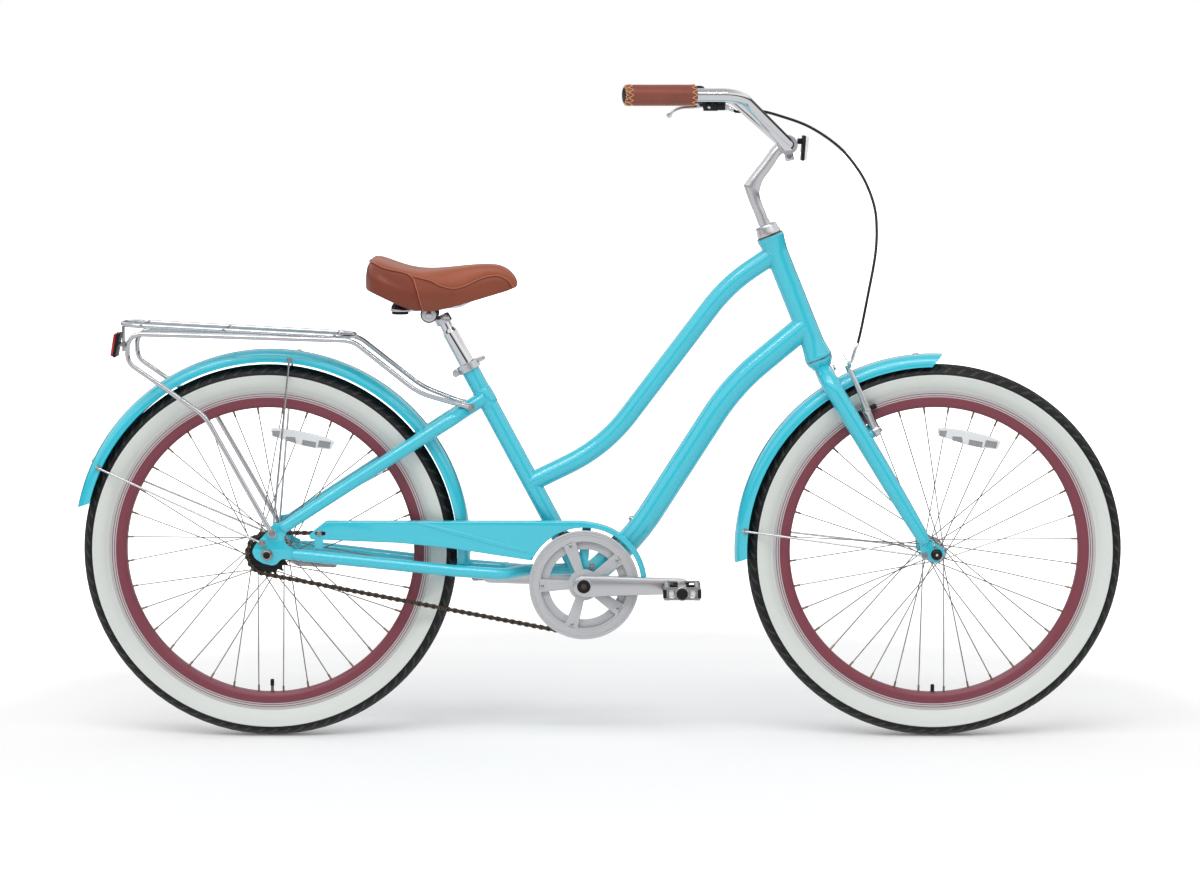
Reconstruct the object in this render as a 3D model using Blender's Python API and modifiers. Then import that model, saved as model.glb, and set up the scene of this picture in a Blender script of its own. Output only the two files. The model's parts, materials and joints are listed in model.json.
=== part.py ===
"""A step-through hybrid bike at its real size, in metres: +X forward, +Y to the rider's left, +Z up.

Places along X are measured from the rear axle. One empty carries the whole bike and centres it on the origin.
The drive side, with the chain, is the right side, at -Y."""

import math

import bmesh
import bpy
from mathutils import Matrix, Vector

# Overall driving dimensions
WHEELBASE = 1.168
WHEEL_RADIUS = 0.329
TYRE_WIDTH = 0.050
CLEARANCE = 0.0003
RUNNING_CLEARANCE = 0.0004

# Frame
BB_FORWARD = 0.553
BB_HEIGHT = 0.2745
SEAT_TUBE_ANGLE = 61.9
SEAT_TUBE_LENGTH = 0.436
SEAT_TUBE_RADIUS = 0.016
SEAT_BORE_BOTTOM = 0.120
HEAD_ANGLE = 68.0
HEAD_TUBE_LENGTH = 0.2306
HEAD_TUBE_RADIUS = 0.0202
HEAD_FLARE_RADIUS = 0.0242
HEAD_FLARE_HEIGHT = 0.030
HEAD_BORE_RADIUS = 0.0172
TOP_TUBE_RADIUS = 0.0172
TOP_TUBE_UP_SEAT = 0.1981
TOP_TUBE_DOWN_HEAD = 0.0306
TOP_TUBE_REAR_ANGLE = 25.98
TOP_TUBE_REAR_RUN = 0.1434
TOP_TUBE_REAR_BEND = 0.331
TOP_TUBE_FRONT_ANGLE = 33.70
TOP_TUBE_FRONT_RUN = 0.1015
TOP_TUBE_FRONT_BEND = 0.375
DOWN_TUBE_RADIUS = 0.0218
DOWN_TUBE_UP_HEAD = 0.0625
DOWN_TUBE_REAR_ANGLE = 41.0
DOWN_TUBE_REAR_RUN = 0.1177
DOWN_TUBE_REAR_BEND = 0.463
DOWN_TUBE_FRONT_ANGLE = 39.75
DOWN_TUBE_FRONT_RUN = 0.1644
DOWN_TUBE_FRONT_BEND = 0.400
BB_SHELL_RADIUS = 0.020
BB_SHELL_WIDTH = 0.068
BB_LIP = 0.004
CRANK_AXLE_RADIUS = 0.0085

# Rear triangle
REAR_DROPOUT_GAP = 0.112
DROPOUT_THICKNESS = 0.005
CHAINSTAY_RADIUS = 0.0105
CHAINSTAY_SPREAD = 0.0425
YOKE_RADIUS = 0.0100
YOKE_LENGTH = 0.112
SEATSTAY_FOOT_RADIUS = 0.0104
SEATSTAY_RADIUS = 0.0127
SEATSTAY_SPREAD = 0.0430
SEATSTAY_UP_SEAT = 0.3687
BRIDGE_RADIUS = 0.006
BRIDGE_BEHIND_TOP = 0.077338
BRIDGE_BELOW_TOP = 0.044740

# Wheels
RIM_RADIUS = 0.284
RIM_INNER_RADIUS = 0.253
RIM_WIDTH = 0.027
RIM_BED_WIDTH = 0.017
RIM_WALL = 0.0030
TYRE_WALL = 0.0032
TYRE_MOUTH = 0.020
SPOKE_RADIUS = 0.0010
SPOKES = 36
SPOKE_CROSSES = 3
WHEEL_STEPS = 28
SPOKE_PHASE = 9.5
FRONT_FLANGE_RADIUS = 0.0195
FRONT_FLANGE_SPREAD = 0.033
FRONT_HUB_RADIUS = 0.0125
REAR_FLANGE_RADIUS = 0.032
REAR_FLANGE_SPREAD = 0.029
REAR_HUB_RADIUS = 0.024
FLANGE_THICKNESS = 0.003
AXLE_RADIUS = 0.0048
AXLE_NUT_RADIUS = 0.0085
AXLE_NUT_HEIGHT = 0.0065
AXLE_CAP_RADIUS = 0.0100

# Drivetrain
CHAIN_PITCH = 0.0127
RING_TEETH = 44
COG_TEETH = 18
CHAIN_LINE = 0.044
SPROCKET_THICKNESS = 0.0030
CHAIN_SIDE_GAP = 0.0048
CHAIN_PLATE = 0.0014
CHAIN_HEIGHT = 0.0085
CHAIN_PIN_RADIUS = 0.0019
CHAIN_PIN_EVERY = 20
RING_BORE_RADIUS = 0.0620
GUARD_DISC_RADIUS = 0.096
GUARD_DISC_RIM = 0.020
GUARD_DISC_THICKNESS = 0.003
GUARD_ARM_WIDTH = 0.018
GUARD_ARMS = 5
GUARD_ARM_START = -35.0
RIVET_CIRCLE = 0.070
RIVET_RADIUS = 0.006
CRANK_LENGTH = 0.170
CRANK_BOSS_RADIUS = 0.0190
CRANK_END_RADIUS = 0.0135
CRANK_THICKNESS = 0.013
CRANK_INNER_FACE = 0.0590
PEDAL_LENGTH = 0.068
PEDAL_DEPTH = 0.085
PEDAL_HEIGHT = 0.024
PEDAL_SPINDLE_RADIUS = 0.005
PEDAL_BARREL_RADIUS = 0.0105

# Chain guard
CHAIN_GUARD_TOP = 0.1120
CHAIN_GUARD_OUTER = 0.1100
CHAIN_GUARD_INNER = 0.1005
CHAIN_GUARD_SHEET = 0.0015
CHAIN_GUARD_DEPTH = 0.0165
CHAIN_GUARD_NOSE = 0.071

# Steering
FORK_OFFSET = 0.0623
FORK_LENGTH = 0.3890
STEERER_RADIUS = 0.0127
FORK_DROPOUT_GAP = 0.100
BLADE_ANGLE = 59.0
BLADE_TOP_RADIUS = 0.0158
BLADE_TIP_RADIUS = 0.0112
BLADE_SPREAD = 0.0475
BLADE_BEND = 0.030
BLADE_TIP_UP = 0.0418
CROWN_DROP = 0.0240
STEM_RADIUS = 0.0112
STEM_INSERT = 0.090
STEM_KNEE_UP = 0.0940
STEM_REACH_ANGLE = 53.0
STEM_REACH = 0.0959
STEM_CLAMP_OUT = 0.0084
STEM_CLAMP_RADIUS = 0.0170
STEM_CLAMP_WIDTH = 0.044
HEADSET_NUT_RADIUS = 0.0215
HEADSET_NUT_HEIGHT = 0.0200
HEADSET_LIP = 0.0015
BAR_RADIUS = 0.0111
BAR_CENTRE_FLAT = 0.050
BAR_BEND_BACK = 0.0922
BAR_BEND_OUT = 0.235
BAR_RISE = 0.0860
BAR_BEND_RADIUS = 0.060
GRIP_SWEEP = 15.0
GRIP_FRONT = 0.0743
GRIP_LENGTH = 0.125
GRIP_RADIUS = 0.0174

# Brake
LEVER_TILT = 50.0
BRAKE_BOSS_UP = 0.2382
BLADE_BEHIND_AXLE = 0.0060
BRAKE_BOSS_OUT = 0.040
BRAKE_BOSS_LENGTH = 0.036
BRAKE_ARM_LENGTH = 0.1168
BRAKE_ARM_LEAN = 0.0145
PAD_GAP = 0.0026
CABLE_RADIUS = 0.0025
WIRE_RADIUS = 0.0008
CABLE_STEP = 0.039

# Fenders
FENDER_WIDTH = 0.058
FENDER_THICKNESS = 0.0015
FENDER_SKIRT = 0.022
FRONT_FENDER_RADIUS = 0.3470
FRONT_FENDER_SHIFT = (-0.0043, 0.0004)
FRONT_FENDER_START = 87.3
FRONT_FENDER_END = 183.4
REAR_FENDER_RADIUS = 0.3496
REAR_FENDER_SHIFT = (0.0033, 0.0067)
REAR_FENDER_START = -5.0
REAR_FENDER_END = 168.4
STAY_RADIUS = 0.0020

# Rack and reflectors
RACK_TUBE_RADIUS = 0.0043
RACK_SPREAD = 0.058
RACK_LOOP_SPREAD = 0.050
RACK_HEIGHT = 0.3745
RACK_FRONT = 0.152
RACK_TAIL = -0.2387
RACK_TAIL_DROP = 0.050
REFLECTOR_WIDTH = 0.045
REFLECTOR_HEIGHT = 0.043
REFLECTOR_DEPTH = 0.010
REFLECTOR_TILT = 10.0

# Saddle and seatpost
SEATPOST_RADIUS = 0.0135
SEATPOST_SHOWN = 0.0920
SEATPOST_INSERT = 0.140
SEATPOST_NECK_RADIUS = 0.0110
SEATPOST_NECK = 0.024
CLAMP_BAND = 0.0145
CLAMP_WALL = 0.0040
RAIL_SPREAD = 0.022
RAIL_RADIUS = 0.0035
SADDLE_WIDTH = 0.225
SADDLE_PADDING = 0.038
SADDLE_BASE_THICKNESS = 0.0045
BUMPER_SPREAD = 0.060
BUMPER_RADIUS = 0.0165

# Places that follow from the dimensions above
REAR_AXLE = Vector((0, 0, WHEEL_RADIUS))
FRONT_AXLE = Vector((WHEELBASE, 0, WHEEL_RADIUS))
BB = Vector((BB_FORWARD, 0, BB_HEIGHT))
LEFT, RIGHT = 1, -1
ACROSS = Vector((0, 1, 0))


def direction(degrees):
    """The unit vector at this angle above +X, in the side view."""
    return Vector((math.cos(math.radians(degrees)), 0, math.sin(math.radians(degrees))))


def side_point(x, z, y=0.0):
    return Vector((x, y, z))


SEAT_UP = direction(180 - SEAT_TUBE_ANGLE)
HEAD_UP = direction(180 - HEAD_ANGLE)
HEAD_AHEAD = direction(90 - HEAD_ANGLE)
AXIS_FOOT = FRONT_AXLE - HEAD_AHEAD * FORK_OFFSET
HEAD_BOTTOM = AXIS_FOOT + HEAD_UP * (FORK_LENGTH + HEADSET_LIP)
HEAD_TOP = HEAD_BOTTOM + HEAD_UP * HEAD_TUBE_LENGTH
FENDER_TAIL = (
    REAR_AXLE.x
    + REAR_FENDER_SHIFT[0]
    + REAR_FENDER_RADIUS * math.cos(math.radians(REAR_FENDER_END))
)
BIKE_CENTRE = (FENDER_TAIL + WHEELBASE + WHEEL_RADIUS) / 2
RING_RADIUS = CHAIN_PITCH / (2 * math.sin(math.pi / RING_TEETH))
COG_RADIUS = CHAIN_PITCH / (2 * math.sin(math.pi / COG_TEETH))

# The scene, with one collection for the parts and one for the shapes that cut or join them
for old in list(bpy.data.objects):
    bpy.data.objects.remove(old, do_unlink=True)

PARTS = bpy.data.collections.new("step_through_bike")
HELPERS = bpy.data.collections.new("cutters")
bpy.context.scene.collection.children.link(PARTS)
bpy.context.scene.collection.children.link(HELPERS)


def make_body(name, anchor, parent=None):
    """An empty on a joint's axis, which carries the pieces that turn with it."""
    empty = bpy.data.objects.new(name, None)
    empty.empty_display_size = 0.03
    PARTS.objects.link(empty)
    empty["anchor"] = list(anchor)
    if parent:
        empty.parent = parent
        empty.location = anchor - Vector(parent["anchor"])
    return empty


FRAME = make_body("bike_frame", Vector((0, 0, 0)))
FRAME.location.x = -BIKE_CENTRE

# Where each joint's axis passes
PEDAL_OUT = CRANK_INNER_FACE + CRANK_THICKNESS
STEERING = make_body("steering_axis", HEAD_BOTTOM, FRAME)
FRONT_WHEEL = make_body("front_wheel_axis", FRONT_AXLE, STEERING)
REAR_WHEEL = make_body("rear_wheel_axis", REAR_AXLE, FRAME)
DRIVER = make_body("driver_axis", REAR_AXLE, FRAME)
CRANKS = make_body("crank_axis", BB, FRAME)
PEDAL_EYE = {
    RIGHT: BB + Vector((CRANK_LENGTH, -PEDAL_OUT, 0)),
    LEFT: BB + Vector((-CRANK_LENGTH, PEDAL_OUT, 0)),
}
PEDALS = {
    RIGHT: make_body("pedal_axis_right", PEDAL_EYE[RIGHT], CRANKS),
    LEFT: make_body("pedal_axis_left", PEDAL_EYE[LEFT], CRANKS),
}
SEATPOST_TOP = BB + SEAT_UP * (SEAT_TUBE_LENGTH + SEATPOST_SHOWN)
SEAT_SLIDE = make_body("seatpost_axis", SEATPOST_TOP, FRAME)


# Materials
def make_material(name, colour, roughness, metallic=0.0):
    material = bpy.data.materials.new(name)
    material.use_nodes = True
    shader = material.node_tree.nodes["Principled BSDF"]
    shader.inputs["Base Color"].default_value = (*colour, 1)
    shader.inputs["Roughness"].default_value = roughness
    shader.inputs["Metallic"].default_value = metallic
    return material


LOOKS = {
    "paint": ((0.06, 0.60, 0.70), 0.25, 0.0),
    "rim_paint": ((0.17, 0.025, 0.04), 0.35, 0.0),
    "rubber": ((0.015, 0.015, 0.016), 0.75, 0.0),
    "leather": ((0.27, 0.065, 0.03), 0.45, 0.0),
    "chrome": ((0.75, 0.75, 0.76), 0.12, 1.0),
    "alloy": ((0.62, 0.62, 0.63), 0.30, 1.0),
    "steel": ((0.45, 0.45, 0.46), 0.35, 1.0),
    "dark_steel": ((0.06, 0.05, 0.045), 0.45, 1.0),
    "black_plastic": ((0.02, 0.02, 0.02), 0.50, 0.0),
    "clear_plastic": ((0.85, 0.86, 0.87), 0.15, 0.0),
    "red_plastic": ((0.50, 0.01, 0.01), 0.20, 0.0),
}


# Making and joining objects
def place(name, data, body, look=None):
    """A new object on a body, drawn in the bike's own coordinates, with its origin on the body's axis."""
    obj = bpy.data.objects.new(name, data)
    obj.parent = body
    anchor = Vector(body["anchor"])
    if look:
        PARTS.objects.link(obj)
        data.materials.append(make_material(name, *LOOKS[look]))
    else:
        HELPERS.objects.link(obj)
        obj.hide_render = True
        obj.display_type = "WIRE"
    obj.location = -anchor
    return obj


def settle(obj):
    """Makes an object a plain mesh with its origin on its body's axis."""
    bpy.context.view_layer.update()
    evaluated = obj.evaluated_get(bpy.context.evaluated_depsgraph_get())
    mesh = bpy.data.meshes.new_from_object(evaluated)
    made = bmesh.new()
    made.from_mesh(mesh)
    bmesh.ops.remove_doubles(made, verts=made.verts, dist=1e-6)
    made.to_mesh(mesh)
    made.free()
    mesh.transform(obj.matrix_local)
    mesh.materials.clear()
    for material in obj.data.materials:
        mesh.materials.append(material)
    mesh.shade_smooth()
    mesh.set_sharp_from_angle(angle=math.radians(35))
    name = obj.name
    obj.name = name + "_source"
    result = bpy.data.objects.new(name, mesh)
    result.parent = obj.parent
    for collection in list(obj.users_collection):
        collection.objects.link(result)
    result.hide_render = obj.hide_render
    result.display_type = obj.display_type
    bpy.data.objects.remove(obj)
    return result


def combine(obj, other, operation):
    modifier = obj.modifiers.new(operation.lower(), "BOOLEAN")
    modifier.object = other
    modifier.operation = operation
    return obj


def join(obj, *others):
    for other in others:
        combine(obj, other, "UNION")
    return obj


def cut(obj, *others):
    for other in others:
        combine(obj, other, "DIFFERENCE")
    return obj


# Curves and outlines
def fillet(corners, radii, steps=6, closed=False):
    """The points of a path through these corners, each rounded as far as its neighbours leave room."""
    count = len(corners)
    if not isinstance(radii, (list, tuple)):
        radii = [radii] * count
    points = []
    for i, corner in enumerate(corners):
        if not closed and i in (0, count - 1):
            points.append(Vector(corner))
            continue
        before = corners[i - 1] - corner
        after = corners[(i + 1) % count] - corner
        turn = math.pi - before.angle(after)
        if radii[i] <= 0 or turn < 1e-3:
            points.append(Vector(corner))
            continue
        reach = radii[i] * math.tan(turn / 2)
        reach = min(reach, 0.49 * before.length, 0.49 * after.length)
        radius = reach / math.tan(turn / 2)
        bisector = (before.normalized() + after.normalized()).normalized()
        centre = corner + bisector * (radius / math.cos(turn / 2))
        first = corner + before.normalized() * reach - centre
        axis = first.cross(corner + after.normalized() * reach - centre)
        for step in range(steps + 1):
            turned_point = Matrix.Rotation(turn * step / steps, 3, axis.normalized()) @ first
            points.append(centre + turned_point)
    return points


def smooth_route(points, spacing):
    """Evenly spaced points on a smooth curve through a cord's own points."""
    ends = [points[0] * 2 - points[1], *points, points[-1] * 2 - points[-2]]
    fine = []
    for a, b, c, d in zip(ends, ends[1:], ends[2:], ends[3:]):
        for step in range(12):
            t = step / 12
            fine.append(
                0.5
                * (
                    2 * b
                    + (c - a) * t
                    + (2 * a - 5 * b + 4 * c - d) * t**2
                    + (3 * b - a - 3 * c + d) * t**3
                )
            )
    fine.append(points[-1])
    route, travelled = [fine[0]], 0.0
    for a, b in zip(fine, fine[1:]):
        travelled += (b - a).length
        if travelled >= spacing:
            route.append(b)
            travelled = 0.0
    if (route[-1] - points[-1]).length < spacing / 2:
        route.pop()
    return [*route, points[-1]]


def tube(name, body, points, radius, look=None, sides=12):
    """A round bar along the points. The radius is one number, or one for each point."""
    radii = radius if isinstance(radius, (list, tuple)) else [radius] * len(points)
    curve = bpy.data.curves.new(name, "CURVE")
    curve.dimensions = "3D"
    curve.bevel_depth = 1.0
    curve.bevel_resolution = sides // 2 - 2
    curve.use_fill_caps = True
    spline = curve.splines.new("POLY")
    spline.points.add(len(points) - 1)
    for point, place_of, size in zip(spline.points, points, radii):
        point.co = (*place_of, 1)
        point.radius = size
    return settle(place(name, curve, body, look))


def plate(name, body, outline, near, far, look=None, holes=()):
    """A flat piece cut to an outline of side-view points, between two places across the bike."""
    curve = bpy.data.curves.new(name, "CURVE")
    curve.dimensions = "2D"
    curve.fill_mode = "BOTH"
    curve.extrude = abs(far - near) / 2
    for ring in (outline, *holes):
        spline = curve.splines.new("POLY")
        spline.use_cyclic_u = True
        spline.points.add(len(ring) - 1)
        for point, place_of in zip(spline.points, ring):
            point.co = (place_of.x, place_of.z, 0, 1)
    obj = place(name, curve, body, look)
    obj.rotation_euler.x = math.pi / 2
    obj.location.y += (near + far) / 2
    return settle(obj)


def circle(centre, radius, count=24, start=0.0, end=360.0):
    """Side-view points round a centre, without the last one where the circle closes."""
    whole = abs(end - start) >= 360
    steps = count if whole else count - 1
    return [
        side_point(centre.x, centre.z) + direction(start + (end - start) * i / steps) * radius
        for i in range(count)
    ]


def turned(name, body, profile, centre, axis, look=None, steps=16, closed=False):
    """A turned piece. The profile is (radius, height) from its top, down its outer side, along an axis."""
    mesh = bpy.data.meshes.new(name)
    made = bmesh.new()
    corners = [made.verts.new((radius, 0, height)) for radius, height in profile]
    pairs = list(zip(corners, corners[1:]))
    if closed:
        pairs.append((corners[-1], corners[0]))
    for pair in pairs:
        made.edges.new(pair)
    made.to_mesh(mesh)
    made.free()
    obj = place(name, mesh, body, look)
    screw = obj.modifiers.new("turn", "SCREW")
    screw.steps = steps
    screw.render_steps = steps
    screw.use_merge_vertices = True
    screw.merge_threshold = 1e-5
    rotation = Vector((0, 0, 1)).rotation_difference(axis)
    obj.rotation_mode = "QUATERNION"
    obj.rotation_quaternion = rotation
    obj.location += centre
    return settle(obj)


def rod(name, body, start, end, radius, look=None, steps=16):
    length = (end - start).length
    profile = [(0, length), (radius, length), (radius, 0), (0, 0)]
    return turned(name, body, profile, start, end - start, look, steps)


def ring(name, body, centre, axis, inner, outer, low, high, look=None, steps=24):
    profile = [(inner, high), (outer, high), (outer, low), (inner, low)]
    return turned(name, body, profile, centre, axis, look, steps, closed=True)


def block(name, body, centre, size, look=None, turn=None, bevel=0.0):
    """A box, turned about its centre if asked, with its edges bevelled."""
    mesh = bpy.data.meshes.new(name)
    made = bmesh.new()
    bmesh.ops.create_cube(made, size=1.0)
    bmesh.ops.scale(made, vec=size, verts=made.verts)
    if bevel:
        bmesh.ops.bevel(made, geom=list(made.edges), offset=bevel, segments=1, affect="EDGES")
    if turn:
        bmesh.ops.rotate(made, matrix=turn, verts=made.verts)
    bmesh.ops.translate(made, vec=centre, verts=made.verts)
    made.to_mesh(mesh)
    made.free()
    return settle(place(name, mesh, body, look))


def across(point, y):
    return Vector((point.x, y, point.z))


# The main frame
def sleeve_cutter(name, start, end, radius):
    return rod(name + "_clearance", FRAME, start, end, radius + CLEARANCE, steps=24)


def build_seat_tube():
    top = BB + SEAT_UP * SEAT_TUBE_LENGTH
    seat_tube = tube(
        "seat_tube", FRAME, [BB + SEAT_UP * BB_SHELL_RADIUS / 2, top], SEAT_TUBE_RADIUS, "paint", 16
    )
    bore = rod(
        "seat_tube_bore",
        FRAME,
        BB + SEAT_UP * SEAT_BORE_BOTTOM,
        top + SEAT_UP * 0.01,
        SEATPOST_RADIUS + RUNNING_CLEARANCE,
        steps=24,
    )
    shell = sleeve_cutter(
        "bb_shell_for_seat_tube", across(BB, -BB_SHELL_WIDTH), across(BB, BB_SHELL_WIDTH), BB_SHELL_RADIUS
    )
    cut(seat_tube, bore, shell)


def build_bottom_bracket():
    """The shell with its bearing cartridge screwed in, which shows as a narrower lip at each end."""
    half = BB_SHELL_WIDTH / 2
    inner = CRANK_AXLE_RADIUS + RUNNING_CLEARANCE
    lip = BB_SHELL_RADIUS - 0.002
    profile = [
        (inner, half + BB_LIP),
        (lip, half + BB_LIP),
        (lip, half),
        (BB_SHELL_RADIUS, half),
        (BB_SHELL_RADIUS, -half),
        (lip, -half),
        (lip, -half - BB_LIP),
        (inner, -half - BB_LIP),
    ]
    turned("bottom_bracket_shell", FRAME, profile, BB, ACROSS, "paint", 16, closed=True)


def build_head_tube():
    length = HEAD_TUBE_LENGTH
    profile = [
        (HEAD_BORE_RADIUS, length),
        (HEAD_FLARE_RADIUS, length),
        (HEAD_FLARE_RADIUS, length - HEAD_FLARE_HEIGHT / 5),
        (HEAD_TUBE_RADIUS, length - HEAD_FLARE_HEIGHT),
        (HEAD_TUBE_RADIUS, HEAD_FLARE_HEIGHT),
        (HEAD_FLARE_RADIUS, HEAD_FLARE_HEIGHT / 5),
        (HEAD_FLARE_RADIUS, 0),
        (HEAD_BORE_RADIUS, 0),
    ]
    turned("head_tube", FRAME, profile, HEAD_BOTTOM, HEAD_UP, "paint", 16, closed=True)


def build_headset():
    """Each cup sits in the head tube, with a thin lip between its end and the next piece."""
    for name, centre, axis in (
        ("headset_upper_cup", HEAD_TOP, HEAD_UP),
        ("headset_lower_cup", HEAD_BOTTOM, -HEAD_UP),
    ):
        inner = STEERER_RADIUS + RUNNING_CLEARANCE
        outer = HEAD_BORE_RADIUS - CLEARANCE
        lip = HEAD_FLARE_RADIUS - 0.0015
        profile = [
            (inner, HEADSET_LIP - CLEARANCE),
            (lip, HEADSET_LIP - CLEARANCE),
            (lip, CLEARANCE),
            (outer, CLEARANCE),
            (outer, -0.012),
            (inner, -0.012),
        ]
        turned(name, FRAME, profile, centre, axis, "steel", 16, closed=True)


def bent_tube_path(start, rear_angle, rear_run, rear_bend, end, front_angle, front_run, front_bend, inset):
    """A frame tube that leaves one tube and meets another at set angles, with a bend near each end."""
    rear, front = direction(rear_angle), direction(front_angle)
    corners = [start + rear * inset, start + rear * rear_run, end - front * front_run, end - front * inset]
    return fillet(corners, [0, rear_bend, front_bend, 0], steps=4)


def narrowed_ends(points, radius, start_radius, end_radius):
    """One radius along the tube, drawn in at both ends so that it hides inside the tubes that it meets."""
    return [start_radius] + [radius] * (len(points) - 2) + [end_radius]


def with_shoulders(points, near_start, near_end):
    """Adds a point this far from each end, where the full radius begins."""
    first = points[0] + (points[1] - points[0]).normalized() * near_start
    last = points[-1] + (points[-2] - points[-1]).normalized() * near_end
    return [points[0], first, *points[1:-1], last, points[-1]]


def build_top_tube():
    path = bent_tube_path(
        BB + SEAT_UP * TOP_TUBE_UP_SEAT,
        TOP_TUBE_REAR_ANGLE,
        TOP_TUBE_REAR_RUN,
        TOP_TUBE_REAR_BEND,
        HEAD_TOP - HEAD_UP * TOP_TUBE_DOWN_HEAD,
        TOP_TUBE_FRONT_ANGLE,
        TOP_TUBE_FRONT_RUN,
        TOP_TUBE_FRONT_BEND,
        SEAT_TUBE_RADIUS / 3,
    )
    path = with_shoulders(path, SEAT_TUBE_RADIUS, HEAD_TUBE_RADIUS)
    radii = narrowed_ends(path, TOP_TUBE_RADIUS, SEAT_TUBE_RADIUS * 0.93, HEAD_TUBE_RADIUS * 0.8)
    top_tube = tube("top_tube", FRAME, path, radii, "paint", 10)
    seat = sleeve_cutter("seat_tube_for_top_tube", BB, BB + SEAT_UP * SEAT_TUBE_LENGTH, SEAT_TUBE_RADIUS)
    cut(top_tube, seat, head_tube_cutter("head_tube_for_top_tube"))


def head_tube_cutter(name):
    length = HEAD_TUBE_LENGTH
    gap = CLEARANCE
    profile = [
        (0, length + gap),
        (HEAD_FLARE_RADIUS + gap, length + gap),
        (HEAD_FLARE_RADIUS + gap, length - HEAD_FLARE_HEIGHT / 5),
        (HEAD_TUBE_RADIUS + gap, length - HEAD_FLARE_HEIGHT),
        (HEAD_TUBE_RADIUS + gap, HEAD_FLARE_HEIGHT),
        (HEAD_FLARE_RADIUS + gap, HEAD_FLARE_HEIGHT / 5),
        (HEAD_FLARE_RADIUS + gap, -gap),
        (0, -gap),
    ]
    return turned(name, FRAME, profile, HEAD_BOTTOM, HEAD_UP, steps=24)


def build_down_tube():
    path = bent_tube_path(
        BB,
        DOWN_TUBE_REAR_ANGLE,
        DOWN_TUBE_REAR_RUN,
        DOWN_TUBE_REAR_BEND,
        HEAD_BOTTOM + HEAD_UP * DOWN_TUBE_UP_HEAD,
        DOWN_TUBE_FRONT_ANGLE,
        DOWN_TUBE_FRONT_RUN,
        DOWN_TUBE_FRONT_BEND,
        SEAT_TUBE_RADIUS / 3,
    )
    path = with_shoulders(path, BB_SHELL_RADIUS, HEAD_TUBE_RADIUS)
    radii = narrowed_ends(path, DOWN_TUBE_RADIUS, BB_SHELL_RADIUS * 0.9, HEAD_TUBE_RADIUS * 0.9)
    down_tube = tube("down_tube", FRAME, path, radii, "paint", 10)
    shell = sleeve_cutter(
        "bb_shell_for_down_tube", across(BB, -BB_SHELL_WIDTH), across(BB, BB_SHELL_WIDTH), BB_SHELL_RADIUS
    )
    seat = sleeve_cutter("seat_tube_for_down_tube", BB, BB + SEAT_UP * SEAT_TUBE_LENGTH, SEAT_TUBE_RADIUS)
    cut(down_tube, shell, seat, head_tube_cutter("head_tube_for_down_tube"))


# The rear triangle
DROPOUT_MID = REAR_DROPOUT_GAP / 2 + DROPOUT_THICKNESS / 2
SEATSTAY_START = REAR_AXLE + side_point(0.0315, 0.0492)
CHAINSTAY_START = REAR_AXLE + side_point(0.0490, 0.0005)
CHAINSTAY_BEND = BB + side_point(-0.142, 0.0170)
YOKE_START = BB + side_point(-YOKE_LENGTH, 0.0190)
YOKE_END = BB + side_point(-0.012, 0.0215)
SLOT_ANGLE = -37.6
SLOT_RADIUS = AXLE_RADIUS + CLEARANCE


def build_dropout(name, side):
    outline = [
        (0.0250, 0.0570),
        (0.0140, 0.0550),
        (0.0020, 0.0425),
        (-0.0087, 0.0308),
        (-0.0213, 0.0165),
        (-0.0266, 0.0057),
        (-0.0213, -0.0068),
        (-0.0087, -0.0149),
        (0.0083, -0.0193),
        (0.0163, -0.0170),
        (0.0250, -0.0080),
        (0.0306, -0.0077),
        (0.0469, -0.0095),
        (0.0469, 0.0111),
        (0.0360, 0.0156),
        (0.0300, 0.0250),
        (0.0305, 0.0330),
        (0.0358, 0.0402),
    ]
    points = [REAR_AXLE + side_point(x, z) for x, z in outline]
    near = side * REAR_DROPOUT_GAP / 2
    far = side * (REAR_DROPOUT_GAP / 2 + DROPOUT_THICKNESS)
    dropout = plate(name, FRAME, points, near, far, "paint")
    along = direction(SLOT_ANGLE)
    slot = circle(REAR_AXLE - along * 0.011, SLOT_RADIUS, 9, SLOT_ANGLE + 90, SLOT_ANGLE + 270)
    slot += [slot[-1] + along * 0.05, slot[0] + along * 0.05]
    cut(dropout, plate(name + "_slot", FRAME, slot, near - 0.01, near + 0.01))


def chainstay_path(side):
    """From the dropout, in beside the tyre, then round to the yoke on the centre line."""
    start = across(CHAINSTAY_START, side * DROPOUT_MID)
    beside_tyre = side_point(WHEEL_RADIUS, REAR_AXLE.z - 0.0310, side * CHAINSTAY_SPREAD)
    bend = across(CHAINSTAY_BEND, side * (CHAINSTAY_SPREAD - 0.003))
    return fillet(
        [start, beside_tyre, bend, across(YOKE_START + side_point(0.012, 0), 0)], [0, 0.2, 0.036, 0], 3
    )


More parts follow.
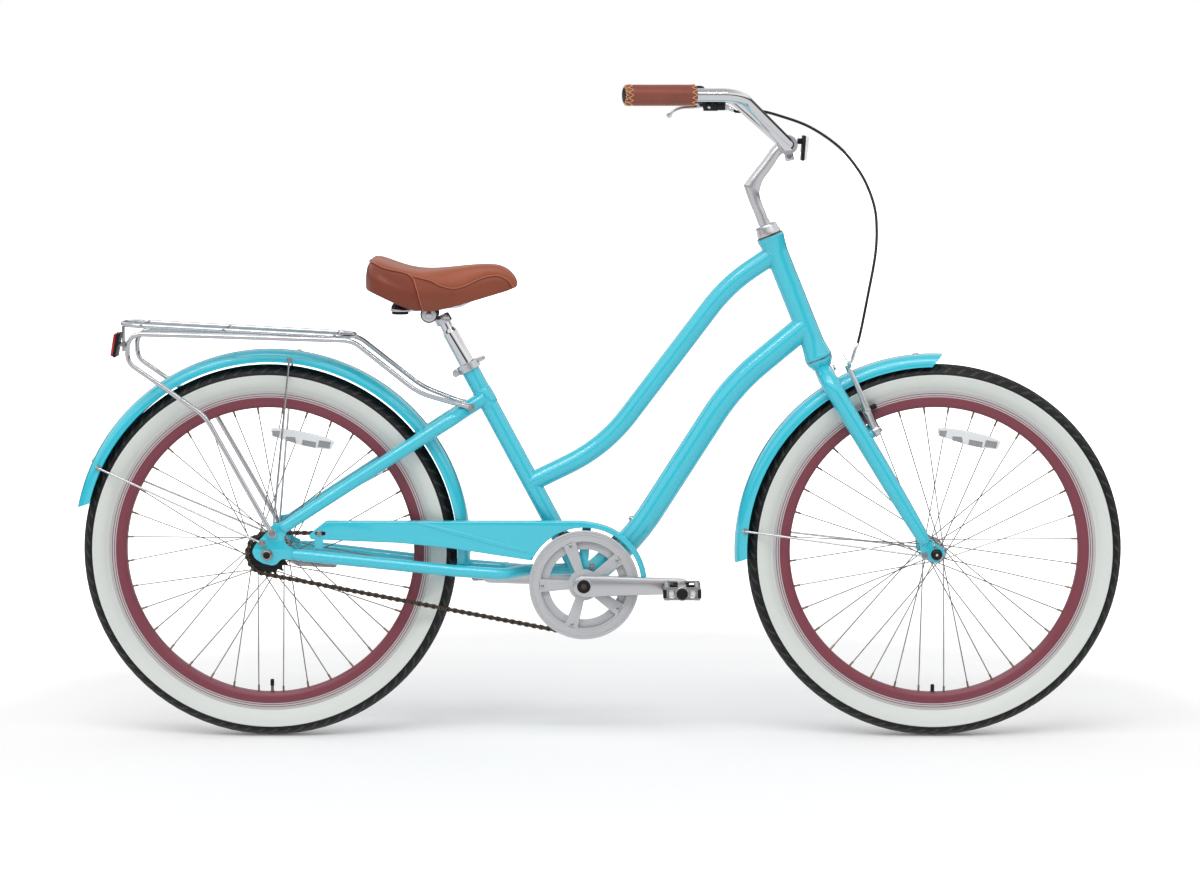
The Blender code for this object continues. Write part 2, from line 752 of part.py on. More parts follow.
def build_chainstays():
    yoke_path = [YOKE_START, YOKE_START + side_point(0.004, 0), YOKE_END]
    yoke = tube(
        "chainstay_yoke", FRAME, yoke_path, [YOKE_RADIUS * 0.6, YOKE_RADIUS, YOKE_RADIUS], "paint", 12
    )
    shell = sleeve_cutter(
        "bb_shell_for_yoke", across(BB, -BB_SHELL_WIDTH), across(BB, BB_SHELL_WIDTH), BB_SHELL_RADIUS
    )
    seat = sleeve_cutter(
        "seat_tube_for_yoke", BB - SEAT_UP * 0.03, BB + SEAT_UP * SEAT_TUBE_LENGTH, SEAT_TUBE_RADIUS
    )
    cut(yoke, shell, seat)
    for name, side in (("chainstay_right", RIGHT), ("chainstay_left", LEFT)):
        stay_end = across(YOKE_START + side_point(0.008, 0), side * 0.004)
        stay = tube(name, FRAME, chainstay_path(side)[:-1] + [stay_end], CHAINSTAY_RADIUS, "paint", 8)
        inner = rod(
            name + "_yoke_clearance",
            FRAME,
            YOKE_START - side_point(0.02, 0),
            YOKE_START + side_point(0.05, 0),
            YOKE_RADIUS + CLEARANCE,
            steps=16,
        )
        cut(stay, inner)


def seatstay_path(side):
    """Straight up past the tyre and the fender, then in to the middle in front of them."""
    start = across(SEATSTAY_START, side * DROPOUT_MID)
    end = BB + SEAT_UP * SEATSTAY_UP_SEAT
    beside_tyre = side_point(0.1362, REAR_AXLE.z + 0.1169, side * (SEATSTAY_SPREAD + 0.0060))
    past_fender = across(end - side_point(0.0563, 0.0347), side * SEATSTAY_SPREAD)
    joined = across(end - side_point(0.0336, 0.0215), side * 0.0100)
    meeting = across(end, side * 0.0080)
    return fillet([start, beside_tyre, past_fender, joined, meeting], [0, 0, 0.025, 0.02, 0], 2)


def seatstay_radii(path, grown=0.0):
    """The stays thicken from their feet up to the fender."""
    full = path[2].x
    share = [min((point.x - path[0].x) / (full - path[0].x), 1.0) for point in path]
    return [grown + SEATSTAY_FOOT_RADIUS + (SEATSTAY_RADIUS - SEATSTAY_FOOT_RADIUS) * part for part in share]


def build_seatstays():
    path, other_path = seatstay_path(RIGHT), seatstay_path(LEFT)
    stays = tube("seatstays", FRAME, path, seatstay_radii(path), "paint", 8)
    other = tube("seatstay_left_half", FRAME, other_path, seatstay_radii(other_path), None, 8)
    top = BB + SEAT_UP * SEATSTAY_UP_SEAT
    bridge_at = top - side_point(BRIDGE_BEHIND_TOP, BRIDGE_BELOW_TOP)
    bridge = rod(
        "seatstay_bridge",
        FRAME,
        across(bridge_at, -SEATSTAY_SPREAD + 0.004),
        across(bridge_at, SEATSTAY_SPREAD - 0.004),
        BRIDGE_RADIUS,
        steps=8,
    )
    seat = sleeve_cutter("seat_tube_for_seatstays", BB, BB + SEAT_UP * SEAT_TUBE_LENGTH, SEAT_TUBE_RADIUS)
    join(stays, other, bridge)
    cut(stays, seat)


# Wheels
def build_tyre(name, body, centre):
    """A tread that wraps round to two beads, open towards the rim."""
    half = TYRE_WIDTH / 2
    foot = RIM_RADIUS + CLEARANCE
    bulge = (WHEEL_RADIUS + foot) / 2 + 0.002
    rise = WHEEL_RADIUS - bulge
    outside = []
    for degrees in (90, 50, 5):
        angle = math.radians(degrees)
        outside.append((bulge + rise * math.sin(angle), half * math.cos(angle)))
    outside.append((foot, RIM_WIDTH / 2))
    inside = [(foot, TYRE_MOUTH / 2)]
    for degrees in (15, 65):
        angle = math.radians(degrees)
        inside.append((bulge + (rise - TYRE_WALL) * math.sin(angle), (half - TYRE_WALL) * math.cos(angle)))
    down = outside[::-1]
    right_half = [(radius, height) for radius, height in down]
    left_half = [(radius, -height) for radius, height in outside[1:]]
    inner_left = [(radius, -height) for radius, height in inside]
    inner_right = [(radius, height) for radius, height in inside[::-1]]
    turned(
        name,
        body,
        right_half + left_half + inner_left + inner_right,
        centre,
        ACROSS,
        "rubber",
        WHEEL_STEPS,
        True,
    )


def build_rim(name, body, centre):
    outer, bed, wall = RIM_WIDTH / 2, RIM_BED_WIDTH / 2, RIM_WALL
    profile = [
        (RIM_INNER_RADIUS, bed),
        (RIM_INNER_RADIUS + 0.007, outer),
        (RIM_RADIUS, outer),
        (RIM_RADIUS, outer - wall),
        (RIM_INNER_RADIUS + wall + 0.002, bed - 0.001),
        (RIM_INNER_RADIUS + wall + 0.002, -bed + 0.001),
        (RIM_RADIUS, -outer + wall),
        (RIM_RADIUS, -outer),
        (RIM_INNER_RADIUS + 0.007, -outer),
        (RIM_INNER_RADIUS, -bed),
    ]
    turned(name, body, profile, centre, ACROSS, "rim_paint", WHEEL_STEPS, True)


SPOKE_END_RADIUS = RIM_INNER_RADIUS * math.cos(math.pi / WHEEL_STEPS) - CLEARANCE


def spoke_mesh(centre, hole_radius, spread):
    """All the spokes of a wheel as thin three-sided rods, crossing as they are laced."""
    made = bmesh.new()
    per_side = SPOKES // 2
    step = 360 / per_side
    lean = SPOKE_CROSSES * step
    for side in (RIGHT, LEFT):
        for k in range(per_side):
            way = 1 if k % 2 else -1
            hub_angle = SPOKE_PHASE + step * k + step / 4 + (step / 2 if side == LEFT else 0)
            hub_y = side * (spread + way * FLANGE_THICKNESS * 0.6)
            hub = across(centre + direction(hub_angle) * hole_radius, hub_y)
            rim_place = centre + direction(hub_angle + way * lean) * (SPOKE_END_RADIUS)
            rim = across(rim_place, side * 0.003)
            along = rim - hub
            matrix = (
                Matrix.Translation((hub + rim) / 2)
                @ Vector((0, 0, 1)).rotation_difference(along).to_matrix().to_4x4()
            )
            bmesh.ops.create_cone(
                made,
                cap_ends=True,
                segments=3,
                radius1=SPOKE_RADIUS,
                radius2=SPOKE_RADIUS,
                depth=along.length,
                matrix=matrix,
            )
    mesh = bpy.data.meshes.new("spokes")
    made.to_mesh(mesh)
    made.free()
    return mesh


def build_hub(name, body, centre, profile, hole_radius, spread):
    hub = turned(name, body, profile, centre, ACROSS, "alloy", 10, closed=True)
    spokes = settle(place(name + "_spokes", spoke_mesh(centre, hole_radius, spread), body))
    join(hub, spokes)


def flange_steps(barrel, flange, spread, top):
    """Half of a hub's outer profile, from its end to the middle of the barrel."""
    half = FLANGE_THICKNESS / 2
    return [
        (top[0], top[1]),
        (top[0], spread + half + 0.001),
        (flange, spread + half),
        (flange, spread - half),
        (barrel, spread - half - 0.002),
    ]


def mirrored_profile(half, bore):
    """A closed hub profile: out along one end, down the outer side, and up the bore."""
    top = half[0][1]
    lower = [(radius, -height) for radius, height in half[::-1]]
    return [(bore, top), *half, *lower, (bore, -top)]


def build_front_wheel():
    build_tyre("front_tyre", FRONT_WHEEL, FRONT_AXLE)
    build_rim("front_rim", FRONT_WHEEL, FRONT_AXLE)
    end = FORK_DROPOUT_GAP / 2 - CLEARANCE
    half = flange_steps(FRONT_HUB_RADIUS, FRONT_FLANGE_RADIUS, FRONT_FLANGE_SPREAD, (0.008, end))
    profile = mirrored_profile(half, AXLE_RADIUS + RUNNING_CLEARANCE)
    build_hub("front_hub", FRONT_WHEEL, FRONT_AXLE, profile, FRONT_FLANGE_RADIUS - 0.003, FRONT_FLANGE_SPREAD)


DRIVER_INNER_END = REAR_FLANGE_SPREAD + FLANGE_THICKNESS + 0.003


def build_rear_wheel():
    build_tyre("rear_tyre", REAR_WHEEL, REAR_AXLE)
    build_rim("rear_rim", REAR_WHEEL, REAR_AXLE)
    bore = AXLE_RADIUS + RUNNING_CLEARANCE
    left_end = REAR_DROPOUT_GAP / 2 - CLEARANCE
    half = flange_steps(REAR_HUB_RADIUS, REAR_FLANGE_RADIUS, REAR_FLANGE_SPREAD, (0.018, DRIVER_INNER_END))
    right_half = [(radius, -height) for radius, height in half[::-1]]
    brake_cover = [(0.010, left_end - 0.007), (0.010, DRIVER_INNER_END + 0.004)]
    profile = [(bore, left_end - 0.007), *brake_cover, *half, *right_half, (bore, -DRIVER_INNER_END)]
    build_hub("rear_hub", REAR_WHEEL, REAR_AXLE, profile, REAR_FLANGE_RADIUS - 0.003, REAR_FLANGE_SPREAD)


def build_axle(name, body, centre, gap, thickness, cap_radius):
    """An axle through the hub and both dropouts, with a nut outside each."""
    face = gap / 2 + thickness + CLEARANCE
    nut = face + AXLE_NUT_HEIGHT
    half = [
        (0, nut + 0.006),
        (cap_radius * 0.6, nut + 0.005),
        (cap_radius, nut),
        (AXLE_NUT_RADIUS, nut),
        (AXLE_NUT_RADIUS, face),
        (AXLE_RADIUS, face),
    ]
    profile = half + [(radius, -height) for radius, height in half[::-1]]
    turned(name, body, profile, centre, ACROSS, "steel", 10)


# Drivetrain
def toothed_outline(centre, teeth, pitch_radius):
    points = []
    step = 360 / teeth
    for k in range(teeth):
        for share, radius in ((0.0, -0.0042), (0.5, 0.0032)):
            points.append(centre + direction((k + share) * step) * (pitch_radius + radius))
    return points


def loop_offset(offset, arc_steps=(8, 12)):
    """The chain's path round both sprockets, this far outside its pitch line."""
    gap = BB - REAR_AXLE
    distance = gap.length
    base = math.degrees(math.atan2(gap.z, gap.x))
    spread = math.degrees(math.acos((COG_RADIUS - RING_RADIUS) / distance))
    cog = circle(REAR_AXLE, COG_RADIUS + offset, arc_steps[0], base + spread, base + 360 - spread)
    front = circle(BB, RING_RADIUS + offset, arc_steps[1], base - spread, base + spread)
    return cog + front


def chain_runs():
    """The start and end of the chain's upper and lower straight runs."""
    loop = loop_offset(0, (2, 2))
    return (loop[0], loop[3]), (loop[1], loop[2])


def build_chain():
    half_height = CHAIN_HEIGHT / 2
    outer, inner = loop_offset(half_height), loop_offset(-half_height)
    near = CHAIN_LINE + CHAIN_SIDE_GAP / 2
    far = CHAIN_LINE - CHAIN_SIDE_GAP / 2
    chain = plate("chain", FRAME, outer, -near, -near - CHAIN_PLATE, "dark_steel", [inner])
    inside = plate("chain_inner_strip", FRAME, outer, -far, -far + CHAIN_PLATE, None, [inner])
    made = bmesh.new()
    for start, end in chain_runs():
        count = int((end - start).length / CHAIN_PITCH) - 3
        along = (end - start).normalized()
        for k in range(0, count, CHAIN_PIN_EVERY):
            centre = start + along * CHAIN_PITCH * (k + 2)
            bmesh.ops.create_cone(
                made,
                cap_ends=True,
                segments=6,
                radius1=CHAIN_PIN_RADIUS,
                radius2=CHAIN_PIN_RADIUS,
                depth=CHAIN_SIDE_GAP + CHAIN_PLATE,
                matrix=Matrix.Translation(across(centre, -CHAIN_LINE)) @ Matrix.Rotation(math.pi / 2, 4, "X"),
            )
    mesh = bpy.data.meshes.new("chain_pins")
    made.to_mesh(mesh)
    made.free()
    pins = settle(place("chain_pins", mesh, FRAME))
    join(chain, pins, inside)


def build_sprocket():
    half = SPROCKET_THICKNESS / 2
    sprocket = plate(
        "rear_sprocket",
        DRIVER,
        toothed_outline(REAR_AXLE, COG_TEETH, COG_RADIUS),
        -CHAIN_LINE - half,
        -CHAIN_LINE + half,
        "dark_steel",
        [circle(REAR_AXLE, 0.013, 12)],
    )
    outer_end = REAR_DROPOUT_GAP / 2 - 0.002
    sleeve = ring(
        "driver_sleeve",
        DRIVER,
        REAR_AXLE,
        -ACROSS,
        AXLE_RADIUS + RUNNING_CLEARANCE,
        0.016,
        DRIVER_INNER_END + CLEARANCE,
        outer_end,
        steps=12,
    )
    join(sprocket, sleeve)


def build_chainring():
    half = SPROCKET_THICKNESS / 2
    plate(
        "chainring",
        CRANKS,
        toothed_outline(BB, RING_TEETH, RING_RADIUS),
        -CHAIN_LINE - half,
        -CHAIN_LINE + half,
        "alloy",
        [circle(BB, RING_BORE_RADIUS, 20)],
    )


GUARD_DISC_INNER_FACE = CHAIN_LINE + CHAIN_SIDE_GAP / 2 + CHAIN_PLATE + 0.0012


def build_guard_disc():
    """The disc outside the chainring: a rim band on five arms that reach in to the crank's boss."""
    near, far = -GUARD_DISC_INNER_FACE, -GUARD_DISC_INNER_FACE - GUARD_DISC_THICKNESS
    band = GUARD_DISC_RADIUS - GUARD_DISC_RIM
    disc = plate(
        "chainring_guard",
        CRANKS,
        circle(BB, GUARD_DISC_RADIUS, 30),
        near,
        far,
        "alloy",
        [circle(BB, band, 20)],
    )
    for k in range(GUARD_ARMS):
        angle = GUARD_ARM_START + k * 360 / GUARD_ARMS
        middle = BB + direction(angle) * (CRANK_BOSS_RADIUS + band + 0.004) / 2
        arm = block(
            f"guard_arm_{k}",
            CRANKS,
            across(middle, (near + far) / 2),
            (band + 0.004 - CRANK_BOSS_RADIUS + 0.012, GUARD_DISC_THICKNESS, GUARD_ARM_WIDTH),
            turn=Matrix.Rotation(math.radians(-angle), 3, "Y"),
        )
        rivet_at = BB + direction(angle) * RIVET_CIRCLE
        rivet = rod(
            f"guard_rivet_{k}",
            CRANKS,
            across(rivet_at, -CHAIN_LINE - SPROCKET_THICKNESS / 2 - CLEARANCE),
            across(rivet_at, far + 0.0005),
            RIVET_RADIUS,
            steps=6,
        )
        join(disc, arm, rivet)
    hub = ring(
        "guard_hub",
        CRANKS,
        BB,
        ACROSS,
        CRANK_AXLE_RADIUS + 0.004 + CLEARANCE,
        CRANK_BOSS_RADIUS + 0.004,
        far,
        near,
        steps=16,
    )
    join(disc, hub)


def build_cranks():
    half = CRANK_INNER_FACE + CRANK_THICKNESS * 0.7
    rod("crank_axle", CRANKS, across(BB, -half), across(BB, half), CRANK_AXLE_RADIUS, "steel", 16)
    for name, side, way in (("crank_right", RIGHT, 1), ("crank_left", LEFT, -1)):
        inner = side * CRANK_INNER_FACE
        outer = side * (CRANK_INNER_FACE + CRANK_THICKNESS)
        eye = BB + side_point(way * CRANK_LENGTH, 0)
        big, small = CRANK_BOSS_RADIUS, CRANK_END_RADIUS
        lean = math.degrees(math.asin((big - small) / CRANK_LENGTH))
        if way > 0:
            outline = circle(BB, big, 11, 90 - lean, 270 + lean)
            outline += circle(eye, small, 9, -90 + lean, 90 - lean)
        else:
            outline = circle(BB, big, 11, -90 - lean, 90 + lean)
            outline += circle(eye, small, 9, 90 + lean, 270 - lean)
        crank = plate(name, CRANKS, outline, inner, outer, "alloy")
        boss_end = GUARD_DISC_INNER_FACE - 0.001
        boss = rod(
            name + "_boss", CRANKS, across(BB, side * boss_end), across(BB, side * (abs(outer) - 0.001)),
            CRANK_AXLE_RADIUS + 0.004, steps=16,
        )
        spindle_end = PEDAL_OUT + PEDAL_DEPTH - 0.006
        spindle = rod(
            name + "_pedal_spindle",
            CRANKS,
            across(eye, side * (PEDAL_OUT - 0.004)),
            across(eye, side * spindle_end),
            PEDAL_SPINDLE_RADIUS,
            steps=8,
        )
        bore = rod(
            name + "_bore",
            CRANKS,
            across(BB, side * (boss_end - 0.01)),
            across(BB, side * (half + CLEARANCE)),
            CRANK_AXLE_RADIUS + CLEARANCE,
            steps=16,
        )
        join(crank, boss, spindle)
        cut(crank, bore)
        build_pedal(name.replace("crank", "pedal"), side, eye)


def build_pedal(name, side, eye):
    """A barrel on the spindle between two end plates, with a block in front and one behind."""
    inner_end = PEDAL_OUT + 0.003
    outer_end = PEDAL_OUT + PEDAL_DEPTH
    body = PEDALS[side]
    middle = (inner_end + outer_end) / 2
    depth = outer_end - inner_end
    barrel = rod(
        name,
        body,
        across(eye, side * inner_end),
        across(eye, side * outer_end),
        PEDAL_BARREL_RADIUS,
        "black_plastic",
        10,
    )
    for k, way in enumerate((-1, 1)):
        side_block = block(
            f"{name}_block_{k}",
            body,
            across(eye + side_point(way * (PEDAL_LENGTH / 2 - 0.008), 0), side * middle),
            (0.016, depth, PEDAL_HEIGHT),
        )
        end_plate = block(
            f"{name}_plate_{k}",
            body,
            across(eye, side * (middle + way * (depth / 2 - 0.004))),
            (PEDAL_LENGTH - 0.012, 0.006, PEDAL_HEIGHT * 0.8),
        )
        join(barrel, side_block, end_plate)
    bore = rod(
        name + "_bore",
        body,
        across(eye, side * (inner_end - 0.01)),
        across(eye, side * (PEDAL_OUT + PEDAL_DEPTH - 0.005)),
        PEDAL_SPINDLE_RADIUS + RUNNING_CLEARANCE,
        steps=8,
    )
    cut(barrel, bore)


# Chain guard
CHAIN_GUARD_FACE = GUARD_DISC_INNER_FACE + GUARD_DISC_THICKNESS


def guard_outline(inset, drop):
    """The guard's side outline. The inset draws in its top and front, and the drop lowers its open edges."""
    top = BB.z + CHAIN_GUARD_TOP - inset
    outer = CHAIN_GUARD_OUTER - inset
    inner = CHAIN_GUARD_INNER - drop
    front_end = math.degrees(math.asin(0.0125 / CHAIN_GUARD_OUTER)) - (3 if drop else 0)
    lower_end = 155.0
    nose = CHAIN_GUARD_NOSE - (0.02 if drop else 0)
    points = [side_point(nose, REAR_AXLE.z + 0.033)]
    points.append(side_point(nose + 0.031, top))
    points.append(side_point(BB.x, top))
    points += circle(BB, outer, 12, 78, front_end)
    points += circle(BB, inner, 20, front_end, lower_end)
    low = drop
    points.append(side_point(BB.x - 0.0913, BB.z + 0.0425 - low))
    points.append(side_point(BB.x - 0.2340, BB.z + 0.0645 - low))
    points.append(side_point(BB.x - 0.3220, BB.z + 0.0735 - low))
    points.append(side_point(nose + 0.005, REAR_AXLE.z + 0.0255 - low))
    return points


def build_chain_guard():
    face = -CHAIN_GUARD_FACE
    guard = plate("chain_guard", FRAME, guard_outline(0, 0), face, face + CHAIN_GUARD_DEPTH, "paint")
    hollow = plate(
        "chain_guard_hollow",
        FRAME,
        guard_outline(CHAIN_GUARD_SHEET, 0.008),
        face + CHAIN_GUARD_SHEET,
        face + CHAIN_GUARD_DEPTH + 0.01,
    )
    cut(guard, hollow)
    tab_low = REAR_AXLE.z + 0.0085
    tab = block(
        "chain_guard_tab",
        FRAME,
        side_point(
            CHAIN_GUARD_NOSE + 0.019, (tab_low + REAR_AXLE.z + 0.035) / 2, face + CHAIN_GUARD_SHEET / 2
        ),
        (0.015, CHAIN_GUARD_SHEET * 0.8, REAR_AXLE.z + 0.035 - tab_low),
    )
    join(guard, tab, guard_bracket())


def guard_bracket():
    """A V-shaped plate behind the chainring that holds the front of the guard to the bottom bracket shell."""
    near = -BB_SHELL_WIDTH / 2 - CLEARANCE
    far = near - 0.002
    foot = BB_SHELL_RADIUS - 0.002 + CLEARANCE
    reach = CHAIN_GUARD_OUTER - CHAIN_GUARD_SHEET / 2
    outline = [BB + direction(angle) * foot for angle in (50, 70, 90, 110)]
    outline += [BB + direction(98) * 0.050]
    outline += [BB + direction(angle) * reach for angle in (90, 80)]
    outline += [BB + direction(72) * 0.058]
    outline += [BB + direction(angle) * reach for angle in (58, 48)]
    outline += [BB + direction(44) * 0.050]
    return plate("chain_guard_bracket", FRAME, outline, near, far)


# Fork and steering
def build_fork():
    crown = HEAD_BOTTOM - HEAD_UP * HEADSET_LIP
    steerer_top = HEAD_TOP + HEAD_UP * (HEADSET_LIP + HEADSET_NUT_HEIGHT * 0.7)
    fork = rod("fork", STEERING, crown - HEAD_UP * 0.01, steerer_top, STEERER_RADIUS, "paint", 14)
    race = turned(
        "fork_crown_race",
        STEERING,
        [
            (0, -CLEARANCE),
            (HEAD_FLARE_RADIUS - 0.001, -CLEARANCE),
            (HEAD_FLARE_RADIUS - 0.002, -0.006),
            (0.016, -0.016),
            (0, -0.016),
        ],
        crown,
        HEAD_UP,
        steps=16,
    )
    join(fork, race)
    meeting = crown - HEAD_UP * CROWN_DROP
    tip = FRONT_AXLE - BRAKE_OUT * BLADE_BEHIND_AXLE + BRAKE_UP * BLADE_TIP_UP
    shoulder = tip + BRAKE_UP * ((meeting - tip).dot(BRAKE_UP) - 0.014)
    tip_y = FORK_DROPOUT_GAP / 2 + DROPOUT_THICKNESS / 2
    for name, side in (("right", RIGHT), ("left", LEFT)):
        corners = [
            across(meeting, side * 0.006), across(shoulder, side * BLADE_SPREAD), across(tip, side * tip_y)
        ]
        path = fillet(corners, [0, BLADE_BEND, 0], 3)
        waist = path[-1].lerp(path[-2], 0.45)
        path.insert(-1, waist)
        radii = [BLADE_TOP_RADIUS] * (len(path) - 2) + [BLADE_TOP_RADIUS - 0.0006, BLADE_TIP_RADIUS]
        blade = tube(f"fork_blade_{name}", STEERING, path, radii, None, 10)
        near = side * FORK_DROPOUT_GAP / 2
        far = side * (FORK_DROPOUT_GAP / 2 + DROPOUT_THICKNESS)
        outline = (
            circle(tip, BLADE_TIP_RADIUS * 0.8, 4, 10, 100)
            + circle(FRONT_AXLE + side_point(-0.021, -0.003), 0.0065, 4, 150, 250)
            + circle(FRONT_AXLE, 0.0125, 9, -110, 50)
        )
        dropout = plate(f"fork_dropout_{name}", STEERING, outline, near, far)
        boss = rod(
            f"brake_boss_{name}",
            STEERING,
            across(BRAKE_ROOT, side * BRAKE_BOSS_OUT),
            across(BRAKE_ROOT + BRAKE_OUT * BRAKE_BOSS_LENGTH, side * BRAKE_BOSS_OUT),
            0.004,
            steps=6,
        )
        collar = rod(
            f"brake_collar_{name}",
            STEERING,
            across(BRAKE_ROOT, side * BRAKE_BOSS_OUT),
            across(BRAKE_ROOT + BRAKE_OUT * (BRAKE_ARM_NEAR - 0.001), side * BRAKE_BOSS_OUT),
            0.0075,
            steps=6,
        )
        join(fork, blade, dropout, collar, boss)
    quill = rod(
        "steerer_bore",
        STEERING,
        HEAD_TOP - HEAD_UP * (STEM_INSERT + 0.01),
        steerer_top + HEAD_UP * 0.02,
        STEM_RADIUS + CLEARANCE,
        steps=14,
    )
    axle_hole = rod(
        "front_axle_hole",
        STEERING,
        across(FRONT_AXLE, -0.07),
        across(FRONT_AXLE, 0.07),
        AXLE_RADIUS + CLEARANCE,
        steps=12,
    )
    cut(fork, quill, axle_hole)


def build_headset_nut():
    """The nut that holds the upper cup down, narrowing towards the stem."""
    base = HEAD_TOP + HEAD_UP * HEADSET_LIP
    profile = [
        (STEM_RADIUS + CLEARANCE, HEADSET_NUT_HEIGHT),
        (STEM_RADIUS + 0.0035, HEADSET_NUT_HEIGHT),
        (HEADSET_NUT_RADIUS * 0.9, HEADSET_NUT_HEIGHT * 0.72),
        (HEADSET_NUT_RADIUS, 0),
        (STEERER_RADIUS + CLEARANCE, 0),
        (STEERER_RADIUS + CLEARANCE, HEADSET_NUT_HEIGHT * 0.7 + CLEARANCE),
        (STEM_RADIUS + CLEARANCE, HEADSET_NUT_HEIGHT * 0.7 + CLEARANCE),
    ]
    turned("headset_nut", STEERING, profile, base, HEAD_UP, "alloy", 16, closed=True)


STEM_KNEE = HEAD_TOP + HEAD_UP * STEM_KNEE_UP
STEM_FORWARD = direction(STEM_REACH_ANGLE)
BAR_CENTRE = STEM_KNEE + STEM_FORWARD * STEM_REACH + direction(STEM_REACH_ANGLE - 90) * STEM_CLAMP_OUT


def build_stem():
    lower = tube(
        "stem",
        STEERING,
        [HEAD_TOP - HEAD_UP * STEM_INSERT, STEM_KNEE + HEAD_UP * 0.004],
        STEM_RADIUS,
        "alloy",
        14,
    )
    upper = tube(
        "stem_reach",
        STEERING,
        [STEM_KNEE - STEM_FORWARD * 0.0035, STEM_KNEE + STEM_FORWARD * STEM_REACH],
        STEM_RADIUS * 0.985,
        None,
        14,
    )
    half = STEM_CLAMP_WIDTH / 2
    clamp = rod(
        "stem_clamp",
        STEERING,
        across(BAR_CENTRE, -half),
        across(BAR_CENTRE, half),
        STEM_CLAMP_RADIUS,
        steps=16,
    )
    ears = block(
        "stem_clamp_ears",
        STEERING,
        BAR_CENTRE + direction(-80) * (STEM_CLAMP_RADIUS + 0.005),
        (0.016, STEM_CLAMP_WIDTH * 0.4, 0.020),
    )
    join(lower, upper, clamp, ears)
    bore = rod(
        "stem_bar_bore",
        STEERING,
        across(BAR_CENTRE, -STEM_CLAMP_WIDTH),
        across(BAR_CENTRE, STEM_CLAMP_WIDTH),
        BAR_RADIUS + CLEARANCE,
        steps=14,
    )
    cut(lower, bore)


BAR_TURN = BAR_CENTRE + Vector((-BAR_BEND_BACK, 0, BAR_RISE))
SWEEP = math.radians(GRIP_SWEEP)
GRIP_WAY = {
    side: Vector((-math.cos(SWEEP), side * math.sin(SWEEP), 0))
    for side in (RIGHT, LEFT)
}
GRIP_START = {
    side: across(BAR_TURN, side * BAR_BEND_OUT) + GRIP_WAY[side] * GRIP_FRONT
    for side in (RIGHT, LEFT)
}


def half_bar(side):
    end = GRIP_START[side] + GRIP_WAY[side] * (GRIP_LENGTH - 0.004)
    corners = [
        BAR_CENTRE, across(BAR_CENTRE, side * BAR_CENTRE_FLAT), across(BAR_TURN, side * BAR_BEND_OUT), end
    ]
    return fillet(corners, [0, BAR_BEND_RADIUS, BAR_BEND_RADIUS, 0], 3)


def build_handlebar():
    path = half_bar(RIGHT)[::-1] + half_bar(LEFT)[1:]
    tube("handlebar", STEERING, path, BAR_RADIUS, "chrome", 8)
    for name, side in (("grip_right", RIGHT), ("grip_left", LEFT)):
        bore = BAR_RADIUS + CLEARANCE
        profile = [
            (0, GRIP_LENGTH),
            (GRIP_RADIUS - 0.004, GRIP_LENGTH),
            (GRIP_RADIUS - 0.0005, GRIP_LENGTH - 0.004),
            (GRIP_RADIUS, GRIP_LENGTH - 0.012),
            (GRIP_RADIUS, 0.004),
            (GRIP_RADIUS - 0.002, 0),
            (bore, 0),
            (bore, GRIP_LENGTH - 0.004 + CLEARANCE),
            (0, GRIP_LENGTH - 0.004 + CLEARANCE),
        ]
        turned(name, STEERING, profile, GRIP_START[side], GRIP_WAY[side], "leather", 16)


# Brake lever, in the plane that leans outwards below the left grip
LEVER_DOWN = Vector((math.sin(SWEEP) * math.cos(math.radians(LEVER_TILT)),
                     math.cos(SWEEP) * math.cos(math.radians(LEVER_TILT)),
                     -math.sin(math.radians(LEVER_TILT))))
LEVER_CLAMP_AT = 0.018
LEVER_PIVOT_AT = 0.033
LEVER_PIVOT_OUT = 0.0235
LEVER_BODY_OUT = BAR_RADIUS + 0.0154
LEVER_BODY_DEPTH = 0.0135
LEVER_SLOT_DEPTH = 0.0080
LEVER_PIVOT = GRIP_START[LEFT] - GRIP_WAY[LEFT] * LEVER_PIVOT_AT + LEVER_DOWN * LEVER_PIVOT_OUT
LEVER_AXIS = LEVER_DOWN.cross(GRIP_WAY[LEFT]).normalized()
LEVER = make_body("brake_lever_axis", LEVER_PIVOT, STEERING)


def lever_point(back, out, lift=0.0):
    """A point this far behind the front end of the left grip, and this far out from the bar's axis."""
    return GRIP_START[LEFT] + GRIP_WAY[LEFT] * back + LEVER_DOWN * out + LEVER_AXIS * lift


def lever_frame():
    rows = Matrix((GRIP_WAY[LEFT], LEVER_AXIS, LEVER_DOWN))
    return rows.transposed()


